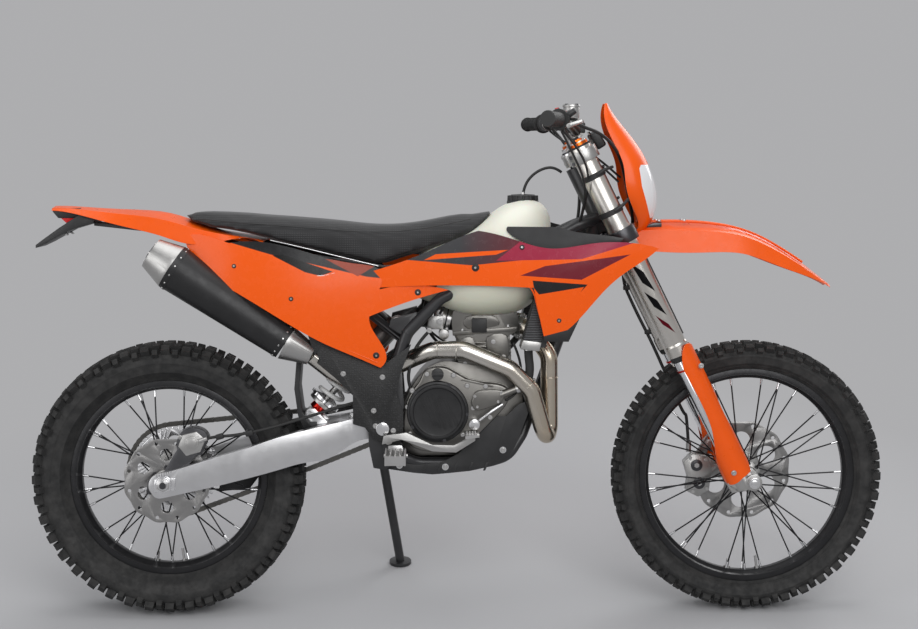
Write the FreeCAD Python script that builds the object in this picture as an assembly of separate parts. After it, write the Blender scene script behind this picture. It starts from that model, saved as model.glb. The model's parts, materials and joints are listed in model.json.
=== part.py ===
import FreeCAD
import Part
import math
import os

from FreeCAD import Placement, Rotation, Vector

# Enduro motorcycle, parked on its side stand.
# It is drawn upright in the bike frame: x forward from the rear axle, y to the rider's left, z up from the floor.
# The last step leans the whole machine to its left until both tyres and the stand's foot meet the floor.
# Shares are hundredths of the wheelbase, read in the side view: x forward of the rear axle, z above the floor.

# Driving dimensions, in millimetres and degrees
WHEELBASE = 1485.0
HUNDREDTH = WHEELBASE / 100.0
LEAN_ANGLE = 10.0
RAKE_ANGLE = 26.3
OVERRUN = 50.0
SEAT_GAP = 0.3

# Tyres: outer radius over the lugs, width over the lugs, radius where the bead seats
FRONT_TYRE_RADIUS = 348.0
FRONT_TYRE_WIDTH = 92.0
FRONT_BEAD_RADIUS = 266.0
REAR_TYRE_RADIUS = 348.0
REAR_TYRE_WIDTH = 132.0
REAR_BEAD_RADIUS = 240.0
LUG_HEIGHT = 13.0
LUG_ROWS = 40
LUG_GAP_SHARE = 0.45
# Tread section as shares of the lug height below the tips and of the half width
CROWN_SHARES = [(2.2, 1.0), (0.8, 0.86), (0.26, 0.52), (0.75, 0.5), (0.75, 0.38), (0.14, 0.36), (0.0, 0.14)]
GAP_FLOOR_SHARES = [(2.0, 0.94), (1.8, 0.82), (1.24, 0.5), (1.0, 0.14)]
TYRE_WAIST_SHARE = 0.5
SIDEWALL_SHARE = 0.92
CARCASS_DEPTH_SHARE = 2.0
CARCASS_CROWN_SHARE = 0.3
SIDEWALL_THICKNESS = 8.0

# Rims
FRONT_RIM_WIDTH = 54.0
REAR_RIM_WIDTH = 68.0
RIM_WALL = 4.0
RIM_FLANGE_HEIGHT = 11.0
RIM_WELL_DEPTH = 14.0

# Hubs, spokes and axles
SPOKE_RADIUS = 2.0
SPOKE_PAIRS = 9
SPOKE_FOOT_GAP = 0.9
SPOKE_CROSSING_ANGLE = 52.0
FRONT_HUB_RADIUS = 24.0
FRONT_FLANGE_RADIUS = 36.0
FRONT_FLANGE_OFFSET = 30.0
FRONT_HUB_HALF_LENGTH = 68.0
REAR_HUB_RADIUS = 30.0
REAR_FLANGE_RADIUS = 44.0
REAR_FLANGE_OFFSET = 34.0
REAR_HUB_HALF_LENGTH = 82.0
FLANGE_THICKNESS = 6.0
FRONT_AXLE_RADIUS = 11.0
REAR_AXLE_RADIUS = 12.5
AXLE_RUNNING_GAP = 0.05
AXLE_NUT_RADIUS = 19.0
AXLE_NUT_LENGTH = 12.0
AXLE_NUT_SIDES = 6

# Brake discs, calipers
FRONT_DISC_RADIUS = 130.0
REAR_DISC_RADIUS = 110.0
DISC_THICKNESS = 3.5
DISC_WAVES = 12
DISC_WAVE_HEIGHT = 4.0
DISC_RING_WIDTH = 24.0
DISC_ARM_COUNT = 6
FRONT_DISC_OFFSET = 58.0
REAR_DISC_OFFSET = -72.0
DISC_BOSS_RADIUS = 48.0
DISC_CLEARANCE = 5.0
CALIPER_THICKNESS = 18.0
CALIPER_ARM_STEP = 12.0
CALIPER_ARM_SINK = 8.0

# Chain drive on the left
CHAIN_PITCH = 15.875
CHAIN_OFFSET = 80.0
CHAIN_PLATE_GAP = 6.8
CHAIN_PLATE_THICKNESS = 4.0
CHAIN_HALF_HEIGHT = 7.0
CHAIN_ROLLER_RADIUS = 5.0
LINK_NOTCH_DEPTH = 3.0
LINK_NOTCH_WIDTH = 8.0
TOOTH_CLEARANCE = 1.0
REAR_TEETH = 48
FRONT_TEETH = 14
SPROCKET_THICKNESS = 5.6
SPROCKET_TOOTH_DEPTH = 8.0
SPROCKET_RING_WIDTH = 16.0
COUNTERSHAFT_SHARE = (41.4, 33.4)

# Steering head and fork
AXLE_TO_STEERING_AXIS = 47.0
CLAMP_OFFSET = 22.0
FORK_HALF_SPACING = 100.0
FORK_OUTER_RADIUS = 29.0
FORK_INNER_RADIUS = 24.0
FORK_OUTER_BOTTOM = 374.0
FORK_TOP = 957.0
FORK_CAP_RADIUS = 23.0
FORK_CAP_HEIGHT = 10.0
LOWER_CLAMP_HEIGHT = 706.0
UPPER_CLAMP_HEIGHT = 929.0
LOWER_CLAMP_THICKNESS = 36.0
UPPER_CLAMP_THICKNESS = 30.0
CLAMP_WALL = 9.0
CLAMP_HALF_DEPTH = 26.0
STEM_RADIUS = 14.0
STEM_NUT_RADIUS = 18.0
STEM_NUT_HEIGHT = 8.0
TONGUE_HALF_WIDTH = 36.0
RISER_FORWARD = 10.0
FOOT_DROP = 6.0
FOOT_BOSS_RADIUS = 21.0
FRONT_AXLE_HEAD_RADIUS = 16.0
FRONT_AXLE_HEAD_LENGTH = 6.0
HEAD_TUBE_RADIUS = 27.0
HEAD_TUBE_GAP = 6.0
STEERING_RUNNING_GAP = 0.1
STEERING_LOCK_ANGLE = 42.0

# Fork feet, guards
FOOT_RADIUS = 27.0
FOOT_HALF_WIDTH = 19.0
FOOT_TOP = 70.0
GUARD_THICKNESS = 4.0
GUARD_RADIUS = 38.0
GUARD_TOP = 420.0

# Handlebar, controls
BAR_CLAMP_SHARE = (69.6, 82.8)
BAR_BEND_SHARE = (67.4, 84.6)
GRIP_INNER_SHARE = (65.7, 84.5)
GRIP_END_SHARE = (63.4, 84.5)
BAR_HALF_WIDTH = 402.0
GRIP_INNER_Y = 275.0
BAR_BEND_Y = 185.0
BAR_STRAIGHT_Y = 62.0
BAR_BEND_LEAD = 30.0
GRIP_OVERHANG = 4.0
BAR_RADIUS = 12.0
BAR_BEND_RADIUS = 60.0
GRIP_RADIUS = 17.5
GRIP_FLANGE_RADIUS = 25.0
GRIP_FLANGE_THICKNESS = 6.0
RISER_HALF_SPACING = 48.0
RISER_RADIUS = 13.0
RISER_CLAMP_RADIUS = 21.0
RISER_CLAMP_WIDTH = 26.0
PERCH_RADIUS = 19.0
PERCH_WIDTH = 34.0
PERCH_GAP = 12.0
LEVER_RADIUS = 5.5
LEVER_ROOT_INSET = 26.0
LEVER_BEND_REACH = 14.0
LEVER_TIP_REACH = 118.0
LEVER_BEND_RADIUS = 30.0
RESERVOIR_RADIUS = 19.0
RESERVOIR_HEIGHT = 30.0

# Frame
SPAR_RADIUS = 15.0
DOWN_TUBE_RADIUS = 19.0
CRADLE_RADIUS = 13.0
TUBE_BEND_RADIUS = 60.0
PIVOT_PLATE_INNER_Y = 92.0
PIVOT_PLATE_THICKNESS = 16.0
SUBFRAME_RADIUS = 11.0

# Swingarm and shock
SWINGARM_HEIGHT_SHARE = 60.0
SWINGARM_BRIDGE_HALF_SHARE = 3.3
SWINGARM_BOSS_HALF_SHARE = 4.2
SHOCK_LOWER_SHARE = (24.6, 34.2)
SHOCK_UPPER_SHARE = (39.4, 50.0)
SHOCK_BODY_RADIUS = 23.0
SHOCK_ROD_RADIUS = 9.0
SPRING_RADIUS = 37.0
SPRING_WIRE_RADIUS = 6.0
SPRING_TURNS = 6
SHOCK_NECK_SHARE = 0.6
SHOCK_BODY_START_SHARE = 0.45
PIVOT_NUT_LENGTH = 6.0

# Engine
CLUTCH_CENTRE_SHARE = (46.3, 35.6)
CLUTCH_COVER_RADIUS = 79.0
CLUTCH_COVER_STEP = 14.0
CLUTCH_CAP_RADIUS = 62.0
CLUTCH_CAP_HEIGHT = 6.0
IGNITION_COVER_RADIUS = 66.0
IGNITION_COVER_DEPTH = 34.0
CYLINDER_HALF_WIDTH = 68.0
CYLINDER_STEP = 10.0
CYLINDER_RIB_COUNT = 5
CYLINDER_RIB_GAP = 4.5
CYLINDER_RIB_DEPTH = 5.0
HEAD_HALF_WIDTH = 58.0
THROTTLE_FRONT_RADIUS = 26.0
THROTTLE_REAR_RADIUS = 34.0
PUMP_COVER_DEPTH = 12.0
PUMP_BOSS_RADIUS = 20.0
PUMP_BOSS_DEPTH = 16.0
COUNTERSHAFT_SINK = 20.0
COUNTERSHAFT_OVERHANG = 12.0
EXHAUST_RADIUS = 22.0
EXHAUST_BEND_RADIUS = 48.0
EXHAUST_ROOM = 3.0

# Silencer
SILENCER_Y = -100.0
SILENCER_REAR_SHARE = (1.8, 60.2)
SILENCER_FRONT_SHARE = (20.7, 47.4)
SILENCER_REAR_RADIUS = 59.0
SILENCER_FRONT_RADIUS = 45.0
TAIL_CAP_LENGTH = 62.0
TAIL_CAP_RADIUS = 40.0
TAIL_PIPE_RADIUS = 19.0
SILENCER_CONE_LENGTH = 92.0

# Skins
PANEL_THICKNESS = 3.5
FENDER_THICKNESS = 4.0
FUEL_CAP_RADIUS = 34.0
FUEL_CAP_SINK = 10.0
FUEL_CAP_HEIGHT = 24.0

# Foot controls and stand
PEG_LENGTH = 95.0
PEG_WIDTH = 52.0
PEG_HEIGHT = 26.0
PEG_BRACKET_THICKNESS = 8.0
PEDAL_OUTER_Y = -142.0
PEDAL_INNER_Y = -132.0
PEDAL_PIVOT_RADIUS = 11.0
PEDAL_PAD_LENGTH = 34.0
PEDAL_PAD_WIDTH = 40.0
PEDAL_PAD_HEIGHT = 9.0
PEDAL_PAD_Y = -150.0
REAR_CALIPER_HALF_WIDTH = 20.0
FRONT_CALIPER_HALF_WIDTH = 19.0
HANGER_OUTER_Y = -93.5
HANGER_INNER_Y = -86.0
HANGER_RING_RADIUS = 24.0
STAND_PIVOT_SHARE = (36.2, 26.6)
STAND_PIVOT_Y = 124.0
STAND_FOOT_Y = 282.0
STAND_FOOT_FORWARD = 48.0
STAND_LEG_RADIUS = 12.0
STAND_PIVOT_RADIUS = 20.0
STAND_LEG_START = 17.5
STAND_BRACKET_THICKNESS = 14.0
STAND_BOSS_LENGTH = 24.0
STAND_BOSS_SHARE = 0.9
STAND_BOLT_RADIUS = 6.0
STAND_BOLT_SINK = 12.0
STAND_HEAD_HEIGHT = 8.0
STAND_HEAD_SHARE = 1.8
STAND_FOOT_RADIUS = 30.0
STAND_FOOT_THICKNESS = 8.0
STAND_FOLDED_RISE_ANGLE = 9.0
STAND_FOLDED_SPLAY_ANGLE = 6.0

X_AXIS = Vector(1, 0, 0)
Y_AXIS = Vector(0, 1, 0)
Z_AXIS = Vector(0, 0, 1)
ORIGIN = Vector(0, 0, 0)


# Side-view places

def at(share, y=0.0):
    """Point of the bike frame from a side-view share and a distance to the left."""
    return Vector(share[0] * HUNDREDTH, y, share[1] * HUNDREDTH)


def at3(share):
    """Point of the bike frame from an (x, y, z) share."""
    return Vector(share[0] * HUNDREDTH, share[1] * HUNDREDTH, share[2] * HUNDREDTH)


REAR_AXLE = Vector(0, 0, REAR_TYRE_RADIUS)
FRONT_AXLE = Vector(WHEELBASE, 0, FRONT_TYRE_RADIUS)
RAKE = math.radians(RAKE_ANGLE)
FORK_UP = Vector(-math.sin(RAKE), 0, math.cos(RAKE))
FORK_FORWARD = Vector(math.cos(RAKE), 0, math.sin(RAKE))
STEERING_FOOT = FRONT_AXLE - FORK_FORWARD * AXLE_TO_STEERING_AXIS


def on_fork(height, forward=0.0, y=0.0):
    """Point at a height along the steering axis above the front axle, forward of that axis and to the left."""
    return STEERING_FOOT + FORK_UP * height + FORK_FORWARD * forward + Y_AXIS * y


# Shape helpers

def rod(start, end, radius):
    """Round bar between two points."""
    run = end - start
    return Part.makeCylinder(radius, run.Length, start, run)


def cone(start, end, start_radius, end_radius):
    """Tapered round bar between two points."""
    run = end - start
    return Part.makeCone(start_radius, end_radius, run.Length, start, run)


def across(centre, radius, y_from, y_to):
    """Disc or drum on a cross axis through a side-view point."""
    return rod(Vector(centre.x, y_from, centre.z), Vector(centre.x, y_to, centre.z), radius)


def fuse(shapes):
    """One solid from pieces that overlap."""
    shapes = list(shapes)
    joined = shapes[0].fuse(shapes[1:]) if len(shapes) > 1 else shapes[0]
    return joined.removeSplitter()


def mirrored(shape):
    """The same piece on the other side of the machine."""
    return shape.mirror(ORIGIN, Y_AXIS)


def pair(shape):
    """A piece and its mirror image, as one node's two solids."""
    return Part.makeCompound([shape, mirrored(shape)])


def outline_edges(stretches, place):
    """Edges of a closed outline: two points make a straight stretch and more make a smooth curve."""
    edges = []
    last = stretches[-1][-1]
    for stretch in stretches:
        points = [place(p) for p in [last] + list(stretch)]
        if len(points) == 2:
            edges.append(Part.LineSegment(points[0], points[1]).toShape())
        else:
            curve = Part.BSplineCurve()
            curve.interpolate(points)
            edges.append(curve.toShape())
        last = stretch[-1]
    return edges


def slab(stretches, y_from, y_to):
    """Side-view outline carried across the machine from one y to another."""
    wire = Part.Wire(outline_edges(stretches, lambda p: at(p, y_from)))
    return Part.Face(wire).extrude(Vector(0, y_to - y_from, 0))


def straight(points):
    """A straight-sided outline's points as stretches."""
    return [[p] for p in points]


def tube_path(points, bend_radius):
    """Wire of straight runs joined by tangent arcs, each arc cut down where its runs are short."""
    edges = []
    start = points[0]
    for before, corner, after in zip(points, points[1:], points[2:]):
        back = (before - corner).normalize()
        ahead = (after - corner).normalize()
        turn = math.pi - back.getAngle(ahead)
        room = min((before - corner).Length, (after - corner).Length) * 0.45
        setback = min(bend_radius * math.tan(turn / 2), room)
        radius = setback / math.tan(turn / 2)
        first = corner + back * setback
        last = corner + ahead * setback
        inward = (back + ahead).normalize()
        middle = corner + inward * (radius / math.cos(turn / 2) - radius)
        edges.append(Part.LineSegment(start, first).toShape())
        edges.append(Part.Arc(first, middle, last).toShape())
        start = last
    edges.append(Part.LineSegment(start, points[-1]).toShape())
    return Part.Wire(edges)


def tube(points, radius, bend_radius=TUBE_BEND_RADIUS):
    """Solid round tube along straight runs with tangent bends."""
    path = tube_path(points, bend_radius)
    section = Part.Wire(Part.makeCircle(radius, points[0], points[1] - points[0]))
    return path.makePipeShell([section], True, False)


def loft(sections, ruled=False):
    """Solid through closed sections of point lists."""
    wires = [Part.makePolygon(list(s) + [s[0]]) for s in sections]
    return Part.makeLoft(wires, True, ruled)


def revolved(profile, centre):
    """Ring about the cross axis through centre, from (radius, y) points of its section."""
    points = [Vector(0, y, r) for r, y in profile]
    face = Part.Face(Part.makePolygon(points + [points[0]]))
    ring = face.revolve(ORIGIN, Y_AXIS, 360)
    ring.translate(centre)
    return ring


def skin(outline, grid_shares, x_shares, z_shares, thickness):
    """Body panel: a curved sheet given by its y over a grid of side-view places, cut to a side-view outline."""
    points = [[at((x, z), y * HUNDREDTH) for z, y in zip(z_shares, row)] for x, row in zip(x_shares, grid_shares)]
    surface = Part.BSplineSurface()
    surface.interpolate(points)
    sheet = surface.toShape().extrude(Vector(0, thickness, 0))
    return sheet.common(slab(outline, -WHEELBASE, WHEELBASE))


def channel(rows, thickness, place):
    """Open channel through stations of (station, crown, shoulder, edge, shoulder half-width, edge half-width) shares."""
    wall = thickness / HUNDREDTH
    sections = []
    for station, crown, shoulder, edge, half_shoulder, half_edge in rows:
        outer = [(half_edge, edge), (half_shoulder, shoulder), (0, crown)]
        inner = [(0, crown - wall), (half_shoulder - wall, shoulder - wall), (half_edge - wall, edge)]
        left = outer + inner
        right = [(-y, z) for y, z in reversed(outer[:-1])]
        right_inner = [(-y, z) for y, z in reversed(inner[1:])]
        section = outer + right + [(-y, z) for y, z in [inner[2], inner[1]]] + [inner[0]] + [inner[1], inner[2]]
        sections.append([place(station, y, z) for y, z in section])
    return loft(sections)


# Wheels

def tyre(radius, width, bead_radius, rim_width, centre):
    """Tyre with a hollow carcass open at the bead: rings of tread parted into lugs by gaps across it."""
    half = width / 2
    bead = rim_width / 2 - RIM_WALL - SEAT_GAP
    waist = bead_radius + (radius - bead_radius) * TYRE_WAIST_SHARE
    crown = [(radius - LUG_HEIGHT * drop, half * reach) for drop, reach in CROWN_SHARES]
    outer = [(bead_radius + SEAT_GAP, bead), (bead_radius + RIM_FLANGE_HEIGHT, bead), (waist, half * SIDEWALL_SHARE)] + crown
    inner = [(radius - LUG_HEIGHT * CARCASS_DEPTH_SHARE, half * CARCASS_CROWN_SHARE),
             (waist, half * SIDEWALL_SHARE - SIDEWALL_THICKNESS), (bead_radius + SEAT_GAP, bead - SIDEWALL_THICKNESS)]
    right = outer + [(r, -y) for r, y in reversed(outer)]
    left = [(r, -y) for r, y in reversed(inner)] + list(inner)
    return revolved(right + left, centre).cut(tread_gaps(radius, half, centre))


def tread_gaps(radius, half, centre):
    """Gaps across the tread, one after each row of lugs, as deep as the lugs are high."""
    floor = [(radius - LUG_HEIGHT * drop, half * reach) for drop, reach in GAP_FLOOR_SHARES]
    side = [(radius + OVERRUN, half + OVERRUN), (floor[0][0], half + OVERRUN)] + floor
    section = side + [(r, -y) for r, y in reversed(side)]
    points = [Vector(0, y, r) for r, y in section]
    pitch = 360 / LUG_ROWS
    gap = Part.Face(Part.makePolygon(points + [points[0]])).revolve(ORIGIN, Y_AXIS, pitch * LUG_GAP_SHARE)
    gaps = []
    for row in range(LUG_ROWS):
        piece = gap.copy()
        piece.rotate(ORIGIN, Y_AXIS, (row + (1 - LUG_GAP_SHARE) / 2) * pitch)
        piece.translate(centre)
        gaps.append(piece)
    return gaps


def rim(bead_radius, width, centre):
    """Drop-centre rim."""
    half = width / 2
    well = bead_radius - RIM_WELL_DEPTH
    top = bead_radius + RIM_FLANGE_HEIGHT
    side = [(top, half), (top, half - RIM_WALL), (bead_radius, half - RIM_WALL), (bead_radius, half * 0.55),
            (well + RIM_WALL, half * 0.35)]
    under = [(well, half * 0.35), (bead_radius - RIM_WALL, half * 0.6), (bead_radius - RIM_WALL, half)]
    profile = under + side
    ring = profile + [(r, -y) for r, y in reversed(profile)]
    return revolved(ring, centre)


def hub(radius, flange_radius, flange_offset, half_length, axle_radius, centre):
    """Hub barrel with a spoke flange near each end, bored for the axle."""
    barrel = across(centre, radius, -half_length, half_length)
    flanges = [across(centre, flange_radius, s * flange_offset - FLANGE_THICKNESS / 2, s * flange_offset + FLANGE_THICKNESS / 2)
               for s in (-1, 1)]
    bore = across(centre, axle_radius + AXLE_RUNNING_GAP, -half_length - OVERRUN, half_length + OVERRUN)
    return fuse([barrel] + flanges).cut(bore)


def spokes(flange_radius, flange_offset, rim_radius, centre):
    """Crossed spokes from both flanges to the rim."""
    bars = []
    pitch = 360.0 / (2 * SPOKE_PAIRS)
    for side in (-1, 1):
        for i in range(2 * SPOKE_PAIRS):
            lean = SPOKE_CROSSING_ANGLE if i % 2 else -SPOKE_CROSSING_ANGLE
            foot_angle = math.radians(i * pitch + side * pitch / 4)
            rim_angle = foot_angle + math.radians(lean * 0.3)
            step = (2 * SPOKE_RADIUS + SEAT_GAP) if i % 2 else 0
            foot_y = side * (flange_offset + FLANGE_THICKNESS / 2 + SPOKE_RADIUS + SPOKE_FOOT_GAP + step)
            foot_radius = flange_radius - SPOKE_RADIUS * 2
            foot = centre + Vector(foot_radius * math.cos(foot_angle - math.radians(lean * 0.3)), foot_y,
                                   foot_radius * math.sin(foot_angle - math.radians(lean * 0.3)))
            tip = centre + Vector(rim_radius * math.cos(rim_angle), side * SPOKE_RADIUS * 3, rim_radius * math.sin(rim_angle))
            bars.append(rod(foot, tip, SPOKE_RADIUS))
    return Part.makeCompound(bars)


def brake_disc(radius, y_centre, boss_radius, bore_radius, centre):
    """Wavy floating disc: a scalloped ring carried by arms."""
    low = y_centre - DISC_THICKNESS / 2
    points = []
    for i in range(DISC_WAVES * 4):
        angle = 2 * math.pi * i / (DISC_WAVES * 4)
        wave = DISC_WAVE_HEIGHT * 0.5 * (1 + math.cos(DISC_WAVES * angle))
        points.append(Vector((radius - wave) * math.cos(angle), low, (radius - wave) * math.sin(angle)))
    rim_curve = Part.BSplineCurve()
    rim_curve.interpolate(points, PeriodicFlag=True)
    outer = Part.Face(Part.Wire(rim_curve.toShape())).extrude(Vector(0, DISC_THICKNESS, 0))
    inner_radius = radius - DISC_RING_WIDTH
    mid_radius = (inner_radius + boss_radius) / 2
    window = (inner_radius - boss_radius) / 2 * 0.82
    cuts = [across(ORIGIN, bore_radius, low - OVERRUN, low + OVERRUN)]
    for i in range(DISC_ARM_COUNT):
        angle = 2 * math.pi * (i + 0.5) / DISC_ARM_COUNT
        place = Vector(mid_radius * math.cos(angle), 0, mid_radius * math.sin(angle))
        cuts.append(across(place, window, low - OVERRUN, low + OVERRUN))
    for i in range(DISC_WAVES):
        angle = 2 * math.pi * (i + 0.5) / DISC_WAVES
        ring_mid = radius - DISC_RING_WIDTH / 2
        place = Vector(ring_mid * math.cos(angle), 0, ring_mid * math.sin(angle))
        cuts.append(across(place, DISC_RING_WIDTH * 0.2, low - OVERRUN, low + OVERRUN))
    disc = outer.cut(cuts)
    disc.translate(centre)
    return disc


def sprocket(teeth, centre, y_centre, bore_radius):
    """Toothed ring whose tips stay just inside the chain's rollers."""
    pitch_radius = CHAIN_PITCH / (2 * math.sin(math.pi / teeth))
    tip = pitch_radius - CHAIN_ROLLER_RADIUS - TOOTH_CLEARANCE
    root = tip - SPROCKET_TOOTH_DEPTH
    low = y_centre - SPROCKET_THICKNESS / 2
    points = []
    for i in range(teeth):
        for share, r in ((0.0, root), (0.22, root), (0.42, tip), (0.58, tip), (0.78, root)):
            if share == 0.0:
                continue
            angle = 2 * math.pi * (i + share) / teeth
            points.append(Vector(r * math.cos(angle), low, r * math.sin(angle)))
    wire = Part.makePolygon(points + [points[0]])
    plate = Part.Face(wire).extrude(Vector(0, SPROCKET_THICKNESS, 0))
    inner = root - SPROCKET_RING_WIDTH
    windows = [across(ORIGIN, bore_radius, low - OVERRUN, low + OVERRUN)]
    window_count = DISC_ARM_COUNT if inner > 1.5 * bore_radius else 0
    for i in range(window_count):
        angle = 2 * math.pi * (i + 0.5) / window_count
        mid = (inner + bore_radius) / 2 + bore_radius * 0.12
        place = Vector(mid * math.cos(angle), 0, mid * math.sin(angle))
        windows.append(across(place, (inner - bore_radius) / 2 * 0.8, low - OVERRUN, low + OVERRUN))
    plate = plate.cut(windows)
    plate.translate(centre)
    return plate


def front_wheel():
    """The pieces that turn on the front axle."""
    rim_inner = FRONT_BEAD_RADIUS - RIM_WELL_DEPTH
    hub_shape = hub(FRONT_HUB_RADIUS, FRONT_FLANGE_RADIUS, FRONT_FLANGE_OFFSET, FRONT_HUB_HALF_LENGTH, FRONT_AXLE_RADIUS,
                    FRONT_AXLE)
    boss = across(FRONT_AXLE, DISC_BOSS_RADIUS, FRONT_DISC_OFFSET - DISC_THICKNESS / 2 - FLANGE_THICKNESS,
                  FRONT_DISC_OFFSET - DISC_THICKNESS / 2)
    bore = across(FRONT_AXLE, FRONT_AXLE_RADIUS + AXLE_RUNNING_GAP, -WHEELBASE, WHEELBASE)
    disc = brake_disc(FRONT_DISC_RADIUS, FRONT_DISC_OFFSET, DISC_BOSS_RADIUS, FRONT_HUB_RADIUS + SEAT_GAP, FRONT_AXLE)
    return {
        "front_tyre": tyre(FRONT_TYRE_RADIUS, FRONT_TYRE_WIDTH, FRONT_BEAD_RADIUS, FRONT_RIM_WIDTH, FRONT_AXLE),
        "front_rim": rim(FRONT_BEAD_RADIUS, FRONT_RIM_WIDTH, FRONT_AXLE),
        "front_hub": fuse([hub_shape, boss.cut(bore)]),
        "front_spokes": spokes(FRONT_FLANGE_RADIUS, FRONT_FLANGE_OFFSET, rim_inner - SEAT_GAP, FRONT_AXLE),
        "front_disc": disc,
    }


def rear_wheel():
    """The pieces that turn on the rear axle."""
    rim_inner = REAR_BEAD_RADIUS - RIM_WELL_DEPTH
    hub_shape = hub(REAR_HUB_RADIUS, REAR_FLANGE_RADIUS, REAR_FLANGE_OFFSET, REAR_HUB_HALF_LENGTH, REAR_AXLE_RADIUS, REAR_AXLE)
    bore = across(REAR_AXLE, REAR_AXLE_RADIUS + AXLE_RUNNING_GAP, -WHEELBASE, WHEELBASE)
    disc_face = REAR_DISC_OFFSET + DISC_THICKNESS / 2
    disc_boss = across(REAR_AXLE, DISC_BOSS_RADIUS, disc_face, disc_face + FLANGE_THICKNESS).cut(bore)
    sprocket_face = CHAIN_OFFSET - SPROCKET_THICKNESS / 2
    carrier = across(REAR_AXLE, DISC_BOSS_RADIUS * 1.1, sprocket_face - FLANGE_THICKNESS * 2, sprocket_face).cut(bore)
    return {
        "rear_tyre": tyre(REAR_TYRE_RADIUS, REAR_TYRE_WIDTH, REAR_BEAD_RADIUS, REAR_RIM_WIDTH, REAR_AXLE),
        "rear_rim": rim(REAR_BEAD_RADIUS, REAR_RIM_WIDTH, REAR_AXLE),
        "rear_hub": fuse([hub_shape, disc_boss, carrier]),
        "rear_spokes": spokes(REAR_FLANGE_RADIUS, REAR_FLANGE_OFFSET, rim_inner - SEAT_GAP, REAR_AXLE),
        "rear_disc": brake_disc(REAR_DISC_RADIUS, REAR_DISC_OFFSET, DISC_BOSS_RADIUS, REAR_HUB_RADIUS + SEAT_GAP, REAR_AXLE),
        "rear_sprocket": sprocket(REAR_TEETH, REAR_AXLE, CHAIN_OFFSET, DISC_BOSS_RADIUS * 0.9),
    }


# Chain drive

def chain_loop(offset):
    """Closed wire round both sprockets, at an offset outside the chain's pitch line."""
    rear_radius = CHAIN_PITCH / (2 * math.sin(math.pi / REAR_TEETH)) + offset
    front_radius = CHAIN_PITCH / (2 * math.sin(math.pi / FRONT_TEETH)) + offset
    front = at(COUNTERSHAFT_SHARE)
    run = front - REAR_AXLE
    slope = math.atan2(run.z, run.x)
    swing = math.acos((rear_radius - front_radius) / run.Length)
    rear_top, rear_low = slope + swing, slope - swing

    def on(centre, radius, angle):
        return Vector(centre.x + radius * math.cos(angle), 0, centre.z + radius * math.sin(angle))

    back = on(REAR_AXLE, rear_radius, slope + math.pi)
    nose = on(front, front_radius, slope)
    return Part.Wire([
        Part.LineSegment(on(REAR_AXLE, rear_radius, rear_top), on(front, front_radius, rear_top)).toShape(),
        Part.Arc(on(front, front_radius, rear_top), nose, on(front, front_radius, rear_low)).toShape(),
        Part.LineSegment(on(front, front_radius, rear_low), on(REAR_AXLE, rear_radius, rear_low)).toShape(),
        Part.Arc(on(REAR_AXLE, rear_radius, rear_low), back, on(REAR_AXLE, rear_radius, rear_top)).toShape(),
    ])


def link_notches():
    """Notches along the chain's outer edge, one between each two pairs of link plates."""
    line = chain_loop(0)
    count = int(line.Length / CHAIN_PITCH / 2)
    places = line.discretize(Number=count + 1)[:count]
    notches = []
    for i, place in enumerate(places):
        way = (places[(i + 1) % count] - places[i - 1]).normalize()
        out = Vector(way.z, 0, -way.x)
        if out.dot(place - (REAR_AXLE + at(COUNTERSHAFT_SHARE)) / 2) < 0:
            out = -out
        tip = place + out * (CHAIN_HALF_HEIGHT - LINK_NOTCH_DEPTH)
        high = place + out * (CHAIN_HALF_HEIGHT + LINK_NOTCH_DEPTH)
        corners = [tip, high + way * LINK_NOTCH_WIDTH, high - way * LINK_NOTCH_WIDTH, tip]
        notches.append(Part.Face(Part.makePolygon(corners)))
    return notches


def chain():
    """Drive chain: two rows of plates joined by a band of rollers that clears the teeth."""
    outer = Part.Face(chain_loop(CHAIN_HALF_HEIGHT))
    plate = outer.cut([Part.Face(chain_loop(-CHAIN_HALF_HEIGHT))] + link_notches())
    rollers = Part.Face(chain_loop(CHAIN_ROLLER_RADIUS)).cut(Part.Face(chain_loop(-CHAIN_ROLLER_RADIUS)))
    half_gap = CHAIN_PLATE_GAP / 2
    rows = []
    for y_from in (CHAIN_OFFSET - half_gap - CHAIN_PLATE_THICKNESS, CHAIN_OFFSET + half_gap):
        row = plate.extrude(Vector(0, CHAIN_PLATE_THICKNESS, 0))
        row.translate(Vector(0, y_from, 0))
        rows.append(row)
    band = rollers.extrude(Vector(0, CHAIN_PLATE_GAP, 0))
    band.translate(Vector(0, CHAIN_OFFSET - half_gap, 0))
    return fuse(rows + [band])


# Frame

SPAR_SHARES = [(74.0, 1.2, 68.2), (70.0, 2.2, 66.8), (62.0, 5.0, 62.8), (54.0, 6.6, 58.6), (46.7, 6.8, 54.7),
               (41.2, 6.8, 49.0), (38.4, 6.7, 41.0)]
DOWN_TUBE_SHARES = [(74.0, 0.0, 68.8), (68.7, 0.0, 52.0), (65.4, 0.0, 42.8)]
CRADLE_SHARES = [(65.7, 0.9, 43.6), (63.4, 1.1, 37.0), (60.8, 3.7, 31.0), (58.4, 5.2, 27.6), (55.0, 5.4, 26.6),
                 (43.0, 5.6, 26.6), (38.0, 7.0, 28.8)]
PIVOT_PLATE_SHARES = [(35.6, 41.0), (36.6, 42.6), (40.2, 42.6), (40.6, 37.0), (40.0, 32.0), (39.4, 27.4),
                      (37.4, 25.6), (35.4, 26.0), (34.6, 30.0), (34.6, 36.0)]
UPPER_RAIL_SHARES = [(49.0, 5.9, 56.6), (40.0, 5.2, 58.4), (26.0, 5.0, 60.6), (7.0, 3.2, 64.2)]
LOWER_RAIL_SHARES = [(40.6, 6.4, 47.6), (30.0, 5.4, 56.0), (14.0, 4.0, 62.4)]
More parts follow.
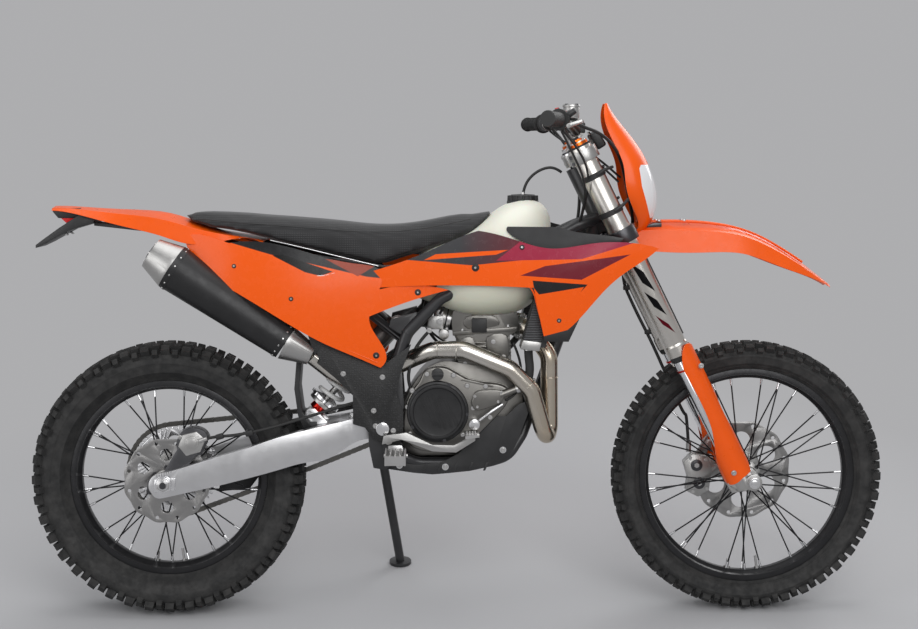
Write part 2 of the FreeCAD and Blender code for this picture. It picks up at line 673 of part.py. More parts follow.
FRAME_GUARD_SHARES = [(24.5, 48.8), (27.1, 47.6), (32.7, 45.1), (36.7, 43.3), (41.8, 47.0), (40.0, 42.0), (39.3, 39.0),
                      (40.5, 35.5), (40.5, 33.0), (40.0, 30.2), (38.0, 30.0), (35.5, 31.0), (34.0, 33.0), (32.0, 33.6),
                      (32.0, 38.5), (29.0, 41.5), (26.0, 44.0)]


SHOCK_LUG_SHARES = [(38.0, 49.4), (38.4, 51.2), (42.8, 52.4), (41.4, 47.4)]


def frame_main():
    """Steering head, twin spars, the shock's cross tube and the single down tube."""
    head_from = on_fork(LOWER_CLAMP_HEIGHT + LOWER_CLAMP_THICKNESS / 2 + HEAD_TUBE_GAP)
    head_to = on_fork(UPPER_CLAMP_HEIGHT - UPPER_CLAMP_THICKNESS / 2 - HEAD_TUBE_GAP)
    head = rod(head_from, head_to, HEAD_TUBE_RADIUS)
    spar = tube([at3(s) for s in SPAR_SHARES], SPAR_RADIUS)
    down = tube([at3(s) for s in DOWN_TUBE_SHARES], DOWN_TUBE_RADIUS)
    bore = rod(head_from - FORK_UP * OVERRUN, head_to + FORK_UP * OVERRUN, STEM_RADIUS + STEERING_RUNNING_GAP)
    lug = slab(straight(SHOCK_LUG_SHARES), SHOCK_LUG_Y, SPAR_SHARES[-2][1] * HUNDREDTH)
    cross = across(at(SHOCK_UPPER_SHARE), SHOCK_BOLT_RADIUS, -SHOCK_LUG_Y - SPAR_RADIUS / 2, SHOCK_LUG_Y + SPAR_RADIUS / 2)
    return fuse([head, spar, mirrored(spar), down, lug, mirrored(lug), cross]).cut(bore)


def frame_side():
    """Cradle tube and pivot plate of the left side, bored for the swingarm's bolt."""
    rail = tube([at3(s) for s in CRADLE_SHARES], CRADLE_RADIUS)
    plate = slab(straight(PIVOT_PLATE_SHARES), PIVOT_PLATE_INNER_Y, PIVOT_PLATE_INNER_Y + PIVOT_PLATE_THICKNESS)
    bolt = across(at(PIVOT_SHARE), PIVOT_BOLT_RADIUS, -WHEELBASE, WHEELBASE)
    return fuse([rail, plate]).cut(bolt)


def subframe_side():
    """Seat rails of the left side."""
    upper = tube([at3(s) for s in UPPER_RAIL_SHARES], SUBFRAME_RADIUS)
    lower = tube([at3(s) for s in LOWER_RAIL_SHARES], SUBFRAME_RADIUS)
    return fuse([upper, lower])


def build_frame(nodes):
    """Main frame, cradle sides and seat rails, cut face to face where they are welded."""
    main = frame_main()
    side = frame_side().cut(main)
    rails = subframe_side().cut([main, side])
    cross = rod(at3(RAIL_CROSS_SHARE), at3(RAIL_CROSS_SHARE) + Y_AXIS * (-2 * RAIL_CROSS_SHARE[1] * HUNDREDTH),
                SUBFRAME_RADIUS)
    nodes["frame_main"] = main
    nodes["frame_cradle"] = pair(side)
    nodes["subframe"] = fuse([rails, mirrored(rails), cross])
    guard = slab(straight(FRAME_GUARD_SHARES), PIVOT_PLATE_INNER_Y, FRAME_GUARD_Y)
    guard = guard.cut([main, side, rails, across(at(PIVOT_SHARE), PIVOT_NUT_RADIUS, -WHEELBASE, WHEELBASE)])
    nodes["frame_guards"] = pair(largest(guard))


RAIL_CROSS_SHARE = (12.0, 3.9, 63.2)
FRAME_GUARD_Y = 117.0
PIVOT_SHARE = (37.0, 32.8)
PIVOT_BOLT_RADIUS = 9.0
PIVOT_NUT_RADIUS = 17.0


# Swingarm and shock

SWINGARM_SIDE_SHARES = [(-2.6, 23.0), (-2.1, 24.5), (0.1, 25.4), (4.6, 26.7), (9.1, 28.1), (14.2, 29.6), (19.7, 31.4),
                        (24.0, 32.4), (28.1, 33.2), (32.0, 34.0), (37.0, 34.6), (38.8, 32.8), (37.0, 31.0),
                        (32.9, 30.2), (31.1, 29.3), (28.7, 27.8), (27.5, 27.3), (24.2, 26.9), (19.6, 25.8),
                        (14.2, 24.4), (9.0, 23.1), (4.5, 22.1), (0.0, 21.1), (-1.0, 21.0), (-2.1, 21.9)]
SWINGARM_PLAN_SHARES = [(-3.0, 6.33), (14.0, 6.33), (22.0, 5.3), (28.0, 3.2), (39.0, 2.7),
                        (39.0, 4.2), (31.0, 4.6), (24.0, 6.9), (14.5, 7.95), (-3.0, 7.95)]
SWINGARM_BRIDGE_SHARES = (25.0, 31.0)
SHOCK_EAR_SHARES = [(23.4, 34.2), (24.0, 35.3), (25.2, 35.4), (27.8, 32.6), (27.4, 31.0), (25.2, 31.0)]


def prism_up(outline, z_from, z_to):
    """Plan outline of (x, y) shares carried upward."""
    points = [Vector(x * HUNDREDTH, y * HUNDREDTH, z_from * HUNDREDTH) for x, y in outline]
    return Part.Face(Part.makePolygon(points + [points[0]])).extrude(Vector(0, 0, (z_to - z_from) * HUNDREDTH))


def swingarm():
    """Cast swingarm: two arms cut from the side view and the plan, joined by a bridge ahead of the tyre."""
    side = slab([SWINGARM_SIDE_SHARES[:12], SWINGARM_SIDE_SHARES[12:]], -WHEELBASE, WHEELBASE)
    arm = prism_up(SWINGARM_PLAN_SHARES, 0, SWINGARM_HEIGHT_SHARE)
    bridge_from, bridge_to = SWINGARM_BRIDGE_SHARES
    half = SWINGARM_BRIDGE_HALF_SHARE
    bridge = prism_up([(bridge_from, -half), (bridge_to, -half), (bridge_to, half), (bridge_from, half)], 0, SWINGARM_HEIGHT_SHARE)
    boss_half = SWINGARM_BOSS_HALF_SHARE * HUNDREDTH
    boss = across(at(PIVOT_SHARE), SWINGARM_BOSS_RADIUS, -boss_half, boss_half)
    body = fuse([arm, mirrored(arm), bridge]).common(side)
    shock_room = rod(at(SHOCK_LOWER_SHARE) + shock_way() * SHOCK_EYE_ROOM, at(SHOCK_UPPER_SHARE), SPRING_RADIUS + SEAT_GAP)
    eye_room = across(at(SHOCK_LOWER_SHARE), SHOCK_EYE_RADIUS + SEAT_GAP, -SHOCK_EYE_HALF_WIDTH, SHOCK_EYE_HALF_WIDTH)
    ear = slab(straight(SHOCK_EAR_SHARES), SHOCK_EYE_HALF_WIDTH, SHOCK_EYE_HALF_WIDTH + SHOCK_EAR_THICKNESS)
    bolt = across(at(PIVOT_SHARE), PIVOT_BOLT_RADIUS, -WHEELBASE, WHEELBASE)
    axle = across(REAR_AXLE, REAR_AXLE_RADIUS, -WHEELBASE, WHEELBASE)
    arms = fuse([body, boss]).cut([bolt, axle, shock_room, eye_room])
    return fuse([arms, ear, mirrored(ear)]).cut(across(at(SHOCK_LOWER_SHARE), SHOCK_BOLT_RADIUS, -OVERRUN, OVERRUN))


SWINGARM_BOSS_RADIUS = 24.0


def shock_way():
    """Direction of the shock from its lower to its upper eye."""
    return (at(SHOCK_UPPER_SHARE) - at(SHOCK_LOWER_SHARE)).normalize()


def coil(radius, wire, height, turns, base, way):
    """Closed round spring wire about an axis."""
    helix = Part.makeHelix(height / turns, height, radius)
    start = Vector(radius, 0, 0)
    section = Part.Wire(Part.makeCircle(wire, start, Y_AXIS))
    spring = Part.Wire(helix).makePipeShell([section], True, True)
    spring.Placement = Placement(base, Rotation(Z_AXIS, way))
    return spring


def build_rear_suspension(nodes):
    """Swingarm, its pivot bolt, and the shock with its spring."""
    arm = swingarm()
    nodes["swingarm"] = arm
    bolt_end = FRAME_GUARD_Y + SEAT_GAP
    bolt = across(at(PIVOT_SHARE), PIVOT_BOLT_RADIUS, -bolt_end, bolt_end)
    head_end = bolt_end + PIVOT_NUT_LENGTH
    heads = [across(at(PIVOT_SHARE), PIVOT_NUT_RADIUS - SEAT_GAP, s * PIVOT_PLATE_OUTER_Y, s * head_end) for s in (-1, 1)]
    nodes["swingarm_pivot"] = fuse([bolt] + heads)
    axle = across(REAR_AXLE, REAR_AXLE_RADIUS, -REAR_AXLE_HALF_LENGTH, REAR_AXLE_HALF_LENGTH)
    nut_from = SWINGARM_OUTER_Y
    nuts = [across(REAR_AXLE, AXLE_NUT_RADIUS, s * nut_from, s * (nut_from + AXLE_NUT_LENGTH)) for s in (-1, 1)]
    nodes["rear_axle"] = fuse([axle] + nuts)
    way = shock_way()
    low, high = at(SHOCK_LOWER_SHARE), at(SHOCK_UPPER_SHARE)
    length = (high - low).Length
    seat_low = low + way * (SHOCK_EYE_ROOM + SPRING_SEAT_THICKNESS)
    seat_high = seat_low + way * SPRING_LENGTH
    half = SHOCK_EYE_HALF_WIDTH
    ear_end = half + SHOCK_EAR_THICKNESS
    parts = [across(low, SHOCK_EYE_RADIUS, -half, half), across(low, SHOCK_BOLT_RADIUS, -ear_end, ear_end),
             rod(low, seat_low, SHOCK_BODY_RADIUS * SHOCK_NECK_SHARE), rod(low + way * SHOCK_EYE_ROOM, seat_low, SPRING_RADIUS),
             rod(low, high, SHOCK_ROD_RADIUS), rod(low + way * (length * SHOCK_BODY_START_SHARE), high, SHOCK_BODY_RADIUS),
             rod(seat_high, seat_high + way * SPRING_SEAT_THICKNESS, SPRING_RADIUS), across(high, SHOCK_EYE_RADIUS, -half, half)]
    body = fuse(parts).cut(nodes["frame_main"])
    height = (seat_high - seat_low).Length - 2 * SPRING_WIRE_RADIUS - 2 * SEAT_GAP
    spring = coil(SPRING_RADIUS - SPRING_WIRE_RADIUS, SPRING_WIRE_RADIUS, height, SPRING_TURNS,
                  seat_low + way * (SPRING_WIRE_RADIUS + SEAT_GAP), way)
    nodes["shock_body"] = body
    nodes["shock_spring"] = spring


PIVOT_PLATE_OUTER_Y = 108.0
SHOCK_EYE_RADIUS = 18.0
SHOCK_EYE_HALF_WIDTH = 22.0
SHOCK_EAR_THICKNESS = 12.0
SHOCK_BOLT_RADIUS = 8.0
SHOCK_EYE_ROOM = 34.0
SHOCK_LUG_Y = 84.0
SPRING_SEAT_THICKNESS = 10.0
SPRING_LENGTH = 190.0
SWINGARM_OUTER_Y = 7.95 * HUNDREDTH
REAR_AXLE_HALF_LENGTH = SWINGARM_OUTER_Y + 18.0


# Engine

CASE_SHARES = [[(40.2, 33.0), (40.6, 36.4), (42.0, 39.6), (45.0, 43.0), (50.0, 43.6)], [(58.6, 42.6)],
               [(60.2, 40.0), (61.0, 36.0), (60.6, 32.0), (58.6, 29.4)], [(55.6, 27.9)], [(43.0, 27.7)],
               [(41.0, 28.6), (40.2, 31.0)]]
CLUTCH_SIDE_SHARES = [[(43.2, 40.7), (44.0, 42.6), (45.4, 43.5), (47.5, 43.5), (49.2, 42.6)], [(54.0, 40.7)],
                      [(57.5, 39.6), (58.3, 38.3), (56.7, 35.5)], [(51.8, 30.6)],
                      [(49.7, 29.0), (47.0, 28.4), (43.2, 29.0), (41.0, 30.1), (40.2, 32.8), (40.8, 36.1)]]
CYLINDER_SHARES = [(50.2, 43.6), (49.4, 48.0), (58.6, 49.0), (59.0, 42.7)]
HEAD_SHARES = [[(49.2, 48.1), (48.8, 51.6)], [(50.4, 54.0), (53.4, 54.8), (57.4, 54.2)], [(59.8, 52.4)], [(60.4, 49.2)]]
PUMP_SHARES = [(52.1, 35.6), (53.0, 38.8), (56.4, 39.4), (57.6, 37.6), (55.6, 35.2)]
PUMP_SHARE = (53.4, 34.2)
IGNITION_SHARE = (52.6, 35.6)
FILLER_SHARE = (46.3, 42.0)
FILLER_RADIUS = 13.0
FILLER_HEIGHT = 12.0
THROTTLE_SHARES = ((49.2, 50.4), (43.6, 51.6))
HEADER_SHARES = [(59.6, -1.3, 50.0), (62.2, -2.4, 49.2), (65.4, -3.6, 44.6), (65.5, -3.7, 32.2), (65.0, -5.0, 30.9),
                 (64.2, -6.2, 32.4), (62.2, -7.2, 39.2), (58.6, -7.6, 42.9), (50.6, -7.5, 46.2), (45.6, -6.4, 46.0),
                 (42.2, -4.2, 44.4), (37.6, -4.2, 42.2), (32.0, -4.2, 40.0), (28.4, -5.2, 42.2), (25.0, -6.6, 45.2)]


def header_pipe():
    """Exhaust pipe from the cylinder head round to the silencer."""
    return tube([at3(s) for s in HEADER_SHARES], EXHAUST_RADIUS, EXHAUST_BEND_RADIUS)


def ignition_room():
    """Space round the ignition cover that the skid plate keeps clear of."""
    return across(at(IGNITION_SHARE), IGNITION_COVER_RADIUS + SEAT_GAP, CASE_LEFT_Y, WHEELBASE)


def header_room():
    """Space that the exhaust pipe needs beside guards and covers."""
    return tube([at3(s) for s in HEADER_SHARES], EXHAUST_RADIUS + EXHAUST_ROOM, EXHAUST_BEND_RADIUS)


def crankcase():
    """Crankcase casting with the left-hand ignition cover's seat."""
    body = slab(CASE_SHARES, -CASE_RIGHT_Y, CASE_LEFT_Y)
    return body.cut(across(at(COUNTERSHAFT_SHARE), COUNTERSHAFT_RADIUS, CASE_LEFT_Y - COUNTERSHAFT_SINK, WHEELBASE))


def frame_room():
    """Cradle tubes with the small gap that the engine keeps from them."""
    rail = tube([at3(s) for s in CRADLE_SHARES], CRADLE_RADIUS + SEAT_GAP)
    down = tube([at3(s) for s in DOWN_TUBE_SHARES], DOWN_TUBE_RADIUS + SEAT_GAP)
    return [rail, mirrored(rail), down]


CASE_RIGHT_Y = 74.0
CASE_LEFT_Y = 68.0
COUNTERSHAFT_RADIUS = 10.0
CLUTCH_SIDE_DEPTH = 30.0


def ribbed_cylinder():
    """Cylinder block with ribs on both sides."""
    half = CYLINDER_HALF_WIDTH - CYLINDER_STEP
    block = slab(straight(CYLINDER_SHARES), -half, half)
    box = block.BoundBox
    pitch = box.ZLength / (CYLINDER_RIB_COUNT + 1)
    grooves = []
    for i in range(CYLINDER_RIB_COUNT):
        low = Vector(box.XMin - OVERRUN, half - CYLINDER_RIB_DEPTH, box.ZMin + pitch * (i + 1) - CYLINDER_RIB_GAP / 2)
        groove = Part.makeBox(box.XLength + 2 * OVERRUN, CYLINDER_RIB_DEPTH + OVERRUN, CYLINDER_RIB_GAP, low)
        grooves += [groove, mirrored(groove)]
    return block.cut(grooves)


def build_engine(nodes):
    """Crankcase, covers, cylinder, head, throttle body, exhaust."""
    nodes["crankcase"] = largest(crankcase().cut(frame_room()))
    cover_y = -CASE_RIGHT_Y - CLUTCH_SIDE_DEPTH
    side = slab(CLUTCH_SIDE_SHARES, cover_y, -CASE_RIGHT_Y)
    pump = slab(straight(PUMP_SHARES), cover_y - PUMP_COVER_DEPTH, cover_y)
    pump_boss = across(at(PUMP_SHARE), PUMP_BOSS_RADIUS, cover_y - PUMP_BOSS_DEPTH, cover_y)
    filler = across(at(FILLER_SHARE), FILLER_RADIUS, cover_y - FILLER_HEIGHT, cover_y)
    nodes["engine_side_cover"] = fuse([side, pump, pump_boss, filler])
    disc_y = cover_y - CLUTCH_COVER_STEP
    disc = across(at(CLUTCH_CENTRE_SHARE), CLUTCH_COVER_RADIUS, disc_y, cover_y)
    cap = across(at(CLUTCH_CENTRE_SHARE), CLUTCH_CAP_RADIUS, disc_y - CLUTCH_CAP_HEIGHT, disc_y)
    nodes["clutch_cover"] = fuse([disc, cap])
    ignition = across(at(IGNITION_SHARE), IGNITION_COVER_RADIUS, CASE_LEFT_Y, CASE_LEFT_Y + IGNITION_COVER_DEPTH)
    nodes["ignition_cover"] = ignition
    nodes["cylinder"] = ribbed_cylinder().cut(nodes["crankcase"])
    header = header_pipe()
    nodes["cylinder_head"] = slab(HEAD_SHARES, -HEAD_HALF_WIDTH, HEAD_HALF_WIDTH).cut([nodes["cylinder"], header])
    nodes["exhaust_header"] = header
    throttle = cone(at(THROTTLE_SHARES[0]), at(THROTTLE_SHARES[1]), THROTTLE_FRONT_RADIUS, THROTTLE_REAR_RADIUS)
    nodes["throttle_body"] = throttle.cut(nodes["cylinder_head"])
    plate = sprocket(FRONT_TEETH, at(COUNTERSHAFT_SHARE), CHAIN_OFFSET, COUNTERSHAFT_RADIUS)
    shaft = across(at(COUNTERSHAFT_SHARE), COUNTERSHAFT_RADIUS, CASE_LEFT_Y - COUNTERSHAFT_SINK, CHAIN_OFFSET + COUNTERSHAFT_OVERHANG)
    nodes["countershaft"] = fuse([plate, shaft]) if plate.isValid() else shaft


# Silencer

CONE_WALL = 4.0


def build_silencer(nodes):
    """Tapered silencer body between its two end caps."""
    rear = at(SILENCER_REAR_SHARE, SILENCER_Y)
    front = at(SILENCER_FRONT_SHARE, SILENCER_Y)
    way = (rear - front).normalize()
    nodes["silencer"] = cone(front, rear, SILENCER_FRONT_RADIUS, SILENCER_REAR_RADIUS)
    tail = cone(rear, rear + way * TAIL_CAP_LENGTH, SILENCER_REAR_RADIUS, TAIL_CAP_RADIUS)
    opening = rod(rear + way * (TAIL_CAP_LENGTH * 0.4), rear + way * (TAIL_CAP_LENGTH + OVERRUN), TAIL_PIPE_RADIUS)
    tail = tail.cut(opening)
    joint = at3(HEADER_SHARES[-1])
    front_cone = cone(front, joint, SILENCER_FRONT_RADIUS, EXHAUST_RADIUS + CONE_WALL)
    header_seat = tube([at3(s) for s in HEADER_SHARES], EXHAUST_RADIUS + SEAT_GAP, EXHAUST_BEND_RADIUS)
    nodes["silencer"] = nodes["silencer"].cut(header_seat)
    nodes["silencer_caps"] = Part.makeCompound([tail, largest(front_cone.cut([header_seat, nodes["silencer"]]))])


# Body

SEAT_SHARES = [[(3.4, 68.6), (4.7, 67.8), (7.7, 66.9)], [(14.2, 65.9), (22.1, 63.8), (30.0, 61.9), (36.7, 60.3)],
               [(43.3, 62.6), (51.7, 65.8), (53.2, 66.8), (55.6, 69.4)],
               [(55.4, 69.9), (53.8, 69.9), (51.7, 69.1), (48.0, 68.3), (44.0, 67.5), (41.4, 67.1), (38.0, 66.9),
                (34.0, 67.1), (30.0, 67.5), (26.0, 68.0), (20.0, 68.3), (14.2, 68.8), (10.3, 69.2), (7.6, 69.1),
                (3.1, 69.1)]]
SEAT_SECTIONS = [(2.0, 69.1, 4.2), (7.6, 69.1, 5.4), (14.2, 68.8, 6.4), (22.0, 68.2, 6.8), (30.0, 67.5, 6.4),
                 (38.0, 66.9, 5.8), (44.0, 67.5, 5.3), (51.7, 69.1, 4.4), (57.0, 70.0, 3.0)]
SEAT_SIDE_DROP_SHARES = [(0.0, 0.0), (0.62, 0.25), (0.93, 1.1), (1.04, 3.2)]
SEAT_FLOOR_SHARE = 56.0
TANK_SECTIONS = [(43.0, 54.4, 61.4, 3.6), (48.0, 52.6, 64.4, 7.6), (53.0, 51.5, 66.8, 9.8), (57.0, 51.6, 69.8, 10.4),
                 (61.0, 52.6, 71.2, 9.8), (64.0, 55.6, 70.6, 7.4), (65.6, 60.0, 68.0, 3.4)]
RADIATOR_SHARES = [(60.2, 46.6), (63.2, 46.2), (67.6, 62.4), (64.6, 62.9)]
AIRBOX_SHARES = [(24.0, 54.4), (31.0, 52.8), (38.0, 55.2), (44.0, 56.4), (44.0, 60.4), (37.0, 59.6), (26.0, 61.4)]
SHROUD_SHARES = [[(32.5, 58.3), (36.9, 60.0), (44.6, 62.8), (50.0, 65.2), (53.1, 66.3)],
                 [(58.7, 65.0), (64.8, 63.5), (72.0, 64.4), (78.0, 64.5), (82.7, 63.6)],
                 [(80.5, 61.8), (77.5, 59.8), (74.5, 57.3), (72.0, 54.5), (69.4, 51.5), (67.8, 50.0)],
                 [(63.9, 48.9)], [(63.3, 51.5), (62.2, 57.0)], [(54.9, 57.2), (45.9, 57.2), (36.6, 56.8)]]
SHROUD_X_SHARES = (31.0, 40.0, 50.0, 60.0, 70.0, 84.0)
SHROUD_Z_SHARES = (48.0, 55.0, 61.0, 67.0)
SHROUD_Y_SHARES = [(7.9, 8.1, 8.1, 7.6), (8.3, 8.7, 8.6, 7.8), (9.4, 9.9, 9.6, 8.4), (11.0, 11.7, 11.4, 9.8),
                   (12.0, 12.8, 13.0, 12.0), (12.2, 13.0, 13.4, 13.0)]
SPOILER_SHARES = [[(58.2, 67.2), (59.5, 67.7), (64.1, 67.6), (69.3, 66.2), (73.9, 65.7), (76.9, 65.2)],
                  [(76.0, 64.2)], [(72.0, 64.1), (67.1, 63.4), (64.8, 63.0)], [(61.0, 64.4)]]
LOWER_SHROUD_SHARES = [(63.9, 49.4), (67.8, 50.5), (69.8, 52.0), (67.4, 46.6), (66.8, 46.2), (64.1, 45.8)]
SIDE_PANEL_SHARES = [[(4.1, 64.0), (6.4, 60.6), (10.2, 57.4)],
                     [(14.2, 55.2), (20.1, 51.6), (27.1, 47.6), (32.7, 45.1), (36.7, 43.3)],
                     [(37.7, 44.8), (36.3, 48.3), (34.9, 52.0)], [(40.1, 54.0), (48.1, 56.4)],
                     [(45.9, 56.9), (36.6, 56.5)], [(36.6, 59.8), (32.7, 60.8), (24.0, 62.9), (18.0, 64.3), (11.5, 64.2)]]
PANEL_X_SHARES = (2.0, 12.0, 22.0, 32.0, 42.0, 50.0)
PANEL_Z_SHARES = (42.0, 50.0, 58.0, 66.0)
PANEL_Y_SHARES = [(5.0, 5.4, 5.4, 4.8), (8.4, 8.9, 8.7, 7.4), (9.0, 9.6, 9.3, 8.0), (8.6, 9.1, 8.8, 7.6),
                  (8.4, 8.7, 8.5, 7.4), (8.8, 9.1, 8.9, 7.8)]
REAR_FENDER_ROWS = [(-18.9, 70.2, 69.9, 69.5, 2.8, 3.4), (-12.0, 69.9, 69.5, 68.3, 3.8, 4.8),
                    (-6.0, 69.6, 68.9, 66.8, 4.6, 5.6), (0.0, 69.1, 68.1, 65.3, 5.2, 6.2),
                    (4.0, 68.0, 67.0, 64.1, 5.6, 6.6), (8.0, 66.6, 66.0, 64.0, 5.8, 6.8), (17.0, 64.6, 64.4, 63.9, 5.6, 6.2)]
FRONT_FENDER_ROWS = [(80.2, 67.3, 66.0, 62.6, 3.2, 4.6), (86.0, 67.5, 66.2, 62.4, 3.6, 5.0),
                     (92.0, 67.3, 66.0, 62.4, 3.9, 5.2), (98.0, 66.5, 65.2, 62.2, 4.0, 5.2),
                     (104.0, 63.9, 62.7, 60.2, 3.8, 4.9), (109.0, 60.5, 59.7, 58.4, 3.4, 4.2),
                     (113.7, 56.9, 56.6, 56.2, 2.2, 2.6)]
TAIL_LIGHT_SHARES = [(-18.7, 69.7), (-18.1, 68.8), (-16.6, 67.4), (-14.2, 68.6), (-14.2, 69.6)]
PLATE_HOLDER_SHARES = [(-14.0, 68.9), (-11.6, 68.6), (-11.8, 67.4), (-15.9, 66.2), (-19.9, 64.0), (-21.6, 63.2),
                       (-21.6, 63.7), (-20.4, 64.6), (-17.6, 66.6)]
SKID_SHARES = [(37.7, 25.7), (38.4, 26.8), (40.3, 27.1), (43.2, 26.4), (47.0, 26.8), (49.7, 28.2), (51.9, 30.1),
               (54.0, 32.3), (55.9, 34.7), (58.0, 34.7), (59.9, 36.6), (61.8, 37.4), (61.8, 35.5), (60.9, 33.1),
               (60.0, 30.6), (59.1, 28.7), (57.5, 27.1), (55.1, 26.0), (51.9, 25.3), (48.1, 24.9), (45.4, 24.7),
               (42.1, 25.0), (38.9, 25.5)]
SKID_INSIDE_SHARES = [(30.0, 26.0), (38.9, 25.9), (45.4, 25.1), (51.9, 25.7), (55.1, 26.4), (57.2, 27.6), (58.6, 29.2),
                      (59.5, 31.0), (60.3, 33.4), (61.2, 36.0), (61.2, 45.0), (30.0, 45.0)]
MUD_FLAP_SHARES = [(22.3, 45.0), (21.8, 39.0), (22.4, 34.4), (23.3, 32.2), (25.6, 31.8), (25.6, 33.2), (24.0, 33.2),
                   (23.1, 35.0), (22.6, 39.0), (23.1, 45.0)]
CAP_SHARE = (61.0, 71.0)


def largest(shape):
    """The biggest solid of a shape."""
    return max(shape.Solids, key=lambda solid: solid.Volume)


def crowned_body(sections, drops, floor):
    """Solid lofted along x through crowned sections of (x, crown, half-width) shares down to a flat floor."""
    wires = []
    for x, crown, half in sections:
        side = [(half * width, crown - drop) for width, drop in drops]
        arc = [(-y, z) for y, z in reversed(side)] + side[1:]
        curve = Part.BSplineCurve()
        curve.interpolate([at3((x, y, z)) for y, z in arc])
        foot = [at3((x, arc[-1][0], floor)), at3((x, arc[0][0], floor))]
        ends = [curve.toShape(), Part.LineSegment(curve.EndPoint, foot[0]).toShape(),
                Part.LineSegment(foot[0], foot[1]).toShape(), Part.LineSegment(foot[1], curve.StartPoint).toShape()]
        wires.append(Part.Wire(ends))
    return Part.makeLoft(wires, True)


def rounded_body(sections):
    """Solid lofted along x through rounded sections of (x, floor, crown, half-width) shares."""
    wires = []
    for x, floor, crown, half in sections:
        mid = (floor + crown) / 2
        rise = (crown - floor) / 2
        ring = []
        for i in range(TANK_SECTION_POINTS):
            angle = 2 * math.pi * (i + 0.5) / TANK_SECTION_POINTS
            across_share = math.copysign(abs(math.cos(angle)) ** 0.7, math.cos(angle))
            up_share = math.copysign(abs(math.sin(angle)) ** 0.7, math.sin(angle))
            ring.append(at3((x, half * across_share, mid + rise * up_share)))
        curve = Part.BSplineCurve()
        curve.interpolate(ring, PeriodicFlag=True)
        wires.append(Part.Wire(curve.toShape()))
    return Part.makeLoft(wires, True)


TANK_SECTION_POINTS = 16


def build_body(nodes):
    """Seat, tank, panels, fenders and what hangs from them."""
    frame = [nodes["frame_main"], nodes["frame_cradle"], nodes["subframe"]]
    seat = crowned_body(SEAT_SECTIONS, SEAT_SIDE_DROP_SHARES, SEAT_FLOOR_SHARE).common(slab(SEAT_SHARES, -WHEELBASE, WHEELBASE))
    fender = channel(REAR_FENDER_ROWS, FENDER_THICKNESS, lambda x, y, z: at3((x, y, z)))
    left_guard, right_guard = sorted(nodes["frame_guards"].Solids, key=lambda solid: -solid.BoundBox.Center.y)
    right_guard = largest(right_guard.cut([nodes["silencer"], nodes["silencer_caps"], nodes["engine_side_cover"], header_room()]))
    nodes["frame_guards"] = Part.makeCompound([left_guard, right_guard])
    seat = largest(seat.cut([fender] + frame))
    tank = rounded_body(TANK_SECTIONS)
    radiator = slab(straight(RADIATOR_SHARES), RADIATOR_INNER_Y, RADIATOR_OUTER_Y).cut(frame)
    tank = largest(tank.cut([seat, radiator, mirrored(radiator), nodes["cylinder_head"], nodes["exhaust_header"],
                             nodes["throttle_body"]] + frame))
    nodes["rear_fender"] = fender
    nodes["seat"] = seat
    nodes["fuel_tank"] = tank
    cap_base = at(CAP_SHARE)
    nodes["fuel_cap"] = rod(cap_base - Z_AXIS * FUEL_CAP_SINK, cap_base + Z_AXIS * FUEL_CAP_HEIGHT, FUEL_CAP_RADIUS).cut(tank)
    nodes["radiators"] = pair(radiator)
    airbox = slab(straight(AIRBOX_SHARES), -AIRBOX_HALF_WIDTH, AIRBOX_HALF_WIDTH)
    nodes["airbox"] = largest(airbox.cut([nodes["shock_body"], nodes["throttle_body"], tank, seat] + frame))
    shroud = skin(SHROUD_SHARES, SHROUD_Y_SHARES, SHROUD_X_SHARES, SHROUD_Z_SHARES, PANEL_THICKNESS)
    hard = frame + [tank, seat, radiator]
    shroud = largest(shroud.cut(hard))
    nodes["shrouds"] = pair(shroud)
    top = skin(SPOILER_SHARES, SHROUD_Y_SHARES, SHROUD_X_SHARES, SHROUD_Z_SHARES, PANEL_THICKNESS)
    low = skin(straight(LOWER_SHROUD_SHARES), SHROUD_Y_SHARES, SHROUD_X_SHARES, SHROUD_Z_SHARES, PANEL_THICKNESS)
    top = largest(top.cut(hard + [shroud]))
    low = largest(low.cut(hard + [shroud]))
    nodes["shroud_edges"] = Part.makeCompound([top, mirrored(top), low, mirrored(low)])
    panel = skin(SIDE_PANEL_SHARES, PANEL_Y_SHARES, PANEL_X_SHARES, PANEL_Z_SHARES, PANEL_THICKNESS)
    panel = largest(panel.cut(hard + [shroud, fender, nodes["frame_guards"], nodes["silencer"]]))
    right_panel = mirrored(panel).cut([nodes["silencer"], nodes["silencer_caps"]])
    nodes["side_panels"] = Part.makeCompound([panel, largest(right_panel)])
    lamp = slab(straight(TAIL_LIGHT_SHARES), -TAIL_HALF_WIDTH, TAIL_HALF_WIDTH).cut(fender)
    nodes["tail_light"] = largest(lamp)
    holder = slab(straight(PLATE_HOLDER_SHARES), -PLATE_HALF_WIDTH, PLATE_HALF_WIDTH)
    nodes["plate_holder"] = largest(holder.cut([fender, nodes["tail_light"]]))
    skid = slab(straight(SKID_SHARES), -SKID_HALF_WIDTH, SKID_HALF_WIDTH)
    skid = skid.cut(slab(straight(SKID_INSIDE_SHARES), -SKID_HALF_WIDTH + FENDER_THICKNESS, SKID_HALF_WIDTH - FENDER_THICKNESS))
    engine = [nodes["crankcase"], nodes["engine_side_cover"], ignition_room(), header_room()]
    nodes["skid_plate"] = largest(skid.cut(frame_room() + engine + [nodes["frame_main"], nodes["frame_cradle"]]))
    flap = slab(straight(MUD_FLAP_SHARES), -FLAP_HALF_WIDTH, FLAP_HALF_WIDTH)
    nodes["mud_flap"] = largest(flap.cut([nodes["exhaust_header"], nodes["silencer_caps"], nodes["swingarm"], nodes["shock_body"]]))


